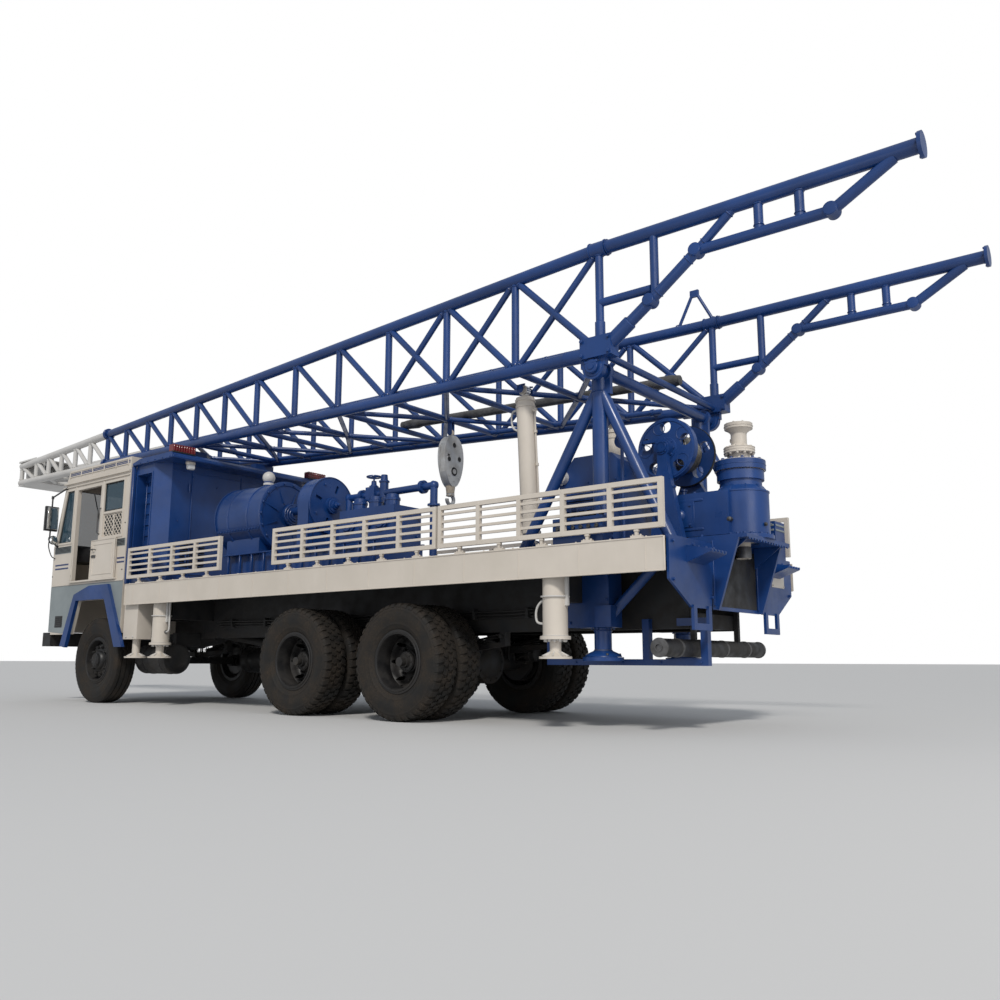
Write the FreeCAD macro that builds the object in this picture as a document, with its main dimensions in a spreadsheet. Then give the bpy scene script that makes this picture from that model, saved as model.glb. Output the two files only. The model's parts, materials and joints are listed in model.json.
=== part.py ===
import FreeCAD, Part
import Sketcher
import math
import os
import re

# Truck mounted rotary drilling rig. Millimetres. The model is laid out in the axle frame: X runs
# forward from the rearmost axle, Y to the left, Z up from the ground. Every sub-part's Placement
# then moves it by -origin_shift, so that the origin is at the middle of the rig's length.

Vector = FreeCAD.Vector
doc = FreeCAD.newDocument("drilling_rig")

# ---------------------------------------------------------------- driving dimensions
SIZES = {
    # wheels and axles
    "tyre_radius": 522, "tyre_width": 280, "tyre_gap": 40, "rim_seat_radius": 254,
    "rim_lip_radius": 284, "rim_wall": 8, "rim_width": 190, "hub_bore_gap": 0.05,
    "spindle_radius": 40, "hub_radius": 120, "front_axle_x": 5308, "middle_axle_x": 1423,
    "rear_tyre_face": 1208, "front_tyre_face": 1142, "kingpin_y": 880, "kingpin_radius": 24,
    "axle_tube_radius": 80, "axle_bowl_radius": 210, "axle_beam_height": 90, "axle_beam_depth": 100,
    "knuckle_gap": 2,
    # chassis rails
    "rail_rear": -2480, "rail_front": 6400, "rail_low": 790, "rail_height": 250, "rail_side": 430,
    "rail_flange": 75, "rail_wall": 8, "member_height": 120, "member_depth": 90,
    "bumper_front": 6610, "bumper_low": 700, "bumper_top": 880,
    "spring_width": 80, "spring_height": 90, "spring_half_length": 640, "spring_bracket": 60,
    # engine and driveline
    "engine_rear": 4900, "engine_length": 1000, "engine_half_width": 340, "engine_height": 420,
    "gearbox_length": 600, "gearbox_radius": 190, "shaft_radius": 50, "shaft_z": 850,
    # deck
    "deck_door_gap": 323, "deck_rear": -2690, "deck_half_width": 1240, "skirt_low": 1175,
    "skirt_high": 1423, "skirt_wall": 6, "deck_plate": 8, "deck_beam_depth": 70, "deck_beam_height": 120,
    "sub_rail_width": 90, "railing_low": 1490, "railing_high": 1860, "railing_bar": 22,
    "railing_frame": 38, "railing_door_gap": 330, "railing_front_length": 1870,
    "railing_centre_rear": -500, "railing_centre_front": 1750, "railing_back_rear": -2700,
    "railing_back_front": -525,
    # cab
    "cab_rear": 4650, "cab_half_width": 1200, "cab_wall": 40, "cab_bottom": 850, "cab_floor": 1480,
    "cab_nose": 6480, "cab_waist": 2000, "cab_brow": 6250, "cab_roof": 3030, "cab_brow_z": 2900,
    "window_low": 2060, "window_high": 2750, "door_rear": 5320, "door_front": 5920,
    "door_low": 1530, "door_high": 2740, "glass_wall": 6,
    "half_door_rear": 4850, "half_door_width": 570, "half_door_top": 2020, "half_door_wall": 25,
    "wall_gap": 8, "slide_gap": 0.3, "door_rail": 20, "rear_window_rear": 4780,
    "rear_window_front": 5235, "window_split": 310, "quarter_rear": 6020, "quarter_low": 6370,
    "quarter_high": 6205, "screen_half": 1080, "screen_rise": 40, "screen_inset": 22,
    "arch_rear": 4690, "arch_front": 5900, "arch_top": 1270, "arch_rise": 310, "arch_fall": 200,
    "flare_width": 170, "flare_foot": 680, "flare_top": 1450, "flare_proud": 45,
    "seat_rear": 5000, "seat_front": 5560, "seat_height": 420, "back_height": 1000,
    "seat_outer": 1050, "driver_seat_inner": 450, "bench_inner": 250, "dash_rear": 6000,
    "dash_low": 330, "dash_top": 560, "steering_x": 5840, "steering_side": 700,
    "steering_height": 645, "steering_radius": 225, "mirror_x": 6380, "mirror_reach": 110,
    "mirror_low": 2225, "mirror_height": 330, "mirror_width": 170, "mirror_thick": 40,
    "mirror_foot": 10, "mirror_arm_radius": 10,
    # cabinet behind the cab
    "cabinet_rear": 4050, "cabinet_front": 4600, "cabinet_chamfer": 150, "cabinet_top": 2900,
    "canopy_rear": 3750, "canopy_thick": 70, "cabinet_inset": 90, "cabinet_recess": 120,
    "cabinet_edge": 40, "rest_post_x": 4280, "rest_post_inner": 380, "rest_post_outer": 680,
    # mast: pivot, chords and panels
    "pivot_x": -2030, "pivot_z": 2860, "pivot_pin_radius": 45, "pin_gap": 0.05,
    "mast_root_x": -2090, "mast_tip_x": 9700, "mast_root_half": 1055, "mast_tip_half": 301,
    "chord_low_root": 2972, "chord_low_tip": 3426, "chord_high_root": 3851,
    "chord_high_tip": 3707, "chord_radius": 54, "web_radius": 34, "diagonal_radius": 31,
    "counter_radius": 28, "elbow_radius": 50, "lace_radius": 30,
    "leg_foot_x": -4540, "leg_top_z": 3860, "leg_chord_z": 3590, "foot_radius": 90,
    "foot_thick": 25, "ear_thick": 50, "ear_gap": 8, "crown_front_x": 9712, "crown_length": 620,
    "sheave_radius": 150,
    # raising frame and cylinders
    "frame_side": 900, "post_radius": 65, "brace_radius": 48, "cross_tube_radius": 50,
    "brace_front_x": -1190, "brace_rear_x": -2600, "cylinder_side": 740,
    "cylinder_base_x": -1170, "cylinder_base_z": 1500, "cylinder_top_x": -1100,
    "cylinder_top_z": 2915, "barrel_radius": 82, "barrel_length": 1345, "rod_radius": 52,
    "rod_gap": 0.08, "eye_radius": 60, "eye_half_width": 30, "rod_eye_radius": 46, "lug_gap": 6,
    "lug_thick": 20, "lug_beam": 72,
    # rotary head
    "head_x": -2770, "head_radius": 220, "head_low": 1540, "head_high": 1900, "table_low": 1480,
    "table_thick": 30, "table_rear": -2990, "table_reach": 190, "nose_radius": 60, "nose_low": 1360,
    "spindle_bore": 45, "collar_radius": 190, "swivel_radius": 125, "swivel_neck": 65,
    "swivel_high": 2490, "gearcase_front": -2100, "gearcase_half": 260,
    # drawworks
    "drum_x": -2250, "drum_z": 2300, "drum_radius": 265, "drum_barrel": 130, "drum_near": 300,
    "drum_far": -100, "drum_shaft": 35,
    "hood_front": -1260, "hood_rear": -1860, "hood_top": 2310, "hood_near": 440, "hood_far": -420,
    # mud pump
    "pump_y": 550, "pump_z": 2130, "pump_radius": 385, "pump_rear": 2400, "pump_front": 3190,
    "skid_top": 1710, "guard_y": 510, "guard_z": 2190, "guard_radius": 312, "guard_rear": 1690,
    "guard_front": 1885, "fluid_rear": 600, "fluid_front": 1400, "fluid_y": 450, "fluid_half": 200,
    "fluid_top": 2080, "pipe_y": 400, "pipe_z": 2270, "pipe_radius": 38,
    # travelling block
    "block_x": 480, "block_y": -65, "block_pin_z": 2930, "block_height": 560, "block_half_width": 175,
    "block_thick": 100, "block_pin_radius": 14,
    # tanks
    "tank_y": 765, "tank_z": 540, "tank_radius": 178, "tank_rear": 4080, "tank_length": 620,
    "muffler_x": -2500, "muffler_z": 635, "muffler_radius": 68, "muffler_right": 860,
    "muffler_left": 970, "muffler_stay": 40,
    # jacks
    "jack_inset": 140, "jack_low": 700, "jack_foot_z": 550, "jack_foot_radius": 130,
    "jack_foot_thick": 18, "jack_rod_radius": 45, "jack_tube_radius": 100,
    "rear_jack_x": -1660, "second_jack_x": 3920, "front_jack_x": 4430, "jack_box_half": 95,
    "jack_gap": 0.1, "jack_arm_half": 60, "jack_arm_low": 1000,
    # rear end
    "end_plate_thick": 20, "end_plate_outer": 1180, "end_plate_corner": 1120, "end_plate_tip": 840,
    "end_plate_inner": 500, "end_plate_low": 930, "cheek_outer": 440, "cheek_thick": 30,
    "cheek_low_x": -2740, "cheek_high_x": -2920, "bib_thick": 10, "bracket_rear": -2900,
    "bracket_high": 1390, "bracket_low": 1260, "bracket_inner": 620, "bracket_outer": 900,
    "hoop_inner": 530, "hoop_outer": 830, "hoop_bar": 50, "hoop_low": 765, "hoop_thick": 24,
    "column_rear": -1970, "column_front": -1580, "column_inner": 600, "column_outer": 800,
    "column_low": 800, "column_box": 170, "leg_x": -1850, "leg_y": 700, "leg_radius": 70,
    "shoe_radius": 165, "shoe_low": 535, "shoe_thick": 30, "shoe_dome": 60, "stay_radius": 40,
    "side_guard_rear": -2660, "side_guard_middle": -2150, "side_guard_front": -1210,
    "side_guard_low": 500, "guard_bar": 60, "guard_lap": 80,
    # controls and lamps
    "bank_rear": -2150, "bank_front": -1690, "bank_inner": 1030, "bank_outer": 1170,
    "bank_top": 1640, "lever_step": 72, "lever_height": 110, "stand_x": -2120, "stand_y": 800,
    "gauge_z": 2290, "gauge_radius": 60, "box_seat_rear": -2670, "box_seat_front": -2400,
    "box_seat_outer": 1190, "box_seat_inner": 965, "box_seat_low": 1700, "box_seat_high": 1800,
    "lamp_radius": 62, "lamp_depth": 60, "hood_lamp_x": -1300, "hood_lamp_z": 2140,
}

sheet = doc.addObject("Spreadsheet::Sheet", "sizes")
for row, (alias, value) in enumerate(SIZES.items(), start=1):
    sheet.set("A%d" % row, alias)
    sheet.set("B%d" % row, str(value))
    sheet.setAlias("B%d" % row, alias)
doc.recompute()


class Cells:
    """The sheet's values by their aliases, for the shapes that are worked out in code."""

    def __getattr__(self, alias):
        return float(sheet.get(alias))


S = Cells()
WORD = re.compile(r"[a-z]\w*")
ORIGIN_SHIFT = "(crown_front_x + leg_foot_x - foot_thick) / 2"
JACK_SIDE = "(deck_half_width - jack_inset)"
CABINET_HALF = "(deck_half_width - cabinet_inset)"
BEAM_LOW = "(skirt_high - deck_plate - deck_beam_height)"
nodes = []
own_x = {}


def bound(text):
    """An expression over the sheet's aliases, as FreeCAD writes it."""
    return WORD.sub(lambda word: "sizes." + word.group() if word.group() in SIZES else word.group(),
                    str(text))


def bind(item, **settings):
    for name, text in settings.items():
        item.setExpression(name.replace("__", "."), bound(text))
    return item


def place(item, x="0", y="0", z="0"):
    own_x[item.Name] = x
    return bind(item, Placement__Base__x=x, Placement__Base__y=y, Placement__Base__z=z)


# ---------------------------------------------------------------- builders
def box(label, x, y, z):
    """A Part::Box between two expressions on each axis."""
    item = doc.addObject("Part::Box", label)
    bind(item, Length="(%s) - (%s)" % (x[1], x[0]), Width="(%s) - (%s)" % (y[1], y[0]),
         Height="(%s) - (%s)" % (z[1], z[0]))
    return place(item, x[0], y[0], z[0])


TURN = {"X": FreeCAD.Rotation(Vector(0, 1, 0), 90), "Y": FreeCAD.Rotation(Vector(1, 0, 0), -90),
        "Z": FreeCAD.Rotation()}


def cylinder(label, axis, start, radius, length):
    """A Part::Cylinder that runs from start along +X, +Y or +Z."""
    item = doc.addObject("Part::Cylinder", label)
    item.Placement.Rotation = TURN[axis]
    bind(item, Radius=radius, Height=length)
    return place(item, *start)


def cone(label, axis, start, radius, end_radius, length):
    item = doc.addObject("Part::Cone", label)
    item.Placement.Rotation = TURN[axis]
    bind(item, Radius1=radius, Radius2=end_radius, Height=length)
    return place(item, *start)


def fuse(label, items):
    item = doc.addObject("Part::MultiFuse", label)
    item.Shapes = items
    return item


def cut(label, base, tools):
    item = doc.addObject("Part::Cut", label)
    item.Base = base
    item.Tool = tools[0] if len(tools) == 1 else fuse(label + "_tools", tools)
    return item


def group(label, items):
    """Like pieces that don't touch share one node."""
    item = doc.addObject("Part::Compound", label)
    item.Links = items
    return item


def mirrored(label, source):
    item = doc.addObject("Part::Mirroring", label)
    item.Source = source
    item.Normal = Vector(0, 1, 0)
    return item


def both_sides(label, source):
    return group(label, [source, mirrored(label + "_right", source)])


PLANES = {"XY": ("XY_Plane", 1), "XZ": ("XZ_Plane", -1), "YZ": ("YZ_Plane", 1)}


def outline(body, label, plane, points, offset="0"):
    """A closed sketch polygon, each corner held to the origin by two bound distances."""
    role, sign = PLANES[plane]
    sketch = body.newObject("Sketcher::SketchObject", label)
    base = [feature for feature in body.Origin.OriginFeatures if feature.Role == role][0]
    sketch.AttachmentSupport = [(base, "")]
    sketch.MapMode = "FlatFace"
    bind(sketch, AttachmentOffset__Base__z="%d * (%s)" % (sign, offset))
    count = len(points)
    corners = [Vector(100 * math.cos(6.28 * i / count), 100 * math.sin(6.28 * i / count), 0)
               for i in range(count)]
    sketch.addGeometry([Part.LineSegment(corners[i], corners[(i + 1) % count]) for i in range(count)], False)
    sketch.addConstraint([Sketcher.Constraint("Coincident", i, 2, (i + 1) % count, 1) for i in range(count)])
    for i, (across, up) in enumerate(points):
        for kind, text, value in (("DistanceX", across, corners[i].x), ("DistanceY", up, corners[i].y)):
            index = sketch.addConstraint(Sketcher.Constraint(kind, -1, 1, i, 1, value))
            sketch.setExpression("Constraints[%d]" % index, bound(text))
    return sketch


def prism(label, plane, points, low, high):
    """A PartDesign body: a polygon padded from low to high along the plane's world normal."""
    body = doc.addObject("PartDesign::Body", label)
    start = high if plane == "XZ" else low
    sketch = outline(body, label + "_outline", plane, points, start)
    pad = body.newObject("PartDesign::Pad", label + "_pad")
    pad.Profile = sketch
    bind(pad, Length="(%s) - (%s)" % (high, low))
    body.Tip = pad
    return body


def turned(label, plane, points):
    """A PartDesign body: a polygon turned about its plane's first or second axis."""
    body = doc.addObject("PartDesign::Body", label)
    sketch = outline(body, label + "_outline", plane, points)
    turn = body.newObject("PartDesign::Revolution", label + "_turn")
    turn.Profile = sketch
    turn.ReferenceAxis = (sketch, ["H_Axis" if plane == "YZ" else "V_Axis"])
    turn.Angle = 360
    body.Tip = turn
    return body


def node(label, item):
    """Names a finished sub-part and moves it to the rig's own origin."""
    item.Label = label
    own = own_x.get(item.Name, "0")
    bind(item, Placement__Base__x="(%s) - (%s)" % (own, ORIGIN_SHIFT))
    nodes.append(item)
    return item


def shaped(label, shape):
    """A sub-part whose shape comes from Part's own functions, with sizes read from the sheet."""
    item = doc.addObject("Part::Feature", label)
    item.Shape = shape
    return node(label, item)


def tube(start, end, radius):
    start = Vector(*start)
    run = Vector(*end) - start
    return Part.makeCylinder(radius, run.Length, start, run)


def welded(pieces):
    return pieces[0].multiFuse(pieces[1:]).removeSplitter()


# ---------------------------------------------------------------- chassis
def chassis_frame():
    low = "rail_low"
    top = "rail_low + rail_height"
    inner = "rail_side - rail_flange"
    web = "rail_side - rail_wall"
    channel = [(inner, low), ("rail_side", low), ("rail_side", top), (inner, top),
               (inner, top + " - rail_wall"), (web, top + " - rail_wall"),
               (web, low + " + rail_wall"), (inner, low + " + rail_wall")]
    rail = prism("rail", "YZ", channel, "rail_rear", "rail_front")
    members = []
    for i, x in enumerate(("rail_rear", "middle_axle_x / 2 - member_depth / 2", "2200", "3200",
                           "engine_rear", "engine_rear + engine_length - member_depth",
                           "rail_front - member_depth")):
        members.append(box("member_%d" % i, (x, x + " + member_depth"), ("-(%s)" % web, web),
                           ("rail_low + rail_wall", "rail_low + rail_wall + member_height")))
    bumper = box("bumper", ("rail_front", "bumper_front"), ("-1190", "1190"), ("bumper_low", "bumper_top"))
    node("chassis_frame", fuse("chassis_frame", [rail, mirrored("rail_right", rail), bumper] + members))


AXLE_BOWL_BACK = 130
AXLE_NOSE = 290
SPRING_SEAT = "tyre_radius + axle_tube_radius + 6"


def rear_axle(label, x):
    spindle = "rear_tyre_face - 60"
    tube_half = "rear_tyre_face - 2 * tyre_width - tyre_gap - 20"
    parts = [cylinder(label + "_shaft", "Y", (x, "-(%s)" % spindle, "tyre_radius"), "spindle_radius",
                      "2 * (%s)" % spindle),
             cylinder(label + "_tube", "Y", (x, "-(%s)" % tube_half, "tyre_radius"), "axle_tube_radius",
                      "2 * (%s)" % tube_half),
             cylinder(label + "_bowl", "X", (x + " - %d" % AXLE_BOWL_BACK, "0", "tyre_radius"),
                      "axle_bowl_radius", "230"),
             cone(label + "_nose", "X", (x + " + 100", "0", "tyre_radius"), "130", "70",
                  "%d" % (AXLE_NOSE - 100))]
    for side, sign in (("left", ""), ("right", "-")):
        y = ("rail_side - spring_width", "rail_side")
        if sign:
            y = ("-rail_side", "-(rail_side - spring_width)")
        parts.append(box("%s_seat_%s" % (label, side), (x + " - spring_width", x + " + spring_width"), y,
                         ("tyre_radius", SPRING_SEAT)))
    return fuse(label, parts)


def rear_axles():
    node("rear_axles", group("rear_axles", [rear_axle("rear_axle", "0"),
                                            rear_axle("middle_axle", "middle_axle_x")]))


def front_axle():
    x = "front_axle_x"
    z = "tyre_radius"
    low = z + " - axle_beam_height / 2"
    high = z + " + axle_beam_height / 2"
    beam = box("beam", (x + " - axle_beam_depth / 2", x + " + axle_beam_depth / 2"),
               ("-kingpin_y", "kingpin_y"), (low, high))
    parts = [beam]
    for side, y in (("left", "kingpin_y"), ("right", "-kingpin_y")):
        parts.append(cylinder("boss_" + side, "Z", (x, y, low), "axle_beam_depth / 2 + 4",
                              "axle_beam_height"))
    bores = [cylinder("bore_" + side, "Z", (x, y, low + " - 5"), "kingpin_radius + pin_gap",
                      "axle_beam_height + 10") for side,
             y in (("left", "kingpin_y"), ("right", "-kingpin_y"))]
    node("front_axle", cut("front_axle", fuse("front_axle_beam", parts), bores))


def knuckle(label, side):
    """The yoke that holds the kingpin and carries the front wheel's spindle."""
    x = "front_axle_x"
    sign = "" if side > 0 else "-"
    y = sign + "kingpin_y"
    z = "tyre_radius"
    half = "axle_beam_height / 2 + knuckle_gap"
    back = "axle_beam_depth / 2 + 12"
    wall = 24
    plate = ("kingpin_y + %s" % back, "kingpin_y + %s + %d" % (back, wall))
    lug_y = ("kingpin_y", plate[0])
    if side < 0:
        plate = ("-(%s)" % plate[1], "-(%s)" % plate[0])
        lug_y = ("-(%s)" % lug_y[1], "-(%s)" % lug_y[0])
    lug_x = (x + " - 45", x + " + 45")
    parts = [cylinder(label + "_kingpin", "Z", (x, y, z + " - (%s) - 30" % half), "kingpin_radius",
                      "2 * (%s) + 60" % half),
             cylinder(label + "_top_lug", "Z", (x, y, z + " + %s" % half), "45", "28"),
             cylinder(label + "_low_lug", "Z", (x, y, z + " - (%s) - 28" % half), "45", "28"),
             box(label + "_top_arm", lug_x, lug_y, (z + " + %s" % half, z + " + %s + 28" % half)),
             box(label + "_low_arm", lug_x, lug_y, (z + " - (%s) - 28" % half, z + " - (%s)" % half)),
             box(label + "_plate", lug_x, plate, (z + " - (%s) - 28" % half, z + " + %s + 28" % half))]
    length = "front_tyre_face - 50 - kingpin_y - (%s)" % back
    start = "kingpin_y + %s" % back if side > 0 else "-(front_tyre_face - 50)"
    parts.append(cylinder(label + "_spindle", "Y", (x, start, z), "spindle_radius", length))
    node(label, fuse(label, parts))


def leaf_springs():
    packs = []
    rise = 60
    for name, x, seat in (("front", "front_axle_x", "tyre_radius + axle_beam_height / 2"),
                          ("middle", "middle_axle_x", SPRING_SEAT), ("rear", "0", SPRING_SEAT)):
        reach = "spring_half_length"
        points = [("%s - %s" % (x, reach), "rail_low"), ("%s - %s" % (x, reach), "%s + %d" % (seat, rise)),
                  ("%s - 150" % x, seat), ("%s + 150" % x, seat),
                  ("%s + %s" % (x, reach), "%s + %d" % (seat, rise)), ("%s + %s" % (x, reach), "rail_low"),
                  ("%s + %s - spring_bracket" % (x, reach), "rail_low"),
                  ("%s + %s - spring_bracket" % (x, reach), "%s + spring_height" % seat),
                  ("%s + 150" % x, "%s + spring_height - 20" % seat),
                  ("%s - 150" % x, "%s + spring_height - 20" % seat),
                  ("%s - %s + spring_bracket" % (x, reach), "%s + spring_height" % seat),
                  ("%s - %s + spring_bracket" % (x, reach), "rail_low")]
        packs.append(prism("spring_" + name, "XZ", points, "rail_side - spring_width", "rail_side"))
    left = group("springs_left", packs)
    node("leaf_springs", both_sides("leaf_springs", left))


def engine_block():
    low = "rail_low + rail_wall + member_height"
    node("engine_block", box("engine_block", ("engine_rear", "engine_rear + engine_length"),
                             ("-engine_half_width", "engine_half_width"), (low, low + " + engine_height")))


def driveline():
    """Gearbox behind the engine and the shafts that run back to the two driven axles."""
    start = (S.engine_rear - S.gearbox_length, 0, S.shaft_z)
    end = (S.middle_axle_x + AXLE_NOSE, 0, S.tyre_radius)
    back_start = (S.middle_axle_x - AXLE_BOWL_BACK, 0, S.tyre_radius)
    back_end = (AXLE_NOSE, 0, S.tyre_radius)
    gearbox = Part.makeCone(S.gearbox_radius * 0.6, S.gearbox_radius, S.gearbox_length, Vector(*start),
                            Vector(1, 0, 0))
    reach = 3 * S.shaft_radius
    shaft = tube(start, (end[0] - S.shaft_radius, 0,
                         end[2] - S.shaft_radius * (start[2] - end[2]) / (start[0] - end[0])),
                 S.shaft_radius)
    nose = Part.makeBox(2 * reach, 2 * reach, 2 * reach, Vector(end[0] - 2 * reach, -reach, end[2] - reach))
    shaped("driveline", Part.makeCompound([gearbox.fuse(shaft.cut(nose)),
                                           tube(back_start, back_end, S.shaft_radius)]))


# ---------------------------------------------------------------- wheels
TYRE_SIDES = 36


def ring_of_facets(profile, sides, centre):
    """A closed solid of flat facets around the Y axis from (y, radius) corners."""
    rings = []
    for y, radius in profile:
        rings.append([centre + Vector(radius * math.sin(2 * math.pi * (i + 0.5) / sides), y,
                                      -radius * math.cos(2 * math.pi * (i + 0.5) / sides))
                      for i in range(sides)])
    faces = []
    for a, b in zip(rings, rings[1:] + rings[:1]):
        for i in range(sides):
            j = (i + 1) % sides
            faces.append(Part.Face(Part.makePolygon([a[i], a[j], b[j], b[i], a[i]])))
    solid = Part.Solid(Part.Shell(faces))
    if solid.Volume < 0:
        solid.reverse()
    return solid


def tyre_solid(x, middle_y):
    """One tyre of flat facets: bead, bulging side, shoulder and tread."""
    outer = S.tyre_radius / math.cos(math.pi / TYRE_SIDES)
    half = S.tyre_width / 2
    bead = S.rim_width / 2 - 2
    flat = math.cos(math.pi / TYRE_SIDES)
    seat = (S.rim_seat_radius + S.slide_gap) / flat
    lip = (S.rim_lip_radius + 1) / flat
    bulge = S.tyre_radius * 0.76
    profile = [(-bead, seat), (bead, seat), (bead, lip), (half, bulge), (half * 0.84, outer),
               (-half * 0.84, outer), (-half, bulge), (-bead, lip)]
    return ring_of_facets(profile, TYRE_SIDES, Vector(x, middle_y, S.tyre_radius))


def tyres():
    outer = S.rear_tyre_face - S.tyre_width / 2
    inner = outer - S.tyre_width - S.tyre_gap
    for side, sign in (("left", 1), ("right", -1)):
        for name, x in (("middle", S.middle_axle_x), ("rear", 0)):
            pair = [tyre_solid(x, sign * outer), tyre_solid(x, sign * inner)]
            shaped("%s_%s_tyres" % (side, name), Part.makeCompound(pair))
        shaped("front_%s_tyre" % side, tyre_solid(S.front_axle_x,
                                                  sign * (S.front_tyre_face - S.tyre_width / 2)))


def rim_profile(middle, dish, hub_start, hub_end):
    """Corners (y, radius) of one rim: drop-centre barrel, dished disc and hub."""
    half = "rim_width / 2 + 8"
    seat = "rim_seat_radius"
    under = "rim_seat_radius - rim_wall"
    bore = "spindle_radius + hub_bore_gap"
    corners = [(hub_start, bore), (hub_end, bore), (hub_end, "hub_radius"), (dish + " + 14", "hub_radius"),
               (dish + " + 14", "rim_seat_radius - 70"), (middle + " - 30", under),
               (middle + " + %s" % half, under), (middle + " + %s" % half, "rim_lip_radius"),
               (middle + " + %s - 9" % half, "rim_lip_radius"), (middle + " + %s - 9" % half, seat),
               (middle + " - (%s) + 9" % half, seat), (middle + " - (%s) + 9" % half, "rim_lip_radius"),
               (middle + " - (%s)" % half, "rim_lip_radius"), (middle + " - (%s)" % half, under),
               (middle + " - 50", under), (dish, "rim_seat_radius - 75")]
    if hub_start != dish:
        corners += [(dish, "hub_radius"), (hub_start, "hub_radius")]
    return corners


def wheel_body(label, profile, x, side):
    """A turned rim, set on its axle; the right side's is its mirror image."""
    rim = turned(label + "_left_form", "YZ", profile)
    if side > 0:
        rim_item = rim
        place(rim_item, x, "0", "tyre_radius")
        return rim_item
    flipped = mirrored(label + "_form", rim)
    return place(flipped, x, "0", "tyre_radius")


def rims():
    outer = "rear_tyre_face - tyre_width / 2"
    inner = "rear_tyre_face - 1.5 * tyre_width - tyre_gap"
    plane = "rear_tyre_face - tyre_width - tyre_gap / 2"
    for side, sign in (("left", 1), ("right", -1)):
        for name, x in (("middle", "middle_axle_x"), ("rear", "0")):
            label = "%s_%s_rims" % (side, name)
            outside = wheel_body(label + "_outer", rim_profile(outer, plane, plane, "rear_tyre_face - 70"),
                                 x, sign)
            back = [("2 * (%s) - (%s)" % (plane, y), radius)
                    for y, radius in rim_profile(outer, plane, plane,
                                                 "2 * (%s) - (%s) + 60" % (plane, inner))]
            inside = wheel_body(label + "_inner", back, x, sign)
            node(label, fuse(label, [outside, inside]))
        label = "front_%s_rim" % side
        middle = "front_tyre_face - tyre_width / 2"
        start = "kingpin_y + axle_beam_depth / 2 + 12 + 24 + knuckle_gap"
        profile = rim_profile(middle, "front_tyre_face - 110", start, "front_tyre_face - 60")
        node(label, wheel_body(label, profile, "front_axle_x", sign))


# ---------------------------------------------------------------- deck
DECK_BEAMS = 12


def deck_frame():
    """Long sub-rails on the chassis, the cross beams, the plate on them and the jacks' brackets."""
    rail = box("sub_rail", ("deck_rear + 10", "half_door_rear - deck_door_gap - 60"),
               ("rail_side - sub_rail_width", "rail_side"),
               ("rail_low + rail_height", BEAM_LOW))
    edge = "deck_half_width - skirt_wall"
    parts = [rail, mirrored("sub_rail_right", rail)]
    for i in range(DECK_BEAMS):
        span = "(half_door_rear - deck_door_gap - deck_rear - 20 - deck_beam_depth)"
        x = "deck_rear + 10 + %s * %d / %d" % (span, i, DECK_BEAMS - 1)
        parts.append(box("deck_beam_%d" % i, (x, x + " + deck_beam_depth"), ("-(%s)" % edge, edge),
                         (BEAM_LOW, "skirt_high - deck_plate")))
    parts.append(box("deck_plate_part", ("deck_rear", "half_door_rear - deck_door_gap"),
                     ("-(%s)" % edge, edge),
                     ("skirt_high - deck_plate", "skirt_high")))
    for i, (x, reach) in enumerate((("rear_jack_x", "jack_tube_radius"),
                                    ("second_jack_x", "jack_tube_radius"),
                                    ("front_jack_x", "jack_box_half"))):
        arm = box("jack_arm_%d" % i, (x + " - jack_arm_half", x + " + jack_arm_half"),
                  ("rail_side", JACK_SIDE + " - " + reach), ("jack_arm_low", BEAM_LOW))
        parts += [arm, mirrored("jack_arm_right_%d" % i, arm)]
    node("deck_frame", fuse("deck_frame", parts))


def deck():
    skirt = box("skirt", ("deck_rear - 20", "half_door_rear - deck_door_gap"),
                ("deck_half_width - skirt_wall", "deck_half_width"),
                ("skirt_low", "skirt_high + 2"))
    lip = box("skirt_lip", ("deck_rear", "half_door_rear - deck_door_gap"),
              ("deck_half_width - 46", "deck_half_width"),
              ("skirt_high", "skirt_high + 2 + 4"))
    node("deck_skirts", both_sides("deck_skirts", fuse("skirt_left", [skirt, lip])))


RAILING_BARS = 4


def railings():
    """Three welded railing panels a side on short stub posts."""
    sides = []
    outer = S.deck_half_width
    frame = S.railing_frame
    bar = S.railing_bar
    front_end = S.half_door_rear - S.railing_door_gap
    sections = ((front_end - S.railing_front_length, front_end, 4),
                (S.railing_centre_rear, S.railing_centre_front, 5),
                (S.railing_back_rear, S.railing_back_front, 5))
    for rear, front, bays in sections:
        pieces = []
        low, high = S.railing_low, S.railing_high
        for z in (low, high - frame):
            pieces.append(Part.makeBox(front - rear, frame, frame, Vector(rear, outer - frame, z)))
        step = (front - rear - frame) / bays
        for i in range(bays + 1):
            pieces.append(Part.makeBox(frame, frame, high - low, Vector(rear + i * step, outer - frame, low)))
        for i in range(RAILING_BARS):
            z = low + frame / 2 + (high - low - frame) * (i + 1) / (RAILING_BARS + 1)
            pieces.append(Part.makeBox(front - rear, bar, bar, Vector(rear, outer - (frame + bar) / 2, z)))
        for i in range(bays):
            x = rear + (i + 0.5) * step
            foot = S.skirt_high + 6
            pieces.append(Part.makeBox(24, 24, low - foot + 5, Vector(x, outer - 32, foot)))
            pieces.append(Part.makeBox(90, 40, 14, Vector(x - 33, outer - 40, foot)))
        sides.append(welded(pieces))
    right = [solid.mirror(Vector(), Vector(0, 1, 0)) for solid in sides]
    shaped("railings", Part.makeCompound(sides + right))


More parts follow.
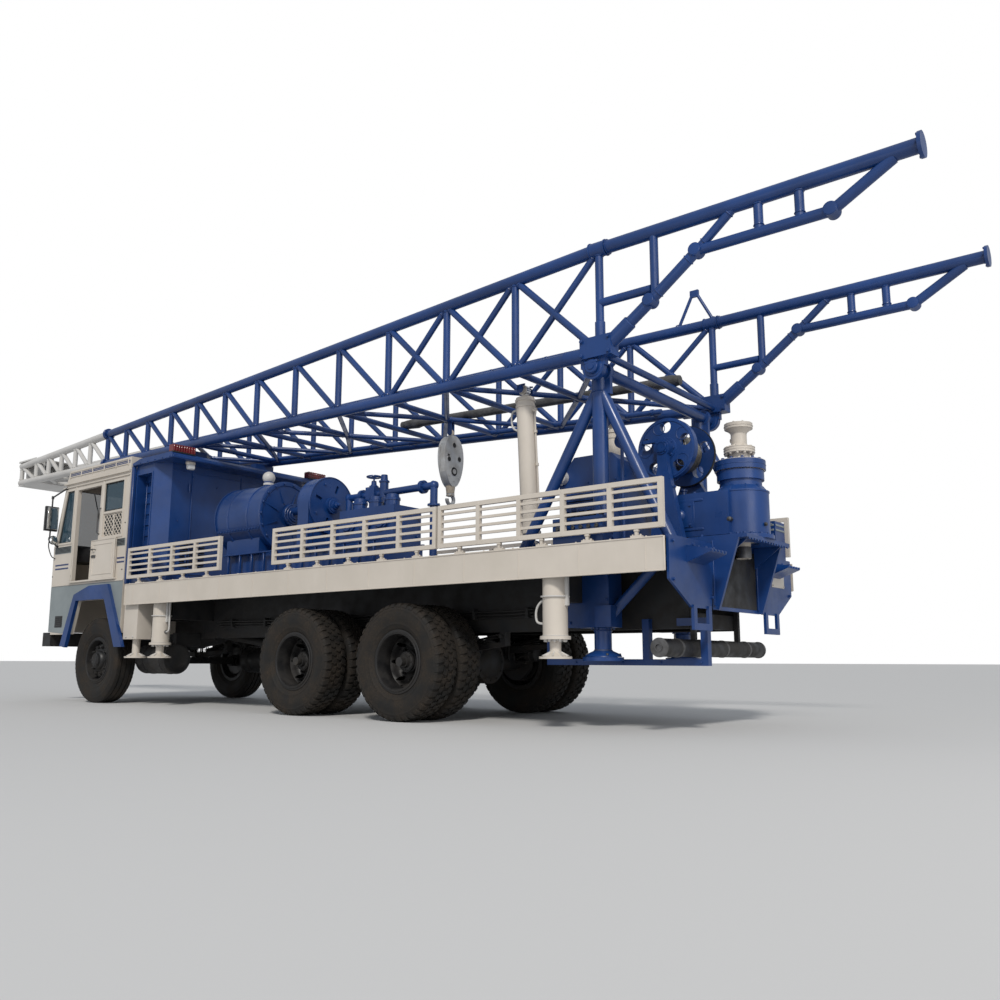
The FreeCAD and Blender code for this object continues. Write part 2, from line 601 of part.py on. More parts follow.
# ---------------------------------------------------------------- cab
def cab_profile(inset, floor):
    """The cab's side outline, drawn in by inset, down to floor."""
    return [("cab_rear + %s" % inset, floor), ("cab_nose - %s - 30" % inset, floor),
            ("cab_nose - %s" % inset, "cab_waist"),
            ("cab_brow - %s" % inset, "cab_brow_z"), ("cab_brow - %s - 60" % inset, "cab_roof - %s" % inset),
            ("cab_rear + %s" % inset, "cab_roof - %s" % inset)]


ARCH = [("arch_rear", "flare_foot"), ("arch_rear + arch_rise", "arch_top"),
        ("arch_front - arch_fall", "arch_top"), ("arch_front", "flare_foot")]
QUARTER = [("quarter_rear", "window_low"), ("quarter_low", "window_low"), ("quarter_high", "window_high"),
           ("quarter_rear", "window_high")]


def cab_shell():
    half = "cab_half_width"
    inner = "cab_half_width - cab_wall"
    outer = prism("cab_outer", "XZ", cab_profile("0", "cab_bottom"), "-" + half, half)
    room = prism("cab_room", "XZ", cab_profile("cab_wall", "cab_floor"), "-(%s)" % inner, inner)
    under = [("cab_rear + cab_wall", "cab_bottom - 10"), ("cab_nose - cab_wall - 30", "cab_bottom - 10"),
             ("cab_nose - cab_wall", "cab_floor - cab_wall"), ("cab_rear + cab_wall", "cab_floor - cab_wall")]
    below = prism("cab_below", "XZ", under, "-(%s)" % inner, inner)
    wide = ("-(cab_half_width + 20)", "cab_half_width + 20")
    arch = prism("arch_cut", "XZ", ARCH, *wide)
    doorway = box("doorway", ("door_rear", "door_front"), wide, ("door_low", "door_high"))
    rear_window = box("rear_window_cut", ("rear_window_rear", "rear_window_front"), wide,
                      ("window_low", "window_high"))
    quarter = prism("quarter_cut", "XZ", QUARTER, *wide)
    screen = box("screen_cut", ("cab_brow - 120", "cab_nose + 50"), ("-screen_half", "screen_half"),
                 ("window_low", "window_high + screen_rise"))
    saddle = box("rail_notch", ("cab_rear - 10", "cab_rear + cab_wall + 10"),
                 ("-(rail_side + 20)", "rail_side + 20"),
                 ("cab_bottom - 10", "rail_low + rail_height + 20"))
    chin = box("bumper_notch", ("rail_front - 5", "cab_nose + 10"), wide,
               ("cab_bottom - 10", "bumper_top + 5"))
    openings = [room, below, arch, doorway, rear_window, quarter, screen, saddle, chin]
    mounts = []
    for i, x in enumerate(("cab_rear + 60", "cab_nose - 180")):
        mount = box("cab_mount_%d" % i, (x, x + " + 80"), ("rail_side - rail_flange", "rail_side"),
                    ("rail_low + rail_height", "cab_floor - cab_wall"))
        mounts += [mount, mirrored("cab_mount_right_%d" % i, mount)]
    node("cab_shell", fuse("cab_shell", [cut("cab_walls", outer, openings)] + mounts))
    gutter = box("gutter", ("cab_rear", "cab_brow + 40"), (half, half + " + 24"),
                 ("cab_roof - 185", "cab_roof - 165"))
    rails = box("door_rails", ("half_door_rear - 30", "door_front + 40"),
                (half, half + " + wall_gap + half_door_wall + 6"),
                ("door_low - door_rail", "door_low"))
    node("cab_trim", both_sides("cab_trim", group("cab_trim_left", [gutter, rails])))


def half_door(label, side):
    y = ("cab_half_width + wall_gap", "cab_half_width + wall_gap + half_door_wall")
    if side < 0:
        y = ("-(%s)" % y[1], "-(%s)" % y[0])
    node(label, box(label, ("half_door_rear", "half_door_rear + half_door_width"), y,
                    ("door_low + slide_gap", "half_door_top")))


def cab_glass():
    slope = "(cab_nose - cab_brow) / (cab_brow_z - cab_waist)"
    top = "window_high + screen_rise"
    low_x = "cab_nose - screen_inset - (window_low - cab_waist) * " + slope
    high_x = "cab_nose - screen_inset - (%s - cab_waist) * %s" % (top, slope)
    screen = prism("windscreen", "XZ", [(low_x, "window_low"), (low_x + " + glass_wall", "window_low"),
                                        (high_x + " + glass_wall", top), (high_x, top)],
                   "-screen_half", "screen_half")
    y = ("cab_half_width - cab_wall / 2", "cab_half_width - cab_wall / 2 + glass_wall")
    side = box("side_glass", ("rear_window_rear", "rear_window_front"), y,
               ("window_low + window_split", "window_high"))
    quarter = prism("quarter_glass", "XZ", QUARTER, *y)
    left = group("side_glasses", [side, quarter])
    node("cab_glass", group("cab_glass", [screen, left, mirrored("side_glasses_right", left)]))


def cab_inside():
    """Seats, dashboard and steering wheel."""
    back = "cab_floor + back_height"
    seat = [("seat_rear", "cab_floor"), ("seat_front", "cab_floor"),
            ("seat_front", "cab_floor + seat_height"),
            ("seat_rear + 160", "cab_floor + seat_height - 20"), ("seat_rear + 110", back),
            ("seat_rear - 10", back)]
    left = prism("driver_seat", "XZ", seat, "-seat_outer", "-driver_seat_inner")
    right = prism("bench_seat", "XZ", seat, "-bench_inner", "seat_outer")
    nose = "cab_nose - cab_wall - 20"
    dash = [("dash_rear", "cab_floor + dash_low"), (nose, "cab_floor + dash_low"),
            (nose, "cab_floor + dash_top - 40"), ("dash_rear + 80", "cab_floor + dash_top")]
    panel = prism("dash", "XZ", dash, "-(cab_half_width - cab_wall)", "cab_half_width - cab_wall")
    x = S.steering_x
    y = -S.steering_side
    z = S.cab_floor + S.steering_height
    column = tube((x + 10, y, z - 5), (x + 240, y, z - 145), 30)
    wheel = Part.makeTorus(S.steering_radius, 16, Vector(x, y, z), Vector(-0.85, 0, 0.5))
    spoke = tube((x, y - S.steering_radius + 5, z), (x, y + S.steering_radius - 5, z), 12)
    steering = doc.addObject("Part::Feature", "steering_wheel")
    steering.Shape = welded([column, wheel, spoke])
    node("cab_interior", group("cab_interior", [left, right, panel, steering]))


def mirror(sign):
    """A mirror on its bent arm, which stands on two feet on the cab's side."""
    wall = sign * S.cab_half_width
    foot = sign * (S.cab_half_width + S.mirror_foot)
    out = sign * (S.cab_half_width + S.mirror_reach)
    x, low = S.mirror_x, S.mirror_low
    top = low + S.mirror_height
    radius = S.mirror_arm_radius
    loop = [(x, foot, low - 205), (x + 20, out, low - 105), (x + 20, out, top + 125),
            (x - 150, foot, top + 245)]
    pieces = [tube(a, b, radius) for a, b in zip(loop, loop[1:])]
    pieces += [Part.makeSphere(radius, Vector(*point)) for point in loop[1:3]]
    for point in (loop[0], loop[3]):
        pieces.append(tube((point[0], wall, point[2]), point, 2 * radius))
    pieces.append(Part.makeBox(S.mirror_thick, S.mirror_width, S.mirror_height,
                               Vector(x, out - S.mirror_width / 2, low)))
    return welded(pieces)


def cab_outside():
    """Wheel arch flares and mirrors."""
    flare = [("arch_rear - flare_width", "flare_foot")] + ARCH
    flare += [("arch_front + flare_width - 40", "flare_foot + 20"),
              ("arch_front - arch_fall + 60", "arch_top + 80"),
              ("front_axle_x + 80", "flare_top"), ("arch_rear + flare_width + 80", "flare_top")]
    left = prism("flare", "XZ", flare, "cab_half_width", "cab_half_width + flare_proud")
    node("wheel_flares", both_sides("wheel_flares", left))
    shaped("mirrors", Part.makeCompound([mirror(1), mirror(-1)]))


# ---------------------------------------------------------------- cabinet, tanks and lamps
def cabinet():
    edge = CABINET_HALF
    plan = [("cabinet_front", "-(%s)" % edge), ("cabinet_front", edge),
            ("cabinet_rear + cabinet_chamfer", edge), ("cabinet_rear", "%s - cabinet_chamfer" % edge),
            ("cabinet_rear", "-(%s - cabinet_chamfer)" % edge),
            ("cabinet_rear + cabinet_chamfer", "-(%s)" % edge)]
    body = prism("cabinet_body", "XY", plan, "skirt_high", "cabinet_top")
    hollows = []
    for sign in ("", "-"):
        low, high = "%s - cabinet_recess" % edge, edge + " + 5"
        y = (low, high) if not sign else ("-(%s)" % high, "-(%s)" % low)
        hollows.append(box("recess_" + ("left" if not sign else "right"),
                           ("cabinet_rear + cabinet_chamfer + cabinet_edge",
                            "cabinet_front - cabinet_edge"), y,
                           ("skirt_high + 3 * cabinet_edge", "cabinet_top - 3 * cabinet_edge")))
    hollowed = cut("cabinet_hollowed", body, hollows)
    roof = [("canopy_rear", "cabinet_top"), ("cabinet_front + 20", "cabinet_top"),
            ("cabinet_front + 20", "cabinet_top + 30"), ("cabinet_front - 150", "cabinet_top + canopy_thick"),
            ("canopy_rear + 30", "cabinet_top + canopy_thick"),
            ("canopy_rear", "cabinet_top + canopy_thick - 30")]
    canopy = prism("canopy", "XZ", roof, "-cab_half_width", "cab_half_width")
    top = "cabinet_top + canopy_thick"
    lamp = box("marker_lamp", ("canopy_rear + 20", "canopy_rear + 110"), ("880", "1180"),
               (top, top + " + 95"))
    node("marker_lamps", both_sides("marker_lamps", lamp))
    share = "(rest_post_x - mast_root_x) / (mast_tip_x - mast_root_x)"
    rest = "chord_low_root + (chord_low_tip - chord_low_root) * %s - chord_radius - slide_gap" % share
    post = box("rest_post", ("rest_post_x", "rest_post_x + 100"), ("rest_post_inner", "rest_post_outer"),
               (top, rest))
    node("cabinet", fuse("cabinet", [hollowed, canopy, post, mirrored("rest_post_right", post)]))


def tanks():
    """Fuel and air tanks under the deck's front corners and the muffler across the back."""
    tank = cylinder("side_tank", "X", ("tank_rear", "tank_y", "tank_z"), "tank_radius", "tank_length")
    hanger = box("tank_hanger", ("tank_rear + 40", "tank_rear + 120"), ("rail_side", "tank_y"),
                 ("tank_z + tank_radius - 30", "rail_low + 60"))
    left = fuse("tank_left", [tank, hanger])
    muffler = cylinder("muffler_tube", "Y", ("muffler_x", "-muffler_right", "muffler_z"), "muffler_radius",
                       "muffler_right + muffler_left")
    stay = box("muffler_stay", ("rail_rear - 5 - muffler_stay", "rail_rear - 5"),
               ("rail_side - muffler_stay", "rail_side"), ("muffler_z", "rail_low + rail_height"))
    silencer = fuse("muffler", [muffler, stay, mirrored("muffler_stay_right", stay)])
    node("tanks", group("tanks", [left, mirrored("tank_right", left), silencer]))


# ---------------------------------------------------------------- mast
PANELS = (900, 850, 820, 790, 770, 750, 690, 650, 640, 630, 620, 560, 560, 510, 500, 480, 480, 590)
WHITE_FROM = 12


def mast_share(x):
    return (x - S.mast_root_x) / (S.mast_tip_x - S.mast_root_x)


def along(root, tip, x):
    return root + (tip - root) * mast_share(x)


def low_point(x, sign):
    return (x, sign * along(S.mast_root_half, S.mast_tip_half, x),
            along(S.chord_low_root, S.chord_low_tip, x))


def high_point(x, sign):
    return (x, sign * along(S.mast_root_half, S.mast_tip_half, x),
            along(S.chord_high_root, S.chord_high_tip, x))


def mast_stations():
    """The panel points from the pivot to the tip, stretched to the mast's length."""
    scale = (S.mast_tip_x - S.mast_root_x) / sum(PANELS)
    stations = [S.mast_root_x]
    for length in PANELS:
        stations.append(stations[-1] + length * scale)
    return stations


def side_truss(stations, sign, crossed):
    """Chords, uprights and diagonals of one mast side over the given stations."""
    pieces = []
    first, last = stations[0], stations[-1]
    for point in (low_point, high_point):
        pieces.append(tube(point(first, sign), point(last, sign), S.chord_radius))
    for x in stations:
        pieces.append(tube(low_point(x, sign), high_point(x, sign), S.web_radius))
    for i, (rear, front) in enumerate(zip(stations, stations[1:])):
        pieces.append(tube(low_point(rear, sign), high_point(front, sign), S.diagonal_radius))
        if i < crossed:
            pieces.append(tube(high_point(rear, sign), low_point(front, sign), S.counter_radius))
    return pieces


def leg_tubes(sign):
    """The foot that reaches back past the pivot and stands on the ground when the mast is up."""
    y = sign * S.mast_root_half
    root = S.mast_root_x
    top = S.leg_top_z
    chord = S.leg_chord_z
    foot = S.leg_foot_x
    lines = [((root, top - 9), (foot, top)), ((root, S.chord_low_root), (root - 460, S.chord_low_root + 320)),
             ((root - 460, S.chord_low_root + 320), (root - 860, chord)),
             ((root - 860, chord), (foot + 580, chord)), ((foot + 580, chord), (foot + 160, top - 30)),
             ((root, 3390), (root - 470, 3390)), ((root - 500, 3330), (root - 500, top)),
             ((root - 860, chord), (root - 1190, top)), ((root - 1350, chord), (root - 1350, top)),
             ((root - 1650, chord), (root - 1650, top))]
    radii = [S.chord_radius, 46, 42, 40, 40, S.web_radius, S.web_radius, S.web_radius, S.web_radius,
             S.web_radius]
    pieces = [tube((a[0], y, a[1]), (b[0], y, b[1]), radius) for (a, b), radius in zip(lines, radii)]
    for x, z in ((root - 460, S.chord_low_root + 320), (root - 860, chord), (foot + 580, chord)):
        pieces.append(Part.makeCylinder(S.elbow_radius, 2 * S.elbow_radius,
                                        Vector(x, y - S.elbow_radius, z), Vector(0, 1, 0)))
    collar = S.chord_radius + 9
    pieces.append(Part.makeCylinder(collar, 150, Vector(root - 75, y, top - 9), Vector(1, 0, 0)))
    pieces.append(Part.makeBox(290, 2 * collar, 170, Vector(root - 130, y - collar, S.chord_low_root - 45)))
    pieces.append(Part.makeCylinder(S.foot_radius, S.foot_thick, Vector(foot, y, top), Vector(-1, 0, 0)))
    return pieces


def ear(sign):
    """The plate under the root joint that turns on the raising frame's pin."""
    y = sign * S.mast_root_half - S.ear_thick / 2
    plate = Part.makeBox(230, S.ear_thick, S.chord_low_root - S.pivot_z + 40,
                         Vector(S.pivot_x - 115, y, S.pivot_z))
    round_end = Part.makeCylinder(100, S.ear_thick, Vector(S.pivot_x, y, S.pivot_z), Vector(0, 1, 0))
    bore = Part.makeCylinder(S.pivot_pin_radius + S.pin_gap, S.ear_thick + 20,
                             Vector(S.pivot_x, y - 10, S.pivot_z), Vector(0, 1, 0))
    return plate.fuse(round_end), bore


def mast_lugs():
    """Pairs of lug plates for the cylinders' eyes, hung from their own cross tube."""
    pieces = []
    inner = S.eye_half_width + S.lug_gap
    for sign in (1, -1):
        for side in (1, -1):
            middle = sign * S.cylinder_side + side * (inner + S.lug_thick / 2)
            x, z = S.cylinder_top_x, S.cylinder_top_z
            pieces.append(Part.makeBox(110, S.lug_thick, low_point(S.cylinder_top_x, 1)[2] - z,
                                       Vector(x - 55, middle - S.lug_thick / 2, z)))
            pieces.append(Part.makeCylinder(55, S.lug_thick, Vector(x, middle - S.lug_thick / 2, z),
                                            Vector(0, 1, 0)))
            boss_y = sign * S.cylinder_side + side * (inner + S.lug_thick)
            pieces.append(Part.makeCylinder(32, 14, Vector(x, boss_y, z), Vector(0, side, 0)))
    return pieces


def lacing(stations, lugs, first):
    """The bottom plane: a cross tube at each station and diamonds of braces over each two bays."""
    pieces = []
    for x in stations:
        pieces.append(tube(low_point(x, 1), low_point(x, -1), S.lace_radius))
    for i, (rear, front) in enumerate(zip(stations, stations[1:]), start=first):
        point, side = (front, rear) if i % 2 == 0 else (rear, front)
        middle = (point, 0, low_point(point, 1)[2])
        for sign in (1, -1):
            pieces.append(tube(low_point(side, sign), middle, S.lace_radius * 0.85))
    return pieces + lugs


def crown(sign):
    """One cheek of the crown and its half of the cover plates at the mast's tip."""
    rear = S.crown_front_x - S.crown_length
    y = S.mast_tip_half
    low = S.chord_low_tip - S.chord_radius
    high = S.chord_high_tip + S.chord_radius
    pieces = [Part.makeBox(S.crown_length, 14, high - low - 20, Vector(rear, sign * (y - 80) - 7, low + 10))]
    for z, wide, thick in ((high - 4, y + 60, 12), (low - 4, y + 40, 10)):
        start = 0 if sign > 0 else -wide
        pieces.append(Part.makeBox(S.crown_length, wide, thick, Vector(rear, start, z)))
    return pieces


def mast_tip(stations):
    pieces = []
    for sign in (1, -1):
        pieces += side_truss(stations, sign, 0) + crown(sign)
    pieces += lacing(stations, [], WHITE_FROM)
    x, z = S.crown_front_x - 270, S.chord_low_tip + 155
    reach = S.mast_tip_half - 80
    for y in (-70, 0, 70):
        pieces.append(Part.makeCylinder(S.sheave_radius, 36, Vector(x, y - 18, z), Vector(0, 1, 0)))
    pieces.append(tube((x, -reach, z), (x, reach, z), 33))
    return welded(pieces)


def rope_guide():
    """The inverted V on the right-hand top chord."""
    y = -S.mast_root_half
    top = S.chord_high_root
    legs = [tube((foot, y + 12, top), (head, y + 12, top + 360), 16)
            for foot, head in ((-1720, -1900), (-2130, -1940))]
    return legs + [Part.makeBox(90, 30, 70, Vector(-1965, y - 3, top + 320))]


def block_hanger():
    """Two plates under a cross tube of the lacing, with the pin the travelling block hangs on."""
    top = low_point(S.block_x, 1)[2]
    pieces = []
    for side in (1, -1):
        y = S.block_y + side * 22 - 6
        pieces.append(Part.makeBox(50, 12, top - S.block_pin_z, Vector(S.block_x - 25, y, S.block_pin_z)))
        pieces.append(Part.makeCylinder(25, 12, Vector(S.block_x, y, S.block_pin_z), Vector(0, 1, 0)))
    pieces.append(Part.makeCylinder(S.block_pin_radius, 56, Vector(S.block_x, S.block_y - 28, S.block_pin_z),
                                    Vector(0, 1, 0)))
    return pieces


DRILL_PIPE_RADIUS = 45
DRILL_PIPE_Y = -200
DRILL_PIPE_ENDS = (-2150, 1330)


def drill_pipe():
    """A drill pipe that lies on the lacing's cross tubes."""
    lift = S.lace_radius + DRILL_PIPE_RADIUS + 0.3
    ends = [(x, DRILL_PIPE_Y, along(S.chord_low_root, S.chord_low_tip, x) + lift) for x in DRILL_PIPE_ENDS]
    return tube(ends[0], ends[1], DRILL_PIPE_RADIUS)


def mast():
    stations = mast_stations()
    blue = stations[:WHITE_FROM + 1]
    white = stations[WHITE_FROM:]
    sides = []
    for name, sign in (("left", 1), ("right", -1)):
        plate, bore = ear(sign)
        pieces = side_truss(blue, sign, 3) + leg_tubes(sign) + [plate]
        if sign < 0:
            pieces += rope_guide()
        sides.append(welded(pieces).cut(bore))
        shaped("mast_%s_side" % name, sides[-1])
    laced = welded(lacing(blue, mast_lugs() + lug_beam() + block_hanger(), 0)).cut(sides[0]).cut(sides[1])
    shaped("mast_lacing", largest(laced))
    beyond = Part.makeBox(200, 2000, 2000, Vector(S.crown_front_x, -1000, S.chord_low_tip - 1000))
    tip = mast_tip(white).cut(sides[0]).cut(sides[1]).cut(laced).cut(beyond)
    shaped("mast_tip", largest(tip))
    shaped("drill_pipe", drill_pipe())


def lug_beam():
    """The square stubs from the bottom chords that carry the cylinders' lugs."""
    x, half, z = low_point(S.cylinder_top_x, 1)
    depth = S.lug_beam
    inner = S.cylinder_side - 70
    return [Part.makeBox(depth, half - 20 - inner, depth, Vector(x - depth / 2, y, z - depth / 2))
            for y in (inner, 20 - half)]


def largest(shape):
    """The main solid, without the slivers that a cut leaves."""
    return max(shape.Solids, key=lambda solid: solid.Volume)


# ---------------------------------------------------------------- raising frame and cylinders
def raising_frame():
    """Posts and braces on the deck, the cross tube between them and the mast's hinge pins."""
    y = S.frame_side
    x = S.pivot_x + 50
    z = S.pivot_z
    floor = S.skirt_high
    pieces = []
    for sign in (1, -1):
        head = (x, sign * y, z - 110)
        pieces.append(tube((x, sign * y, floor), (x, sign * y, z), S.post_radius))
        pieces.append(tube((S.brace_front_x, sign * y, floor), head, S.brace_radius))
        pieces.append(tube((S.brace_rear_x, sign * y, floor), head, S.brace_radius))
        plate = Part.makeBox(130, 40, 190, Vector(S.pivot_x - 60, sign * y - 20, z - 190))
        pieces += [plate, Part.makeCylinder(75, 40, Vector(S.pivot_x, sign * y - 20, z), Vector(0, 1, 0))]
        for foot_x in (S.brace_front_x, x, S.brace_rear_x):
            pieces.append(Part.makeBox(150, 112, 14, Vector(foot_x - 75, sign * y - 56, floor)))
        ear_out = S.mast_root_half + S.ear_thick / 2 + S.ear_gap
        boss = S.mast_root_half - S.ear_thick / 2 - S.ear_gap
        pieces.append(tube((S.pivot_x, 0, z), (S.pivot_x, sign * boss, z), S.cross_tube_radius))
        pieces.append(tube((S.pivot_x, 0, z), (S.pivot_x, sign * (ear_out + 8), z), S.pivot_pin_radius))
        pieces.append(tube((S.pivot_x, sign * ear_out, z), (S.pivot_x, sign * (ear_out + 18), z), 58))
        for side in (1, -1):
            inner = S.eye_half_width + S.lug_gap
            lug_y = sign * S.cylinder_side + side * (inner + S.lug_thick / 2) - S.lug_thick / 2
            base_z = S.cylinder_base_z
            pieces.append(Part.makeBox(130, S.lug_thick, base_z - floor,
                                       Vector(S.cylinder_base_x - 65, lug_y, floor)))
            pieces.append(Part.makeCylinder(65, S.lug_thick, Vector(S.cylinder_base_x, lug_y, base_z),
                                            Vector(0, 1, 0)))
        reach = S.eye_half_width + S.lug_gap + S.lug_thick
        pieces.append(tube((S.cylinder_base_x, sign * S.cylinder_side - reach, base_z),
                           (S.cylinder_base_x, sign * S.cylinder_side + reach, base_z), BASE_PIN))
        pieces.append(Part.makeBox(170, 170, 14, Vector(S.cylinder_base_x - 85, sign * S.cylinder_side - 85,
                                                        floor)))
    frame = welded(pieces)
    below = Part.makeBox(4000, 3000, 400, Vector(-4000, -1500, floor - 400))
    shaped("raising_frame", frame.cut(below))


BASE_PIN = 24
TANG = 75
BARREL_HEAD = 35


def cylinder_axis():
    base = Vector(S.cylinder_base_x, 0, S.cylinder_base_z)
    top = Vector(S.cylinder_top_x, 0, S.cylinder_top_z)
    return base, top, (top - base).normalize()


def lift_cylinders():
    base, top, run = cylinder_axis()
    barrels, rods = [], []
    half = S.eye_half_width
    shoulder = TANG + BARREL_HEAD
    across = Vector(0, 1, 0)
    for sign in (1, -1):
        start = base + Vector(0, sign * S.cylinder_side, 0)
        eye = Part.makeCylinder(S.eye_radius, 2 * half, start - Vector(0, half, 0), across)
        tang = Part.makeCylinder(half - 2, TANG, start, run)
        neck = Part.makeCone(half - 2, S.barrel_radius, BARREL_HEAD, start + run * TANG, run)
        shell = Part.makeCylinder(S.barrel_radius, S.barrel_length - shoulder, start + run * shoulder, run)
        pin = Part.makeCylinder(BASE_PIN + S.pin_gap, 2 * half + 2, start - Vector(0, half + 1, 0), across)
        bore = Part.makeCylinder(S.rod_radius + S.rod_gap, S.barrel_length, start + run * (shoulder + 20),
                                 run)
        barrels.append(eye.fuse([tang, neck, shell]).cut(pin).cut(bore))
        end = top + Vector(0, sign * S.cylinder_side, 0)
        rod_length = (top - base).Length - shoulder - 40
        rod = Part.makeCylinder(S.rod_radius, rod_length - TANG, end - run * rod_length, run)
        head = Part.makeCylinder(half - 4, TANG + 5, end - run * (TANG + 5), run)
        rod_eye = Part.makeCylinder(S.rod_eye_radius, 2 * half, end - Vector(0, half, 0), across)
        rods.append(rod.fuse([head, rod_eye]))
    shaped("lift_barrels", Part.makeCompound(barrels))
    shaped("lift_rods", Part.makeCompound(rods))


# ---------------------------------------------------------------- rotary head
def rotary_head():
    """Gear case and head housing on a table plate, bored for the spindle."""
    x = "head_x"
    shaft = "collar_radius - 60"
    lower = cylinder("head_lower", "Z", (x, "0", "table_low"), "head_radius - 45",
                     "head_low + 10 - table_low")
    body = cylinder("head_body", "Z", (x, "0", "head_low"), "head_radius", "head_high - head_low")
    shoulder = cone("head_shoulder", "Z", (x, "0", "head_high"), "head_radius", "head_radius - 50", "50")
    neck = cylinder("head_neck", "Z", (x, "0", "head_high + 50"), "head_radius - 50", "60")
    collar = cylinder("head_collar", "Z", (x, "0", "head_high + 100"), "collar_radius", "80")
    flange = cylinder("head_flange", "Z", (x, "0", "head_low - 30"), "head_radius + 30", "30")
    half = "gearcase_half"
    case = box("gear_case", (x, "gearcase_front"), ("-" + half, half), ("head_low", "head_high"))
    foot = box("gear_case_foot", ("deck_rear + table_reach", "gearcase_front"),
               ("30 - " + half, half + " - 30"), ("skirt_high", "head_low"))
    cover = box("gear_case_cover", ("gearcase_front - 360", "gearcase_front - 120"), (half, half + " + 14"),
                ("head_low + 80", "head_high - 80"))
    body_all = fuse("head_housing", [lower, body, shoulder, neck, collar, flange, case, foot, cover])
    bore = cylinder("head_bore", "Z", (x, "0", "head_low - 200"), shaft + " + pin_gap", "1000")
    node("rotary_head", cut("rotary_head", body_all, [bore]))


def rotary_spindle():
    """The hollow spindle with its nose below and the swivel on top."""
    x = "head_x"
    shaft = "collar_radius - 60"
    top = "head_high + 180 + 6"
    parts = [cylinder("spindle_nose", "Z", (x, "0", "nose_low"), "nose_radius", "head_low - nose_low"),
             cylinder("spindle_shaft", "Z", (x, "0", "table_low + 20"), shaft,
                      "head_high + 200 - table_low - 20"),
             cylinder("spindle_collar", "Z", (x, "0", top), "collar_radius + 15", "80"),
             cylinder("swivel_base", "Z", (x, "0", top + " + 80"), "swivel_neck + 20", "100"),
             cylinder("swivel_flange", "Z", (x, "0", top + " + 150"), "swivel_radius", "50"),
             cylinder("swivel_waist", "Z", (x, "0", top + " + 200"), "swivel_neck",
                      "swivel_high - (%s) - 200" % top),
             cylinder("swivel_cap", "Z", (x, "0", "swivel_high - 45"), "swivel_radius - 10", "45")]
    bore = cylinder("spindle_hole", "Z", (x, "0", "head_low - 300"), "spindle_bore", "1500")
    node("rotary_spindle", cut("rotary_spindle", fuse("spindle_body", parts), [bore]))


# ---------------------------------------------------------------- drawworks and pump
DRUM_HOLE = 51


def drawworks():
    x, z = S.drum_x, S.drum_z
    near, far = S.drum_near, S.drum_far
    floor = S.skirt_high
    shaft = S.drum_shaft
    pieces = []
    for y, base in ((near + 14, floor), (far - 14 - 60, S.head_high)):
        post = Part.makeBox(90, 60, z - base, Vector(x - 45, y, base))
        corners = [(x - 190, base), (x + 140, base), (x + 45, z - 150), (x - 45, z - 150), (x - 190, base)]
        web = Part.Face(Part.makePolygon([Vector(a, y, b) for a, b in corners])).extrude(Vector(0, 60, 0))
        cap = Part.makeCylinder(75, 60, Vector(x, y, z), Vector(0, 1, 0))
        pieces.append(post.fuse([web, cap]))
    pieces[0] = pieces[0].fuse(Part.makeBox(135, 40, 30,
                                            Vector(x + 40, near + 74 - S.slide_gap - 40, z + 50)))
    bearing = Part.makeCylinder(shaft + S.pin_gap, near - far + 400, Vector(x, far - 200, z), Vector(0, 1, 0))
    pieces = [piece.cut(bearing) for piece in pieces]
    hood = [("hood_front", "skirt_high"), ("hood_front", "hood_top - 180"), ("hood_front - 160", "hood_top"),
            ("hood_rear + 60", "hood_top"), ("hood_rear", "hood_top - 60"), ("hood_rear", "skirt_high")]
    hood_body = prism("hood", "XZ", hood, "hood_far", "hood_near")
    posts = doc.addObject("Part::Feature", "drum_posts")
    posts.Shape = Part.makeCompound(pieces)
    node("drawworks_frame", group("drawworks_frame", [posts, hood_body]))
    flange = S.drum_radius
    profile = [(far, shaft), (far, flange), (far + 36, flange), (far + 36, S.drum_barrel),
               (near - 60, S.drum_barrel), (near - 60, flange), (near, flange), (near, shaft)]
    wire = Part.makePolygon([Vector(0, y, r) for y, r in profile + profile[:1]])
    drum = Part.Face(wire).revolve(Vector(), Vector(0, 1, 0), 360)
    axle = Part.makeCylinder(shaft, near - far + 2 * 90, Vector(0, far - 90, 0), Vector(0, 1, 0))
    drum = drum.fuse(axle)
    for i in range(5):
        angle = 2 * math.pi * i / 5
        hole = Part.makeCylinder(DRUM_HOLE, near - far + 40,
                                 Vector(190 * math.sin(angle), far - 20, 190 * math.cos(angle)),
                                 Vector(0, 1, 0))
        drum = drum.cut(hole)
    drum.translate(Vector(x, 0, z))
    shaped("drawworks_drum", drum.removeSplitter())


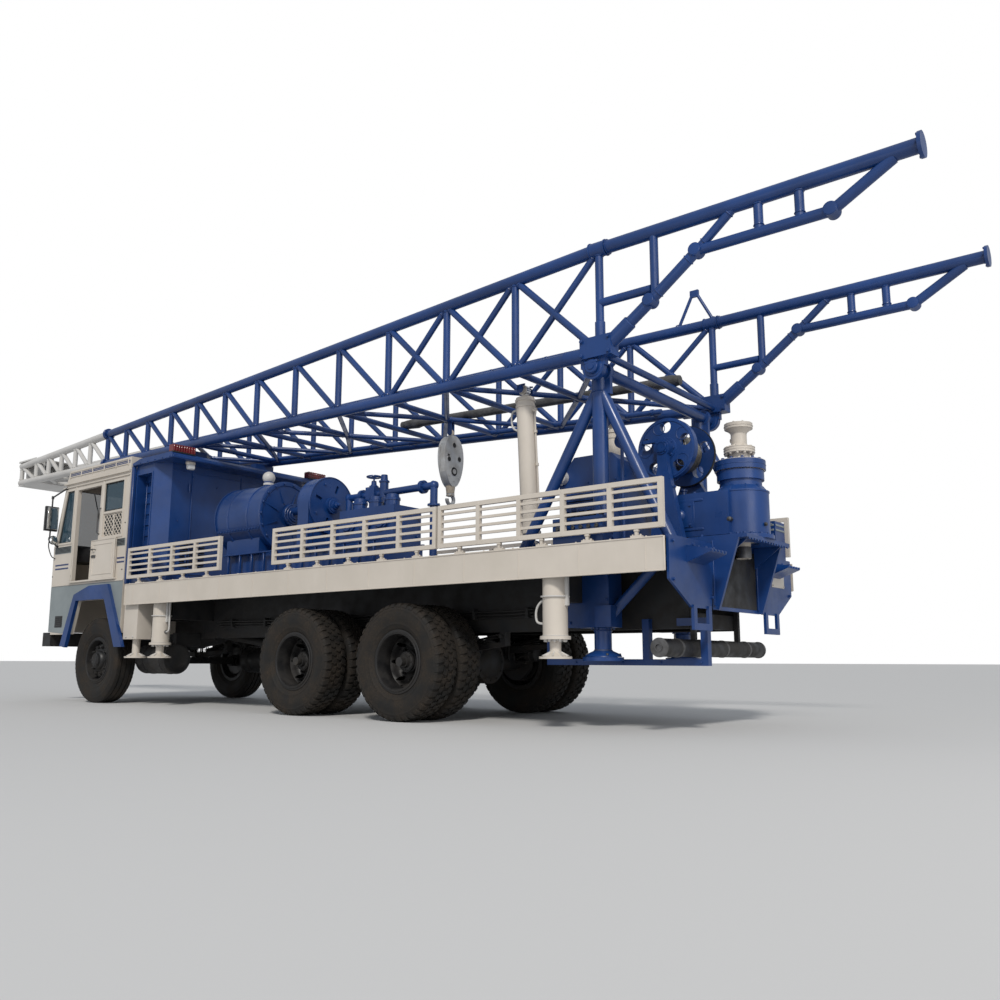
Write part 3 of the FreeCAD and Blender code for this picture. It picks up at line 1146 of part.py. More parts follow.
def mud_pump():
    """Gear case, belt guard, fluid end and discharge pipe on one skid."""
    y, z = S.pump_y, S.pump_z
    floor, skid = S.skirt_high, S.skid_top
    rear, front = S.pump_rear, S.pump_front
    forward = Vector(1, 0, 0)
    case = Part.makeCylinder(S.pump_radius, front - rear, Vector(rear, y, z), forward)
    cradle = Part.makeBox(front - rear - 200, 1.5 * S.pump_radius, z - skid,
                          Vector(rear + 100, y - 0.75 * S.pump_radius, skid))
    base = Part.makeBox(front - S.fluid_rear - 60, 2 * S.fluid_half + 160, skid - floor,
                        Vector(S.fluid_rear, y - S.fluid_half - 130, floor))
    bearing = Part.makeCylinder(130, 50, Vector(rear - 50, y - 60, z + 20), forward)
    centre = Vector(S.guard_rear, S.guard_y, S.guard_z)
    shaft = Part.makeCylinder(45, rear - S.guard_rear, centre, forward)
    guard = Part.makeCylinder(S.guard_radius, S.guard_front - S.guard_rear, centre, forward)
    hub = Part.makeCylinder(90, 40, centre - Vector(40, 0, 0), forward)
    for angle in (20, 110, 200, 290):
        slot = Part.makeBox(40, 34, 90, centre + Vector(-10, -17, 150))
        slot.rotate(centre, forward, angle)
        guard = guard.cut(slot)
    stand = Part.makeBox(S.guard_front - S.guard_rear - 60, 1.4 * S.guard_radius, S.guard_z - skid,
                         Vector(S.guard_rear + 30, S.guard_y - 0.7 * S.guard_radius, skid))
    long = S.fluid_front - S.fluid_rear
    fluid = Part.makeBox(long, 2 * S.fluid_half, S.fluid_top - skid,
                         Vector(S.fluid_rear, S.fluid_y - S.fluid_half, skid))
    link = Part.makeBox(S.guard_rear - S.fluid_front + 30, S.fluid_half, 200,
                        Vector(S.fluid_front, S.fluid_y - S.fluid_half / 2, skid + 60))
    pots = [Part.makeCylinder(75, 70, Vector(S.fluid_rear + long * share, S.fluid_y + 60, S.fluid_top),
                              Vector(0, 0, 1))
            for share in (0.2, 0.5, 0.8)]
    py, pz, pr = S.pipe_y, S.pipe_z, S.pipe_radius
    bend_x = S.fluid_front + 130
    end_x = S.fluid_rear - 310
    low = S.fluid_top - 200
    run = [(S.fluid_front - 10, py, low), (bend_x, py, low), (bend_x, py, pz), (end_x, py, pz),
           (end_x, py, floor)]
    pipe = [tube(a, b, pr) for a, b in zip(run, run[1:])]
    pipe += [Part.makeSphere(pr + 6, Vector(*point)) for point in run[2:4]]
    riser_x = S.fluid_rear + long / 2
    pipe += [tube((riser_x, py, S.fluid_top), (riser_x, py, pz + 115), 46),
             Part.makeBox(130, 120, 150, Vector(riser_x + 90, py - 60, pz - 75))]
    dome_x = (rear + front) / 2 - 40
    top = z + S.pump_radius
    breather = [tube((dome_x, y, top - 20), (dome_x, y, top + 90), 55),
                Part.makeSphere(72, Vector(dome_x, y, top + 110))]
    parts = [case, cradle, base, bearing, shaft, guard, hub, stand, fluid, link] + pots + pipe + breather
    shaped("mud_pump", welded(parts))


# ---------------------------------------------------------------- travelling block
def travelling_block():
    """Two oval cheeks and their sheaves on a hanging pin, with the hook below."""
    x, y, z = S.block_x, S.block_y, S.block_pin_z
    wide, high, thick = S.block_half_width, S.block_height, S.block_thick
    top = z - 32
    points = []
    for i in range(24):
        angle = 2 * math.pi * i / 24
        share = math.cos(angle)
        narrow = 1 - 0.28 * (1 - share) / 2
        points.append(Vector(x - thick / 2, y + wide * narrow * math.sin(angle),
                             top - high / 2 + high / 2 * share))
    curve = Part.BSplineCurve()
    curve.interpolate(points, PeriodicFlag=True)
    oval = Part.Face(Part.Wire(curve.toShape())).extrude(Vector(thick, 0, 0))
    middle = Part.makeBox(thick - 40, 400, high - 160,
                          Vector(x - thick / 2 + 20, y + wide * 0.72, top - high + 60))
    other = Part.makeBox(thick - 40, 400, high - 160,
                         Vector(x - thick / 2 + 20, y - wide * 0.72 - 400, top - high + 60))
    oval = oval.cut(middle).cut(other)
    for dy, dz in ((0, -90), (-85, -230), (85, -230), (0, -380)):
        hole = Part.makeCylinder(20, thick + 20, Vector(x - thick / 2 - 10, y + dy, top + dz),
                                 Vector(1, 0, 0))
        oval = oval.cut(hole)
    ear_plate = Part.makeBox(60, 20, 80, Vector(x - 30, y - 10, z - 80))
    ear_round = Part.makeCylinder(30, 20, Vector(x, y - 10, z), Vector(0, 1, 0))
    shank = tube((x, y, top - high - 90), (x, y, top - high + 40), 42)
    hook = Part.makeTorus(52, 20, Vector(x, y, top - high - 130), Vector(1, 0, 0))
    gap = Part.makeBox(60, 60, 60, Vector(x - 30, y + 20, top - high - 125))
    block = welded([oval, ear_plate, ear_round, shank, hook.cut(gap)])
    bore = Part.makeCylinder(S.block_pin_radius + S.pin_gap, 60, Vector(x, y - 30, z), Vector(0, 1, 0))
    shaped("travelling_block", block.cut(bore))


# ---------------------------------------------------------------- jacks
JACKS = (("rear", "rear_jack_x"), ("second", "second_jack_x"), ("front", "front_jack_x"))


def jack_tubes():
    side = JACK_SIDE
    left = []
    for name, x in JACKS[:2]:
        tube_body = cylinder(name + "_jack_tube", "Z", (x, side, "jack_low"), "jack_tube_radius",
                             BEAM_LOW + " - jack_low")
        collar = cylinder(name + "_jack_collar", "Z", (x, side, "jack_low"), "jack_tube_radius + 22", "26")
        body = fuse(name + "_jack_body", [tube_body, collar])
        hole = cylinder(name + "_jack_bore", "Z", (x, side, "jack_low - 10"), "jack_rod_radius + jack_gap",
                        BEAM_LOW + " - jack_low - 30")
        left.append(cut(name + "_jack_shell", body, [hole]))
    x = JACKS[2][1]
    column = box("front_jack_box", (x + " - 150", x + " + 150"),
                 (side + " - jack_box_half", side + " + jack_box_half"),
                 ("jack_low + 70", BEAM_LOW))
    hole = cylinder("front_jack_bore", "Z", (x, side, "jack_low"), "jack_rod_radius + jack_gap",
                    BEAM_LOW + " - jack_low - 30")
    left.append(cut("front_jack_shell", column, [hole]))
    node("jack_tubes", both_sides("jack_tubes", group("jack_tubes_left", left)))


def jack_rods():
    side = JACK_SIDE
    for name, x in JACKS:
        foot_z = "jack_foot_z"
        rod = cylinder(name + "_rod", "Z", (x, side, foot_z), "jack_rod_radius",
                       BEAM_LOW + " - jack_foot_z - 60")
        foot = cylinder(name + "_foot", "Z", (x, side, foot_z), "jack_foot_radius", "jack_foot_thick")
        dome = cone(name + "_dome", "Z", (x, side, foot_z + " + jack_foot_thick"), "jack_foot_radius - 30",
                    "jack_rod_radius", "34")
        form = fuse(name + "_rod_form", [rod, foot, dome])
        node("%s_left_jack" % name, group("%s_left_rod" % name, [form]))
        node("%s_right_jack" % name, mirrored("%s_right_rod" % name, form))


# ---------------------------------------------------------------- rear end
def end_plates():
    """The left end plate with its tow hoop, tool bracket and the cheek that carries the head's table."""
    rear = "deck_rear - end_plate_thick"
    plate = [("end_plate_outer", "skirt_high + 20"), ("end_plate_outer", "end_plate_corner"),
             ("end_plate_tip", "end_plate_low"), ("end_plate_inner", "end_plate_low"),
             ("cheek_outer - 10", "table_low"), ("cheek_outer - 10", "skirt_high + 20")]
    end = prism("end_plate", "YZ", plate, rear, "deck_rear")
    front = "deck_rear + table_reach"
    cheek = prism("cheek", "XZ", [("deck_rear", "end_plate_low"), ("cheek_low_x", "end_plate_low"),
                                  ("cheek_high_x", "table_low"), (front, "table_low"), (front, "skirt_high"),
                                  ("deck_rear", "skirt_high")], "cheek_outer - cheek_thick", "cheek_outer")
    bracket = prism("tool_bracket", "XZ", [(rear, "bracket_high"), ("bracket_rear", "bracket_high - 40"),
                                           ("bracket_rear", "bracket_high - 60"), (rear, "bracket_low")],
                    "bracket_inner", "bracket_outer")
    hoop_x = (rear + " - hoop_thick / 2", rear + " + hoop_thick / 2")
    up = ("hoop_low", "end_plate_low + 20")
    legs = [box("hoop_leg_inner", hoop_x, ("hoop_inner", "hoop_inner + hoop_bar"), up),
            box("hoop_leg_outer", hoop_x, ("hoop_outer - hoop_bar", "hoop_outer"), up),
            box("hoop_foot", hoop_x, ("hoop_inner", "hoop_outer"), ("hoop_low", "hoop_low + hoop_bar"))]
    return [end, cheek, bracket] + legs


def inner_legs():
    """The left inner column under the deck with its fixed leg, shoe and stay."""
    column = box("inner_column", ("column_rear", "column_front"), ("column_inner", "column_outer"),
                 ("column_low", BEAM_LOW))
    pack = box("column_pack", ("column_rear - 40", "column_rear + 110"),
               ("column_outer - 40", "column_outer + 40"),
               ("column_low", "column_low + column_box"))
    leg = cylinder("inner_leg", "Z", ("leg_x", "leg_y", "shoe_low"), "leg_radius",
                   "column_low + 20 - shoe_low")
    shoe = cylinder("inner_shoe", "Z", ("leg_x", "leg_y", "shoe_low"), "shoe_radius", "shoe_thick")
    dome = cone("inner_dome", "Z", ("leg_x", "leg_y", "shoe_low + shoe_thick"), "shoe_radius - 50",
                "leg_radius", "shoe_dome")
    plate_low = S.skirt_high - S.deck_plate
    rise = plate_low + 2 * S.stay_radius - S.column_low
    x = S.column_rear + S.stay_radius
    stay = doc.addObject("Part::Feature", "inner_stay")
    above = Part.makeBox(4 * rise, 400, 400, Vector(x - 4 * rise, S.leg_y - 200, plate_low))
    stay.Shape = tube((x, S.leg_y, S.column_low + 100), (x - rise, S.leg_y, S.column_low + 100 + 0.92 * rise),
                      S.stay_radius).cut(above)
    return [column, pack, leg, shoe, dome, stay]


def guard():
    """The low rail and its posts on the outside of the left chassis rail."""
    y = ("rail_side", "rail_side + guard_bar")
    top = "rail_low + guard_lap"
    pieces = [box("guard_rail", ("side_guard_rear", "side_guard_front + guard_bar"), y,
                  ("side_guard_low", "side_guard_low + 50")),
              box("guard_brace", ("side_guard_rear", "rail_rear + guard_lap"), y,
                  (top + " - guard_bar", top))]
    for x in ("side_guard_rear", "side_guard_middle", "side_guard_front"):
        pieces.append(box(x + "_post", (x, x + " + guard_bar"), y, ("side_guard_low", top)))
    return pieces


def rear_body():
    """End plates, cheeks, head table, inner legs and the guard below."""
    left = fuse("rear_left", end_plates() + inner_legs())
    inner = "cheek_outer - cheek_thick"
    bib = box("bib", ("deck_rear - bib_thick", "deck_rear"), ("-(%s)" % inner, inner),
              ("end_plate_low", "table_low"))
    table = box("head_table", ("table_rear", "deck_rear + table_reach"), ("-cheek_outer", "cheek_outer"),
                ("table_low", "table_low + table_thick"))
    hole = cylinder("table_hole", "Z", ("head_x", "0", "table_low - 10"), "head_radius - 45 + pin_gap", "100")
    arm = box("arm_notch", ("rear_jack_x - jack_arm_half", "rear_jack_x + jack_arm_half"), ("-1000", "1000"),
              ("jack_arm_low", "skirt_high"))
    whole = fuse("rear_structure", [left, mirrored("rear_right", left), bib, table])
    node("rear_body", group("rear_body", [cut("rear_frame", whole, [hole, arm]), fuse("guard", guard())]))


# ---------------------------------------------------------------- controls and lamps
LEVERS = 6


def controls():
    """Valve bank, gauge stand and driller's seat."""
    bank = box("valve_bank", ("bank_rear", "bank_front"), ("bank_inner", "bank_outer"),
               ("skirt_high", "bank_top"))
    levers = [cylinder("lever_%d" % i, "Z", ("bank_rear + 50 + lever_step * %d" % i,
                                             "(bank_inner + bank_outer) / 2",
                                             "bank_top"), "9", "lever_height") for i in range(LEVERS)]
    stand = cylinder("gauge_stand", "Z", ("stand_x", "stand_y", "skirt_high"), "14",
                     "gauge_z - 10 - skirt_high")
    gauge = cylinder("gauge", "Y", ("stand_x", "stand_y - 20", "gauge_z"), "gauge_radius", "40")
    seat = prism("seat_box", "XZ", [("box_seat_rear", "skirt_high"), ("box_seat_front", "skirt_high"),
                                    ("box_seat_front", "box_seat_low"),
                                    ("box_seat_rear + 80", "box_seat_high"),
                                    ("box_seat_rear", "box_seat_high")], "-box_seat_outer", "-box_seat_inner")
    node("controls", group("controls", [fuse("valve_set", [bank] + levers),
                                        fuse("gauge_set", [stand, gauge]), seat]))


def lamps():
    """The work lamp on the hood's near side."""
    spot = ("hood_lamp_x", "hood_near", "hood_lamp_z")
    node("work_lamps", cylinder("hood_lamp", "Y", spot, "lamp_radius", "lamp_depth"))


# ---------------------------------------------------------------- build and write
chassis_frame()
rear_axles()
front_axle()
knuckle("left_knuckle", 1)
knuckle("right_knuckle", -1)
leaf_springs()
engine_block()
driveline()
tyres()
rims()
deck_frame()
deck()
railings()
cab_shell()
half_door("left_half_door", 1)
half_door("right_half_door", -1)
cab_glass()
cab_inside()
cab_outside()
cabinet()
tanks()
mast()
raising_frame()
lift_cylinders()
rotary_head()
rotary_spindle()
drawworks()
mud_pump()
travelling_block()
jack_tubes()
jack_rods()
rear_body()
controls()
lamps()

doc.recompute()
for item in doc.Objects:
    state = item.State
    if "Invalid" in state or "Error" in state:
        raise SystemExit("%s failed: %s" % (item.Label, state))
os.makedirs("parts", exist_ok=True)
for item in nodes:
    if item.Shape.isNull() or not item.Shape.isValid():
        raise SystemExit("%s has no valid shape" % item.Label)
for item in nodes:
    item.Shape.exportStep("parts/%s.step" % item.Label)
    print("%-24s %3d solids %9.4f m3" % (item.Label, len(item.Shape.Solids), item.Shape.Volume / 1e9))
print(len(nodes), "nodes")
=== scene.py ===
import bpy
import json
import math
import random
from itertools import product
from mathutils import Matrix, Vector


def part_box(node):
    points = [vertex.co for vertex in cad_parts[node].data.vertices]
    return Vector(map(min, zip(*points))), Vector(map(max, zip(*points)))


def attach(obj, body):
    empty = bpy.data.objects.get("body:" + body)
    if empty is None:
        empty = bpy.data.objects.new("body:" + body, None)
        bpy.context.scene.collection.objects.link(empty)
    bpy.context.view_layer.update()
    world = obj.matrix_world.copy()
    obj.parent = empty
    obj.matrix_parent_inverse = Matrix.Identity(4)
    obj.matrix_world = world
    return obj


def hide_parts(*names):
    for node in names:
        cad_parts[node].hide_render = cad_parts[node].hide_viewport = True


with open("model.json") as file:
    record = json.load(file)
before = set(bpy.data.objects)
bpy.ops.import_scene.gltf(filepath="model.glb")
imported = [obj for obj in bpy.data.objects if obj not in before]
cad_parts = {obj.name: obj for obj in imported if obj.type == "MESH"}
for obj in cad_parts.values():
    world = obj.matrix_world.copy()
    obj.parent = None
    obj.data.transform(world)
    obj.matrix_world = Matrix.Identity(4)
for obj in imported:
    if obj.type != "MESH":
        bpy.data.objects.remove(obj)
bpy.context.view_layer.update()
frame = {"nodes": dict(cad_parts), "record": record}
record = frame["record"]

# The rig is laid out in the axle frame: X forward from the rearmost axle, Y left, Z up from the
# ground. SHIFT moves it to the record's frame, whose origin is midway along the rig.
RIM_RADIUS = 0.284
SHIFT = -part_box("left_rear_rims")[0][0] - RIM_RADIUS
X, Y, Z = Vector((1, 0, 0)), Vector((0, 1, 0)), Vector((0, 0, 1))
SIDES = (1, -1)
BACK_FIRST = (-1, 1)


def at(x, y, z):
    """A point of the axle frame, in the record's frame."""
    return Vector((x - SHIFT, y, z))


def put_in_scene(name, data):
    item = bpy.data.objects.new(name, data)
    bpy.context.collection.objects.link(item)
    return item


# ------------------------------------------------------------------ nodes
def put(links, socket, value):
    """Gives a socket a number, a colour or another socket's value."""
    if isinstance(value, (int, float)):
        socket.default_value = value
    elif isinstance(value, tuple):
        socket.default_value = (*value, 1) if socket.type == "RGBA" else value
    else:
        links.new(value, socket)


class Nodes:
    """Short words for building a node tree."""

    def __init__(self, owner):
        owner.use_nodes = True
        self.nodes = owner.node_tree.nodes
        self.links = owner.node_tree.links

    def node(self, kind, *inputs, **settings):
        item = self.nodes.new("ShaderNode" + kind)
        for key, value in settings.items():
            setattr(item, key, value)
        for socket, value in zip(item.inputs, inputs):
            put(self.links, socket, value)
        return item

    def feed(self, item, **values):
        """Sets inputs by name; an underscore stands for a space."""
        for key, value in values.items():
            put(self.links, item.inputs[key.replace("_", " ")], value)

    def math(self, operation, *values):
        return self.node("Math", *values, operation=operation).outputs[0]

    def times(self, a, b):
        return self.math("MULTIPLY", a, b)


class Tree(Nodes):
    """One material's nodes."""

    def __init__(self, name):
        self.material = bpy.data.materials.new(name)
        super().__init__(self.material)
        self.shader = self.nodes["Principled BSDF"]
        self.place = self.node("TexCoord").outputs["Object"]

    def noise(self, scale, detail=3.0, rough=0.55, stretch=None):
        item = self.node("TexNoise")
        where = self.place
        if stretch:
            mapping = self.node("Mapping")
            self.feed(mapping, Scale=stretch, Vector=where)
            where = mapping.outputs[0]
        self.feed(item, Scale=scale, Detail=detail, Roughness=rough, Vector=where)
        return item.outputs["Fac"]

    def ramp(self, value, low, high, a=0.0, b=1.0):
        item = self.node("MapRange")
        self.feed(item, From_Min=low, From_Max=high, To_Min=a, To_Max=b, Value=value)
        return item.outputs["Result"]

    def patch(self, scale, detail, low, high, a=0.0, b=1.0):
        """Noise, spread between two limits."""
        return self.ramp(self.noise(scale, detail), low, high, a, b)

    def mix(self, share, a, b):
        item = self.node("Mix", data_type="RGBA")
        for index, value in ((0, share), (6, a), (7, b)):
            put(self.links, item.inputs[index], value)
        return item.outputs[2]

    def geometry_z(self, output):
        return self.node("SeparateXYZ", self.node("NewGeometry").outputs[output]).outputs["Z"]

    def bump(self, value, strength, distance):
        item = self.node("Bump")
        self.feed(item, Strength=strength, Distance=distance, Height=value)
        normal = self.shader.inputs["Normal"]
        if normal.is_linked:
            self.feed(item, Normal=normal.links[0].from_socket)
        self.feed(self.shader, Normal=item.outputs[0])

    def finish(self, **values):
        self.feed(self.shader, **values)
        return self.material


# ------------------------------------------------------------------ camera, lights, floor
def make_camera():
    """The photo's camera, as fitted to the photo."""
    yaw, pitch, roll = (math.radians(angle) for angle in (51.419, 9.540, 0.202))
    look = Vector((math.cos(yaw) * math.cos(pitch), -math.sin(yaw) * math.cos(pitch), math.sin(pitch)))
    right = look.cross(Z).normalized()
    turned = right * math.cos(roll) + right.cross(look) * math.sin(roll)
    data = bpy.data.cameras.new("camera")
    data.lens = 32.707
    data.sensor_width = 36
    data.shift_x = 0.00703
    data.shift_y = 0.00749
    data.clip_end = 200
    camera = put_in_scene("camera", data)
    basis = Matrix((turned, turned.cross(look), -look)).transposed().to_4x4()
    camera.matrix_world = Matrix.Translation(at(-5.770, 7.045, 0.538)) @ basis
    bpy.context.scene.camera = camera


def light(name, kind, way, power, colour=(1, 1, 1), **settings):
    data = bpy.data.lights.new(name, kind)
    data.energy = power
    data.color = colour
    for key, value in settings.items():
        setattr(data, key, value)
    lamp = put_in_scene(name, data)
    lamp.rotation_euler = way.to_track_quat("-Z", "Y").to_euler()
    return lamp


def area_light(name, place, target, size, power, colour=(1, 1, 1)):
    light(name, "AREA", target - place, power, colour, shape="DISK", size=size).location = place


SKY_SHARE_IN_REFLECTIONS = 0.20
FLOOR_DROP = 0.002
FLOOR_REACH = 400


def make_studio():
    """A white backdrop for the camera, softer light on the rig, a low sun and a grey floor."""
    scene = bpy.context.scene
    scene.view_settings.view_transform = "Standard"
    scene.world = bpy.data.worlds.new("studio")
    t = Nodes(scene.world)
    t.nodes.clear()
    soft = t.node("Background", (0.86, 0.92, 1.0), 0.44)
    white = t.node("Background", (1, 1, 1), 1.0)
    path = t.node("LightPath").outputs
    seen = t.math("MAXIMUM", path["Is Camera Ray"], path["Is Transmission Ray"])
    share = t.math("MAXIMUM", seen, t.times(path["Is Glossy Ray"], SKY_SHARE_IN_REFLECTIONS))
    t.node("OutputWorld", t.node("MixShader", share, soft.outputs[0], white.outputs[0]).outputs[0])
    light("sun", "SUN", Vector((0.42, -0.62, -0.66)), 2.0, (1.0, 0.96, 0.9), angle=math.radians(9))
    area_light("rear_fill", at(-11, 4, 4.5), at(-1, 0, 1.6), 6, 200, (1, 0.98, 0.95))
    area_light("low_fill", at(-2, 10, 1.6), at(1.5, 0, 0.9), 6, 45)
    mesh = bpy.data.meshes.new("floor")
    corners = [(x * FLOOR_REACH, y * FLOOR_REACH, -FLOOR_DROP)
               for x, y in ((-1, -1), (1, -1), (1, 1), (-1, 1))]
    mesh.from_pydata(corners, [], [(0, 1, 2, 3)])
    floor = Tree("floor")
    mesh.materials.append(floor.finish(Base_Color=(0.60, 0.60, 0.60), Roughness=0.9, Specular_IOR_Level=0.1))
    put_in_scene("floor", mesh)


# ------------------------------------------------------------------ materials
def paint(name, colour, dark, dust, rough=0.34, coat=0.25, dust_share=0.35, rust=(0.16, 0.09, 0.05),
          wear=0.55):
    """Brushed enamel on welded steel: broad tone changes, runs, dust on top and scattered chips."""
    t = Tree(name)
    base = t.mix(t.patch(1.7, 4, 0.35, 0.68), colour, dark)
    base = t.mix(t.ramp(t.noise(9, 3, 0.6, (1, 1, 0.22)), 0.5, 0.75, 0, 0.35), base, dark)
    settled = t.times(t.ramp(t.geometry_z("Normal"), 0.35, 1.0), t.patch(14, 5, 0.36, 0.7, 0.15, 1))
    base = t.mix(t.times(settled, dust_share), base, dust)
    chips = t.times(t.ramp(t.noise(34, 5, 0.7), 0.71, 0.74), t.patch(2.3, 3, 0.52, 0.62))
    base = t.mix(t.times(chips, wear), base, rust)
    t.bump(t.noise(160, 2), 0.05, 0.002)
    t.bump(t.noise(11, 3), 0.10, 0.004)
    return t.finish(Base_Color=base, Metallic=0.0, Coat_Weight=coat, Coat_Roughness=0.2,
                    Roughness=t.patch(6, 4, 0.3, 0.75, rough - 0.07, rough + 0.16))


def road_paint(name, colour, mud, rough, low, high, share=0.75):
    """Chassis paint under road dirt that thickens towards the ground."""
    t = Tree(name)
    patch = t.patch(7, 5, 0.38, 0.66)
    near = t.ramp(t.geometry_z("Position"), low, high, 1, 0.15)
    base = t.mix(t.times(t.times(patch, near), share), colour, mud)
    t.bump(t.noise(60, 4), 0.18, 0.003)
    return t.finish(Base_Color=base, Metallic=0.0, Roughness=t.ramp(patch, 0, 1, rough, 0.85))


def tyre_rubber(name, colour, dust, share):
    t = Tree(name)
    patch = t.patch(6, 5, 0.35, 0.7)
    base = t.mix(t.times(t.times(patch, t.patch(75, 3, 0.4, 0.65, 0.4, 1)), share), colour, dust)
    t.bump(t.noise(220, 2), 0.12, 0.001)
    return t.finish(Base_Color=base, Roughness=t.ramp(patch, 0, 1, 0.62, 0.9), Specular_IOR_Level=0.28)


def metal(name, colour, dark, rough, metallic=1.0, scratch=0.0):
    t = Tree(name)
    base = t.mix(t.patch(9, 4, 0.35, 0.7), colour, dark)
    t.bump(t.noise(140, 3), 0.08 + scratch, 0.001)
    return t.finish(Base_Color=base, Metallic=metallic,
                    Roughness=t.patch(20, 4, 0.3, 0.7, rough, rough + 0.2))


def plain(name, colour, rough, grain=150, strength=0.06, **more):
    """Rubber, plastic or cloth with a fine grain and a soft change of tone."""
    t = Tree(name)
    base = t.mix(t.patch(5, 4, 0.35, 0.7), colour, tuple(0.72 * value for value in colour))
    t.bump(t.noise(grain, 3), strength, 0.001)
    return t.finish(Base_Color=base, Roughness=t.patch(12, 3, 0.3, 0.7, rough, min(1, rough + 0.12)), **more)


def glass(name, colour, alpha):
    t = Tree(name)
    smear = t.patch(7, 4, 0.4, 0.75)
    return t.finish(Base_Color=colour, Roughness=t.ramp(smear, 0, 1, 0.03, 0.16), Alpha=alpha,
                    Specular_IOR_Level=0.5)


def cloth(name, colour, other):
    t = Tree(name)
    weave = t.node("TexWave", wave_type="BANDS", bands_direction="DIAGONAL")
    t.feed(weave, Scale=90, Distortion=2, Vector=t.place)
    t.bump(weave.outputs["Fac"], 0.3, 0.002)
    base = t.mix(t.patch(16, 3, 0.42, 0.58), colour, other)
    return t.finish(Base_Color=base, Roughness=0.92, Sheen_Weight=0.3)


LOZENGES_PER_METRE = 28.0


def chequer_plate(name):
    """Blue deck plate with raised lozenges that lie along X and Y in turn."""
    t = Tree(name)
    place = t.node("SeparateXYZ", t.place).outputs
    u, v = (t.times(place[axis], LOZENGES_PER_METRE) for axis in "XY")
    cell = t.math("ADD", t.math("FLOOR", u), t.math("ADD", t.math("FLOOR", v), 1000.0))
    flip = t.times(t.math("MODULO", cell, 2.0), 4.0)
    spans = (t.math("ADD", flip, 1.6), t.math("SUBTRACT", 5.6, flip))
    a, b = (t.times(t.math("ABSOLUTE", t.math("SUBTRACT", t.math("FRACT", part), 0.5)), span)
            for part, span in zip((u, v), spans))
    tread = t.ramp(t.math("ADD", a, b), 0.55, 0.80, 1, 0)
    base = t.mix(t.patch(6, 5, 0.38, 0.64), (0.016, 0.070, 0.23), (0.07, 0.075, 0.085))
    base = t.mix(t.times(tread, 0.4), base, (0.15, 0.15, 0.16))
    t.bump(tread, 0.6, 0.004)
    return t.finish(Base_Color=base, Roughness=0.5)


MATS = {
    "blue": paint("rig_blue", (0.007, 0.047, 0.200), (0.004, 0.030, 0.130), (0.06, 0.09, 0.16), coat=0.14,
                  dust_share=0.12, rust=(0.035, 0.06, 0.13)),
    "cream": paint("cream", (0.62, 0.565, 0.50), (0.55, 0.50, 0.435), (0.44, 0.385, 0.31), rough=0.42,
                   coat=0.12, dust_share=0.3, rust=(0.22, 0.14, 0.08), wear=0.4),
    "white": paint("white_paint", (0.60, 0.59, 0.575), (0.52, 0.505, 0.485), (0.42, 0.385, 0.34), rough=0.4,
                   coat=0.15),
    "cab_grey": paint("cab_grey", (0.24, 0.275, 0.285), (0.19, 0.22, 0.23), (0.27, 0.25, 0.21), rough=0.36,
                      coat=0.2),
    "stripe": paint("stripe_blue", (0.020, 0.040, 0.15), (0.014, 0.03, 0.11), (0.08, 0.09, 0.14), coat=0.1),
    # The chassis tone is near black: partly the chassis's own dark paint, partly painted shade for the dark
    # space under the deck.
    "chassis": road_paint("chassis_grey", (0.012, 0.013, 0.015), (0.050, 0.040, 0.030), 0.5, 0.2, 1.3),
    "black": road_paint("black_paint", (0.011, 0.011, 0.012), (0.055, 0.046, 0.038), 0.42, 0.1, 1.1, 0.5),
    "rim": road_paint("rim_steel", (0.008, 0.008, 0.009), (0.040, 0.033, 0.027), 0.45, 0.1, 1.2, 0.55),
    "cast": metal("cast_grey", (0.16, 0.16, 0.165), (0.09, 0.09, 0.095), 0.5, 0.55),
    "tyre": tyre_rubber("tyre", (0.012, 0.0115, 0.011), (0.062, 0.045, 0.031), 0.62),
    "steel": metal("dark_steel", (0.17, 0.17, 0.175), (0.08, 0.078, 0.075), 0.42, 0.85),
    "wire": metal("wire_rope", (0.28, 0.27, 0.25), (0.13, 0.12, 0.11), 0.4, 0.9, 0.3),
    "chrome": metal("chrome", (0.80, 0.81, 0.83), (0.68, 0.69, 0.71), 0.08),
    "block": metal("block_grey", (0.60, 0.61, 0.62), (0.44, 0.43, 0.41), 0.38, 0.30),
    "beige": paint("hook_beige", (0.56, 0.47, 0.36), (0.42, 0.34, 0.25), (0.35, 0.28, 0.2),
                   rust=(0.14, 0.07, 0.03)),
    "plastic": plain("black_plastic", (0.022, 0.022, 0.024), 0.45),
    "rubber": plain("rubber", (0.018, 0.018, 0.018), 0.6),
    "lamp_red": plain("lamp_red", (0.17, 0.008, 0.010), 0.18, 40, 0.02, Coat_Weight=0.5),
    "lamp_amber": plain("lamp_amber", (0.75, 0.22, 0.01), 0.18, 40, 0.02, Coat_Weight=0.5),
    "lamp_clear": plain("lamp_clear", (0.72, 0.73, 0.74), 0.1, 40, 0.02, Coat_Weight=0.6),
    "glass": glass("glass", (0.030, 0.075, 0.11), 0.60),
    "tint": glass("tinted_glass", (0.012, 0.022, 0.030), 1.0),
    "mirror": metal("mirror_glass", (0.85, 0.87, 0.88), (0.8, 0.82, 0.83), 0.02),
    "seat": cloth("seat_cloth", (0.34, 0.03, 0.035), (0.16, 0.015, 0.02)),
    "trim": plain("cab_lining", (0.55, 0.52, 0.46), 0.6),
    "chequer": chequer_plate("chequer_plate"),
}

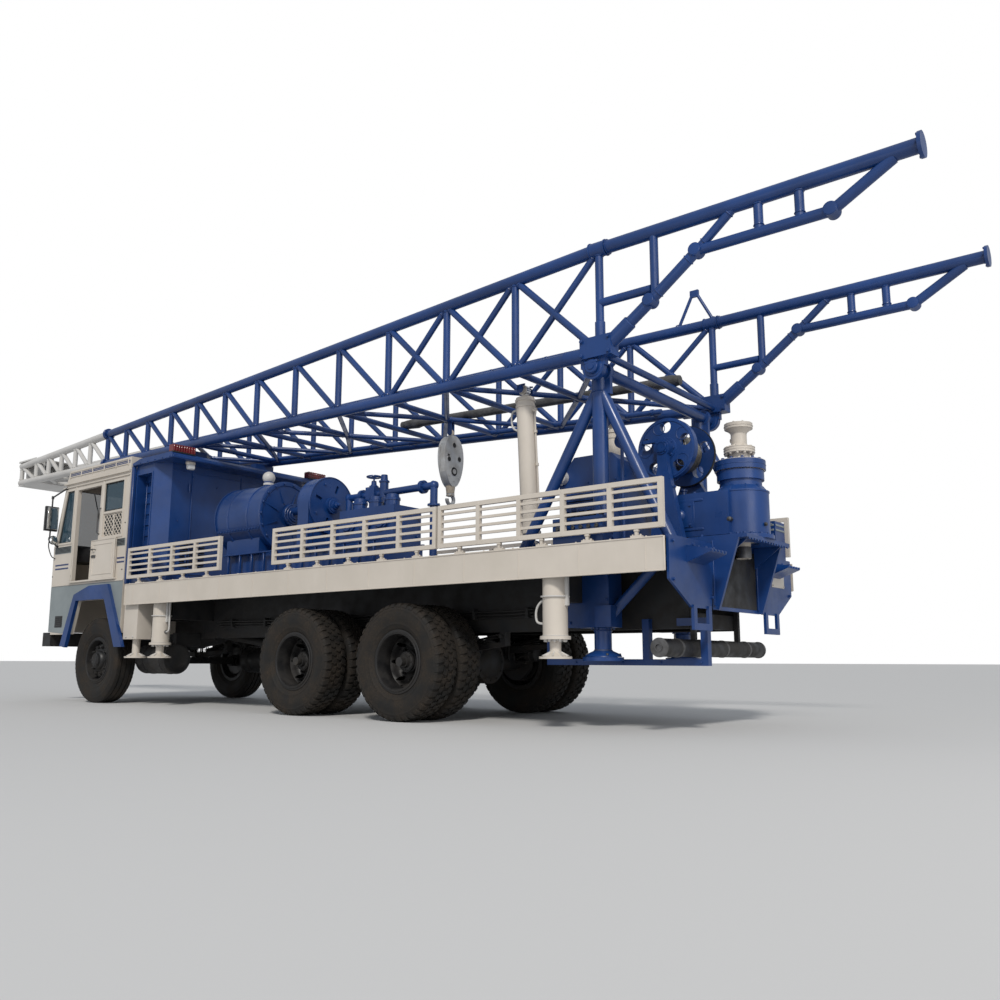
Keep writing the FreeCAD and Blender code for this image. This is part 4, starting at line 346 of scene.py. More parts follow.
# Each look's material slot in the record; slots with a look of their own give the CAD nodes that look.
SLOTS = {"chassis": "chassis_grey", "cast": "cast_grey", "tyre": "tyre", "rim": "rim_steel",
         "blue": "rig_blue", "cream": "cream", "glass": "glass", "seat": "seat_cloth", "black": "black_paint",
         "plastic": "black_plastic", "lamp_red": "lamp_red", "white": "white_paint", "steel": "dark_steel",
         "chrome": "chrome", "block": "block_grey"}
LOOKS = {slot: look for look, slot in SLOTS.items()}
SLOTS.update(lamp_amber="lamp_red", tint="glass", chequer="rig_blue", rubber="black_plastic")
for part in record["subparts"]:
    item = frame["nodes"][part["node"]]
    item.data.materials.clear()
    item.data.materials.append(MATS[LOOKS[part["material_slot"]]])


# ------------------------------------------------------------------ mesh building
def around(centre, axis, radius, count, phase=0.0, helper=None):
    """Points evenly spaced on a circle about an axis."""
    axis = Vector(axis).normalized()
    if helper:
        u = axis.cross(helper).normalized()
    else:
        u = axis.orthogonal().normalized()
    v = axis.cross(u)
    turns = [phase + math.tau * i / count for i in range(count)]
    return [Vector(centre) + (u * math.cos(turn) + v * math.sin(turn)) * radius for turn in turns]


def upright(axis):
    """An axis to measure turns from: Z, or X for what already stands upright."""
    return Z if abs(Vector(axis).normalized().z) < 0.9 else X


class Mesh:
    """Gathers faces for one piece. Points are given in the axle frame."""

    def __init__(self):
        self.points = []
        self.faces = []
        self.looks = []
        self.look = 0

    def add(self, points, faces):
        base = len(self.points)
        self.points += [Vector(p) for p in points]
        self.faces += [tuple(base + i for i in face) for face in faces]
        self.looks += [self.look] * len(faces)

    def join(self, other):
        self.add(other.points, other.faces)

    def box(self, low, high, chamfer=0.0):
        """A box between two corners, its edges chamfered by a fixed amount."""
        low, high = Vector([*map(min, low, high)]), Vector([*map(max, low, high)])
        c = min(chamfer, 0.45 * min(high - low))
        middle, half = (low + high) / 2, (high - low) / 2
        corners = list(product(BACK_FIRST, repeat=3))
        if c <= 0:
            self.add([middle + Vector(sign) * half for sign in corners],
                     [(0, 1, 3, 2), (4, 6, 7, 5), (0, 4, 5, 1), (2, 3, 7, 6), (0, 2, 6, 4), (1, 5, 7, 3)])
            return
        points, index, faces = [], {}, []
        for sign, axis in product(corners, range(3)):
            inset = [c, c, c]
            inset[axis] = 0
            index[(*sign, axis)] = len(points)
            points.append(middle + Vector(sign) * (half - Vector(inset)))

        def corner(axis, s, a, b, owner):
            key = [0, 0, 0]
            key[axis], key[(axis + 1) % 3], key[(axis + 2) % 3] = s, a, b
            return index[(*key, owner)]
        for axis in range(3):
            u, v = (axis + 1) % 3, (axis + 2) % 3
            for s in BACK_FIRST:
                ring = [corner(axis, s, a, b, axis) for a, b in ((-1, -1), (1, -1), (1, 1), (-1, 1))]
                faces.append(ring[::s])
            for a, b in product(BACK_FIRST, repeat=2):
                quad = [corner(axis, s, a, b, owner) for s, owner in ((-1, u), (-1, v), (1, v), (1, u))]
                faces.append(quad[::a * b])
        for sign in corners:
            faces.append([index[(*sign, axis)] for axis in range(3)][::math.prod(sign)])
        self.add(points, faces)

    def sweep(self, sections, closed=False, capped=True):
        """Skins rings of equal length, one after the other."""
        count = len(sections[0])
        rows = len(sections)
        faces = []
        for i in range(rows if closed else rows - 1):
            a, b = i * count, (i + 1) % rows * count
            faces += [(a + j, a + (j + 1) % count, b + (j + 1) % count, b + j) for j in range(count)]
        if capped and not closed:
            faces.append(tuple(reversed(range(count))))
            faces.append(tuple(range((rows - 1) * count, rows * count)))
        self.add([p for ring in sections for p in ring], faces)

    def bar(self, low, high, section):
        """A bar whose section keeps its (x, z) points from y low to y high."""
        self.sweep([[(x, y, z) for x, z in section] for y in (low, high)])

    def turned(self, start, axis, profile, sides=24, capped=True, phase=0.0):
        """Turns (along, radius) points about an axis through start."""
        axis = Vector(axis).normalized()
        self.sweep([around(Vector(start) + axis * along, axis, radius, sides, phase, upright(axis))
                    for along, radius in profile], capped=capped)

    def tube(self, start, axis, profile, sides):
        """A turned shape that stays open at both ends."""
        self.turned(start, axis, profile, sides, capped=False)

    def rod(self, a, b, radius, sides=12):
        """A straight round bar from a to b."""
        a, b = Vector(a), Vector(b)
        self.turned(a, b - a, [(0, radius), ((b - a).length, radius)], sides)

    def disc(self, centre, axis, radius, thick, sides=24, edge=0.0):
        """A short cylinder that stands on centre, with a chamfered far edge."""
        self.turned(centre, axis,
                    [(0, radius), (thick - edge, radius)] + [(thick, radius - edge)] * (edge > 0), sides)

    def hexagon(self, centre, axis, radius, height, tip):
        """A hexagonal plug or union with a chamfered end."""
        self.turned(centre, axis, [(0, radius), (height, radius), (height + 0.004, tip)], 6)

    def bolt(self, centre, axis, size):
        """A hexagon head of the given width, on a washer."""
        washer = size * 0.14
        self.disc(centre, axis, size * 0.72, washer, 12)
        self.turned(Vector(centre) + Vector(axis).normalized() * washer, axis,
                    [(0, size * 0.57), (size * 0.5, size * 0.57), (size * 0.6, size * 0.46)], 6)

    def bolts(self, xs, ys, zs, axis, size):
        """Bolts at every crossing of the given coordinates."""
        for place in product(*(v if isinstance(v, (tuple, list)) else [v] for v in (xs, ys, zs))):
            self.bolt(place, axis, size)

    def ring_of_bolts(self, centre, axis, radius, count, size, phase=0.0):
        for place in around(centre, axis, radius, count, phase, upright(axis)):
            self.bolt(place, axis, size)

    def hose(self, points, radius, sides=8, steps=6):
        """A round line through points, smoothed by a Catmull-Rom curve."""
        points = [Vector(p) for p in points]
        full = [2 * points[0] - points[1]] + points + [2 * points[-1] - points[-2]]
        line = []
        for a, b, c, d in zip(full, full[1:], full[2:], full[3:]):
            for t in (k / steps for k in range(steps)):
                line.append(0.5 * (2 * b + (c - a) * t + (2 * a - 5 * b + 4 * c - d) * t * t
                                   + (3 * b - a - 3 * c + d) * t ** 3))
        self.line(line + points[-1:], radius, sides)

    def line(self, line, radius, sides=8, closed=False):
        """A round tube along a ready line."""
        line = [Vector(p) for p in line]
        rings = []
        normal = None
        count = len(line)
        for i, point in enumerate(line):
            if closed:
                run = line[(i + 1) % count] - line[i - 1]
            else:
                run = line[min(i + 1, count - 1)] - line[max(i - 1, 0)]
            run.normalize()
            if normal is None:
                normal = run.orthogonal().normalized()
            normal = (normal - run * normal.dot(run)).normalized()
            side = run.cross(normal)
            turns = [math.tau * j / sides for j in range(sides)]
            rings.append([point + (normal * math.cos(t) + side * math.sin(t)) * radius for t in turns])
        self.sweep(rings, closed=closed)

    def ring(self, centre, axis, big, small, sides=32, round_sides=10):
        self.line(around(centre, axis, big, sides), small, round_sides, closed=True)

    def plate(self, corners, thick):
        """A flat polygon given a thickness along its normal."""
        corners = [Vector(c) for c in corners]
        normal = Vector((0, 0, 0))
        for a, b in zip(corners, corners[1:] + corners[:1]):
            normal += a.cross(b)
        normal.normalize()
        self.sweep([corners, [c + normal * thick for c in corners]])

    def ball(self, centre, radius, sides=16):
        rows = max(4, sides // 2)
        turns = [math.pi * i / rows for i in range(rows + 1)]
        self.turned(centre, Z, [(-math.cos(t) * radius, max(1e-4, math.sin(t) * radius)) for t in turns],
                    sides)

    def mirror(self):
        """Adds the right-hand copy of everything so far."""
        count = len(self.points)
        self.points += [Vector((p.x, -p.y, p.z)) for p in self.points]
        self.faces += [tuple(count + i for i in reversed(face)) for face in self.faces]
        self.looks += list(self.looks)


def piece(name, mesh, looks, body="vehicle", smooth=38, replaces=()):
    """Makes the object, sets its finish and lets it ride on a CAD body."""
    data = bpy.data.meshes.new(name)
    data.from_pydata([p - X * SHIFT for p in mesh.points], [], mesh.faces)
    looks = looks.split()
    for look in looks:
        data.materials.append(MATS[look])
    data.polygons.foreach_set("material_index", mesh.looks)
    data.polygons.foreach_set("use_smooth", [True] * len(data.polygons))
    data.validate()
    data.update()
    data.set_sharp_from_angle(angle=math.radians(smooth))
    item = put_in_scene(name, data)
    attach(item, body)
    if replaces:
        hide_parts(*replaces)
    return item


# ------------------------------------------------------------------ wheels
TYRE_R = 0.522
LUG_DEPTH = 0.013
TREAD_BASE = TYRE_R - LUG_DEPTH
OUTER_TWIN_Y = 1.068
INNER_TWIN_Y = 0.748
FRONT_Y = 1.002
FRONT_X = 5.308
REAR_X, MIDDLE_X = 0.0, 1.423
TANDEM_X = (("middle", MIDDLE_X), ("rear", REAR_X))
DRIVE_LUGS = 42
FRONT_CUTS = 60
STUDS = 10
STUD_CIRCLE = 0.1675
CARCASS = [(0.093, 0.2545), (0.095, 0.278), (0.100, 0.290), (0.108, 0.297), (0.112, 0.312), (0.123, 0.330),
           (0.125, 0.333), (0.124, 0.337), (0.133, 0.362), (0.139, 0.395), (0.140, 0.418), (0.138, 0.440),
           (0.135, 0.456), (0.1365, 0.460), (0.1345, 0.465), (0.130, 0.480), (0.124, 0.494)]
BARREL = [(-0.103, 0.2450), (-0.103, 0.282), (-0.098, 0.2845), (-0.094, 0.282), (-0.093, 0.2535),
          (0.092, 0.2535), (0.094, 0.282), (0.098, 0.2855), (0.104, 0.284), (0.107, 0.278), (0.107, 0.256),
          (0.112, 0.252), (0.112, 0.246), (0.102, 0.243), (0.060, 0.2425), (0.035, 0.234), (-0.04, 0.234),
          (-0.06, 0.2425), (-0.095, 0.2440)]


def polar(centre, y, r, angle):
    """A point of a wheel: y along its axle, r out, angle from straight down."""
    return Vector(centre) + Vector((math.sin(angle) * r, y, -math.cos(angle) * r))


def revolve(mesh, centre, spots, sides):
    """Turns the (y, radius) pairs that spots gives for each step about a wheel's axle."""
    mesh.sweep([[polar(centre, y, r, math.tau * step / sides) for y, r in spots(step)]
                for step in range(sides)], closed=True)


def tyre_section(tread):
    return CARCASS + tread + [(-y, r) for y, r in reversed(CARCASS)]


def rib_tyre(mesh, centre):
    """Front tyre: three zigzag grooves around the tread and small cuts on the shoulders."""
    shoulder = [(0.1195, 0.508), (0.114, 0.5165), (0.100, 0.5195)]

    def spots(step):
        shift = 0.0022 * (1 if step % 2 else -1)
        ribs = [(middle + offset + shift, 0.5212 - 0.018 * abs(middle) - drop)
                for middle in (0.062, 0.0, -0.062)
                for offset, drop in ((0.0085, 0), (0.0045, LUG_DEPTH), (-0.0045, LUG_DEPTH), (-0.0085, 0))]
        return tyre_section(shoulder + ribs + [(-y, r) for y, r in reversed(shoulder)])
    revolve(mesh, centre, spots, 2 * FRONT_CUTS)
    for side, i in product(SIDES, range(FRONT_CUTS)):
        angle = math.tau * i / FRONT_CUTS
        spots = [polar(centre, side * y, r, angle + turn)
                 for y, r, turn in ((0.1245, 0.4975, -0.012), (0.1245, 0.4975, 0.012),
                                    (0.1175, 0.5150, 0.020), (0.1175, 0.5150, -0.020))]
        mesh.plate(spots[::-side], 0.004)


def lug_tyre(mesh, centre, start_turn):
    """Drive tyre: staggered shoulder lugs and two rows of centre blocks around the carcass."""
    half_crown = [(0.112, TREAD_BASE - 0.004), (0.06, TREAD_BASE)]
    crown = half_crown + [(0.0, TREAD_BASE)] + [(-y, r) for y, r in reversed(half_crown)]
    revolve(mesh, centre, lambda step: tyre_section(crown), 96)
    pitch = math.pi / DRIVE_LUGS
    wide, lean = 0.62 * pitch, 0.35 * pitch
    top, foot = TYRE_R - 0.0008, TREAD_BASE - 0.004
    lug = [(0.064, top, 0), (0.100, top - 0.002, lean * 0.5), (0.122, top - 0.012, lean),
           (0.134, 0.484, lean * 1.2)]
    block = [(0.006, top, -0.4 * lean), (0.030, top, 0.5 * lean), (0.056, top, -0.4 * lean)]
    for i, side in product(range(DRIVE_LUGS), SIDES):
        start = start_turn + 2 * pitch * (i + (0.5 if side < 0 else 0))
        for rows, turn, step_in, drop, head, base in ((lug, start, 0.004, 0.004, 1.0, 1.15),
                                                      (block, start + pitch * 0.9, 0.0, 0.002, 0.95, 1.1)):
            rings = []
            for y, r, shift in rows:
                middle, depth = turn + shift, min(r, foot) - drop
                rings.append([polar(centre, side * y, r, middle - wide * head),
                              polar(centre, side * y, r, middle + wide * head),
                              polar(centre, side * (y - step_in), depth, middle + wide * base),
                              polar(centre, side * (y - step_in), depth, middle - wide * base)])
            mesh.sweep([ring[::-side] for ring in rings])


def disc_face(mesh, centre, out, flat_y, rise):
    """A wheel disc with eight hand holes: a flat bolting ring and the cone that rises to the barrel."""
    holes, points, hole_r, ring_r, inner, outer, thick = 8, 24, 0.0205, 0.2125, 0.100, 0.244, 0.012

    def dish(r):
        share = max(0.0, min(1.0, (r - 0.196) / 0.046))
        return flat_y + rise * share * share * (3 - 2 * share)
    half = math.pi / holes
    for i, rows in product(range(holes),
                           [((thick / 2, 1), (thick / 2, 0), (-thick / 2, 0), (-thick / 2, 1))]):
        rings = []
        for lift, at_edge in rows:
            ring = []
            for k in range(points):
                c, s = math.cos(math.tau * k / points), math.sin(math.tau * k / points)
                reach = 1 / max(abs(c), abs(s))
                r = ring_r + ((outer - ring_r) if c > 0 else (ring_r - inner)) * c * reach
                turn = half * s * reach
                if not at_edge:
                    r = ring_r + hole_r * c
                    turn = hole_r * s / r
                ring.append(polar(centre, out * (dish(r) + lift), r, 2 * half * i + turn))
            rings.append(ring)
        faces = []
        for row, k in product(range(3), range(points)):
            a, b, n = row * points, (row + 1) * points, (k + 1) % points
            faces.append((a + k, a + n, b + n, b + k)[::out])
        mesh.add([p for ring in rings for p in ring], faces)


def rim(mesh, centre, out, face_y, rise, hub_y, hub_depth):
    """Drop-centre barrel with its lock ring, the disc, the hub with its cap, wheel nuts and studs."""
    axis = out * Y
    revolve(mesh, centre, lambda step: [(out * y, r) for y, r in BARREL[::out]], 64)
    mesh.ring(Vector(centre) + axis * 0.1105, Y, 0.2585, 0.0052, 72, 8)
    disc_face(mesh, centre, out, face_y, rise)
    start = Vector(centre) + axis * hub_y
    cap = hub_depth * 0.78
    mesh.turned(start, axis, [(0, 0.139), (0.006, 0.139), (0.009, 0.135), (0.010, 0.120), (0.028, 0.114),
                              (hub_depth * 0.62, 0.100), (hub_depth * 0.66, 0.092), (cap, 0.090)], 48)
    mesh.turned(start + axis * cap, axis, [(0, 0.083), (0.006, 0.083), (0.009, 0.079), (0.012, 0.058),
                                           (hub_depth * 0.22, 0.050), (hub_depth * 0.23, 0.044)], 40)
    mesh.ring_of_bolts(start + axis * (cap + 0.007), axis, 0.071, 8, 0.013)
    for i in range(STUDS):
        angle = math.tau * (i + 0.5) / STUDS
        foot = polar(start, 0, STUD_CIRCLE, angle)
        mesh.turned(foot - axis * 0.004, axis, [(0, 0.026), (0.008, 0.021)], 16)
        mesh.turned(foot + axis * 0.003, axis, [(0, 0.0185), (0.023, 0.0185), (0.026, 0.0155)], 6,
                    phase=angle)
        mesh.turned(foot + axis * 0.02, axis, [(0, 0.0095), (0.021, 0.0095), (0.023, 0.0075)], 10)


def valve(mesh, centre, out, y):
    """The bent stem of the tyre's valve."""
    foot = polar(centre, out * y, 0.232, 0.4)
    mesh.hose([foot, foot + Vector((0, out * 0.02, 0.004)), foot + Vector((0, out * 0.055, -0.012))], 0.0045,
              8, 4)


def dress(mesh, look, body, node):
    """A piece drawn in place of the CAD node."""
    piece(node + "_dressed", mesh, look, body, replaces=[node])


def make_wheels(side, out):
    """The twin wheels of both rear axles and the front wheel on one side."""
    for name, axle in TANDEM_X:
        body = "%s_%s_wheels" % (name, side)
        tyres, rims = Mesh(), Mesh()
        for y, way, hub_depth in ((OUTER_TWIN_Y, out, 0.170), (INNER_TWIN_Y, -out, 0.11)):
            centre = (axle, out * y, TYRE_R)
            lug_tyre(tyres, centre, random.random())
            rim(rims, centre, way, -0.152, 0.10, -0.146, hub_depth)
        valve(rims, (axle, out * OUTER_TWIN_Y, TYRE_R), out, -0.07)
        rims.turned((axle, out * (INNER_TWIN_Y - 0.05), TYRE_R), out * Y,
                    [(0, 0.195), (0.1, 0.205), (0.12, 0.21)], 40)
        dress(tyres, "tyre", body, "%s_%s_tyres" % (side, name))
        dress(rims, "rim", body, "%s_%s_rims" % (side, name))
    centre = (FRONT_X, out * FRONT_Y, TYRE_R)
    tyres, rims = Mesh(), Mesh()
    rib_tyre(tyres, centre)
    rim(rims, centre, out, 0.052, -0.05, 0.058, 0.086)
    valve(rims, centre, out, 0.045)
    for y, profile, sides in ((0.985, [(0, 0.100), (0.07, 0.118)], 36),
                              (0.955, [(0, 0.185), (0.012, 0.200), (0.055, 0.200)], 40)):
        rims.turned((FRONT_X, out * y, TYRE_R), out * Y, profile, sides)
    dress(tyres, "tyre", "front_%s_wheel" % side, "front_%s_tyre" % side)
    dress(rims, "rim", "front_%s_wheel" % side, "front_%s_rim" % side)


random.seed(11)
make_wheels("left", 1)
make_wheels("right", -1)


# ------------------------------------------------------------------ cab
CAB_Y = 1.2
CAB_FRONT_X = 6.462
SCREEN_SLOPE = -0.23 / 0.9
LOWER_PANE = ((4.785, 5.230), (2.065, 2.350))
MESH_STEP = 0.070
MESH_WIRE = 0.0055
DRIVER_Y = -0.70


def strips(mesh, inner, outer, y, proud):
    """Mitred strips between two outlines of (x, z) points on a side wall at y."""
    for quad in zip(outer, outer[1:] + outer[:1], inner[1:] + inner[:1], inner):
        mesh.sweep([[(x, depth, z) for x, z in quad] for depth in (y + proud, y)])


def outline(x, z, grow=0.0):
    (x0, x1), (z0, z1) = x, z
    return [(x0 - grow, z0 - grow), (x1 + grow, z0 - grow), (x1 + grow, z1 + grow), (x0 - grow, z1 + grow)]


def frame_strip(mesh, x, z, y, wide, proud):
    """Four mitred strips around an opening in a side wall at y; x and z are its limits."""
    strips(mesh, outline(x, z), outline(x, z, wide), y, proud)


def on_wall(mesh, x, z, proud, chamfer=0.0, sunk=0.0):
    """A box on the cab's side wall; x and z are its limits."""
    mesh.box((x[0], CAB_Y - sunk, z[0]), (x[1], CAB_Y + proud, z[1]), chamfer)


def cab_sides():
    """Everything on a side wall, once for the left and mirrored for the right."""
    m = Mesh()
    y = CAB_Y
    frame_strip(m, (5.32, 5.92), (1.53, 2.74), y, 0.030, 0.009)
    frame_strip(m, (4.78, 5.235), (2.06, 2.75), y, 0.028, 0.008)
    on_wall(m, (4.78, 5.235), (2.352, 2.384), 0.006, 0.004, 0.030)
    m.box((4.995, y - 0.020, 2.06), (5.010, y - 0.008, 2.352), 0.002)
    for x in (5.262, 5.292), (5.96, 5.985):
        on_wall(m, x, (1.53, 2.79), 0.010, 0.003)
    strips(m, [(6.02, 2.06), (6.37, 2.06), (6.205, 2.75), (6.02, 2.75)],
           [(5.995, 2.035), (6.402, 2.035), (6.225, 2.775), (5.995, 2.775)], y, 0.008)
    on_wall(m, (4.66, 6.44), (1.482, 1.500), 0.012, 0.003)
    on_wall(m, (4.66, 6.33), (2.795, 2.812), 0.016, 0.004)
    for z in (2.945, 3.008):
        m.rod((4.70, y + 0.002, z), (6.20, y + 0.002, z), 0.009)
    for i in range(6):
        x = 4.72 + i * 0.292
        m.rod((x, y + 0.002, 2.935), (x, y + 0.002, 3.010), 0.008)
        m.bolt((x, y, 2.93), Y, 0.012)
    m.look = 1
    for z in (2.962, 2.982):
        on_wall(m, (4.68, 6.20), (z - 0.006, z + 0.006), 0.003)
    for x, z in product(((4.665, 4.835), (6.05, 6.40)), ((1.705, 1.725), (1.755, 1.775))):
        on_wall(m, x, z, 0.002)
    for x0, x1 in (4.668, 5.26), (6.00, 6.43):
        m.look = 2
        on_wall(m, (x0, x1), (1.915, 2.008), 0.004, 0.001)
        m.look = 3
        for z in (1.924 + i * 0.017 for i in range(5)):
            m.plate([(x0 + 0.01, y + 0.004, z), (x1 - 0.01, y + 0.004, z), (x1 - 0.01, y + 0.013, z + 0.008),
                     (x0 + 0.01, y + 0.013, z + 0.008)], 0.002)
    m.look = 4
    skirt = ((4.655, 0.862), (4.655, 1.480), (6.460, 1.480), (6.448, 0.890), (6.10, 0.862), (5.83, 0.862),
             (5.70, 1.28), (5.00, 1.27), (4.81, 0.862))
    m.plate([(x, y, z) for x, z in skirt], 0.0035)
    m.look = 3
    on_wall(m, (6.09, 6.28), (0.94, 1.09), 0.007, 0.002)
    for z in (0.955 + i * 0.027 for i in range(5)):
        on_wall(m, (6.10, 6.27), (z, z + 0.011), 0.014, 0.002, -0.006)
    for x, z in ((4.70, 2.20), (4.70, 1.62), (6.455, 1.62)):
        m.bolt((x, y, z), Y, 0.011)
    m.look = 0
    for z in (1.66, 2.62):
        m.rod((5.945, y + 0.010, z - 0.045), (5.945, y + 0.010, z + 0.045), 0.010)
        on_wall(m, (5.925, 5.965), (z - 0.035, z + 0.035), 0.006, 0.002)
    m.look = 5
    m.line([(5.30, y + proud, z)
            for proud, z in ((0.004, 2.10), (0.042, 2.12), (0.042, 2.42), (0.004, 2.44))],
           0.009, 10)
    m.mirror()
    piece("cab_side_trim", m, "cream stripe cab_grey plastic cab_grey steel")


def cab_mesh_grille():
    """Woven diamond mesh in the lower half of each rear side window, in front of its glass."""
    m = Mesh()
    y = CAB_Y - 0.014
    (x0, x1), (z0, z1) = LOWER_PANE
    wide, tall = x1 - x0, z1 - z0
    for lean, layer in ((1, 0.0015), (-1, -0.0015)):
        for i in range(1, int((wide + tall) / MESH_STEP) + 1):
            offset = i * MESH_STEP
            start, end = max(0, offset - tall), min(offset, wide)
            rise, fall = offset - start, offset - end
            ends = ((start, rise), (end, fall)) if lean > 0 else ((start, tall - rise), (end, tall - fall))
            m.rod(*((x0 + across, y + layer, z0 + up) for across, up in ends), MESH_WIRE, 6)
    frame_strip(m, (x0 + 0.006, x1 - 0.006), (z0 + 0.006, z1 - 0.006), y - 0.006, 0.010, 0.012)
    m.mirror()
    piece("cab_window_mesh", m, "cream")
    back = Mesh()
    back.box((4.782, y - 0.012, 2.062), (5.233, y - 0.008, 2.352))
    back.mirror()
    piece("cab_window_lower_glass", back, "tint")


def seals():
    """Rubber around the windscreen, the quarter lights and the rear side glass."""
    def screen(y, z):
        return Vector((6.482 + (z - 2.0) * SCREEN_SLOPE, y, z))
    m = Mesh()
    line = []
    for cy, cz, start in ((1.045, 2.755, 0), (-1.045, 2.755, 90), (-1.045, 2.095, 180), (1.045, 2.095, 270)):
        for t in (math.radians(start + k * 15) for k in range(7)):
            line.append(screen(cy + 0.045 * math.cos(t), cz + 0.045 * math.sin(t)))
    m.line(line, 0.014, 8, closed=True)
    m.rod(screen(0, 2.06), screen(0, 2.79), 0.011, 8)
    side = Mesh()
    for corners in (((4.787, 2.392), (5.228, 2.392), (5.228, 2.743), (4.787, 2.743)),
                    ((6.027, 2.067), (6.360, 2.067), (6.198, 2.743), (6.027, 2.743))):
        side.line([(x, CAB_Y - 0.014, z) for x, z in corners], 0.010, 8, closed=True)
    side.mirror()
    m.join(side)
    piece("cab_window_seals", m, "rubber")


def cab_front():
    """Grille, lamps, blank plate, bumper trim, steps and wipers."""
    m = Mesh()
    x = CAB_FRONT_X
    m.look = 3
    m.box((x - 0.004, -0.62, 1.10), (x + 0.014, 0.62, 1.60), 0.006)
    m.look = 1
    for z in (1.135 + i * 0.052 for i in range(9)):
        m.plate([(x + 0.012, -0.60, z), (x + 0.012, 0.60, z), (x + 0.034, 0.60, z + 0.012),
                 (x + 0.034, -0.60, z + 0.012)], 0.010)
    for y in (-0.40, -0.2, 0.0, 0.2, 0.40):
        m.box((x + 0.010, y - 0.008, 1.12), (x + 0.030, y + 0.008, 1.58), 0.003)
    m.look = 0
    m.box((x, -1.16, 1.640), (x + 0.024, 1.16, 1.672), 0.006)
    m.box((x + 0.006, -1.14, 1.93), (x + 0.022, 1.14, 1.945), 0.004)
    for y in (-1.0, -0.34, 0.34, 1.0):
        m.box((x + 0.002, y - 0.004, 1.68), (x + 0.022, y + 0.004, 1.93), 0.002)
    for out in SIDES:
        m.look = 1
        m.box((x - 0.004, out * 0.68, 1.08), (x + 0.026, out * 1.13, 1.36), 0.02)
        for y, r in ((0.78, 0.082), (0.97, 0.070)):
            m.look = 5
            m.turned((x + 0.024, out * y, 1.22), X,
                     [(0, r + 0.014), (0.014, r + 0.014), (0.018, r + 0.006), (0.012, r)], 40)
            m.look = 4
            m.turned((x + 0.030, out * y, 1.22), X, [(0, r), (0.010, r * 0.96), (0.020, r * 0.72),
                                                     (0.025, r * 0.35), (0.026, 0.002)], 40)
        m.look = 6
        m.box((x + 0.020, out * 1.06, 1.12), (x + 0.036, out * 1.12, 1.32), 0.008)
        m.look = 1
        m.box((6.600, out * 0.70, 0.735), (6.622, out * 0.98, 0.835), 0.012)
        m.look = 4
        m.turned((6.618, out * 0.84, 0.785), X, [(0, 0.042), (0.008, 0.040), (0.014, 0.022), (0.016, 0.002)],
                 32)
        m.look = 1
        m.line([(tow_x, out * 0.36, z)
                for tow_x, z in ((6.605, 0.76), (6.66, 0.76), (6.67, 0.80), (6.66, 0.84), (6.605, 0.84))],
               0.013, 10)
    m.look = 2
    m.box((6.608, -0.26, 0.715), (6.618, 0.26, 0.835), 0.004)
    m.look = 1
    for y in (-0.62, 0.40):
        foot = Vector((6.480, y, 2.035))
        tip = Vector((6.34959, y + 0.30, 2.60))
        m.disc(foot - X * 0.01, X, 0.018, 0.03, 16, 0.004)
        m.hose([foot + X * 0.02, foot.lerp(tip, 0.5) + X * 0.006, tip], 0.006, 8, 4)
        m.rod(tip + Vector((0.06, -0.10, -0.26)), tip + Vector((-0.05, 0.09, 0.20)), 0.007, 8)
    m.look = 0
    for y in (-1.12, 1.12):
        m.line([(6.478, y, 1.70), (6.520, y, 1.71), (6.520, y, 1.90), (6.478, y, 1.91)], 0.010, 8)
    piece("cab_front_trim", m, "cream plastic white black lamp_clear chrome lamp_amber")


def cab_roof_and_back():
    """Ribs on the roof and the back wall, the guard strips and the roof lamps."""
    m = Mesh()
    for x in (4.80 + i * 0.225 for i in range(7)):
        m.box((x, -1.06, 3.028), (x + 0.05, 1.06, 3.036), 0.003)
    for y in (-0.9, -0.3, 0.3, 0.9):
        m.box((4.628, y - 0.02, 1.60), (4.652, y + 0.02, 2.90), 0.004)
    for z in (1.75, 2.30, 2.80):
        m.box((4.634, -1.1, z - 0.018), (4.652, 1.1, z + 0.018), 0.004)
    m.look = 1
    for out in SIDES:
        m.box((4.602, out * 1.150, 1.44), (4.650, out * 1.190, 2.90), 0.004)
    for y in (-1.02, 1.02, 0.0):
        m.turned((6.16, y, 3.028), Z, [(0, 0.042), (0.018, 0.042), (0.030, 0.030), (0.036, 0.008)], 24)
    piece("cab_roof_ribs", m, "cream blue")
    amber = Mesh()
    for y in (-0.62, -0.31, 0.31, 0.62):
        amber.turned((6.13, y, 3.028), Z, [(0, 0.036), (0.012, 0.034), (0.026, 0.020), (0.030, 0.003)], 20,
                     phase=0.3)
    piece("cab_roof_lamps", amber, "lamp_amber")


def half_door_trim(side, out):
    """Pressed panel, edge rolls and latch of the sliding half door."""
    m = Mesh()
    y = out * (CAB_Y + 0.033)
    for inset, proud in ((0.0, 0.0015), (0.055, 0.0009)):
        corners = [(x, y + out * proud, z) for x, z in outline((4.85, 5.42), (1.5305, 2.02), -inset)]
        for p, q in zip(corners, corners[1:] + corners[:1]):
            m.rod(p, q, 0.006, 8)
        for p in corners:
            m.ball(p, 0.006, 8)
    m.look = 1
    m.box((5.30, y, 1.80), (5.39, y + out * 0.014, 1.835), 0.004)
    m.line([(5.31, y, 1.90), (5.31, y + out * 0.035, 1.905), (5.38, y + out * 0.035, 1.905), (5.38, y, 1.90)],
           0.006, 8)
    piece("%s_half_door_trim" % side, m, "cream steel", body="%s_door" % side)


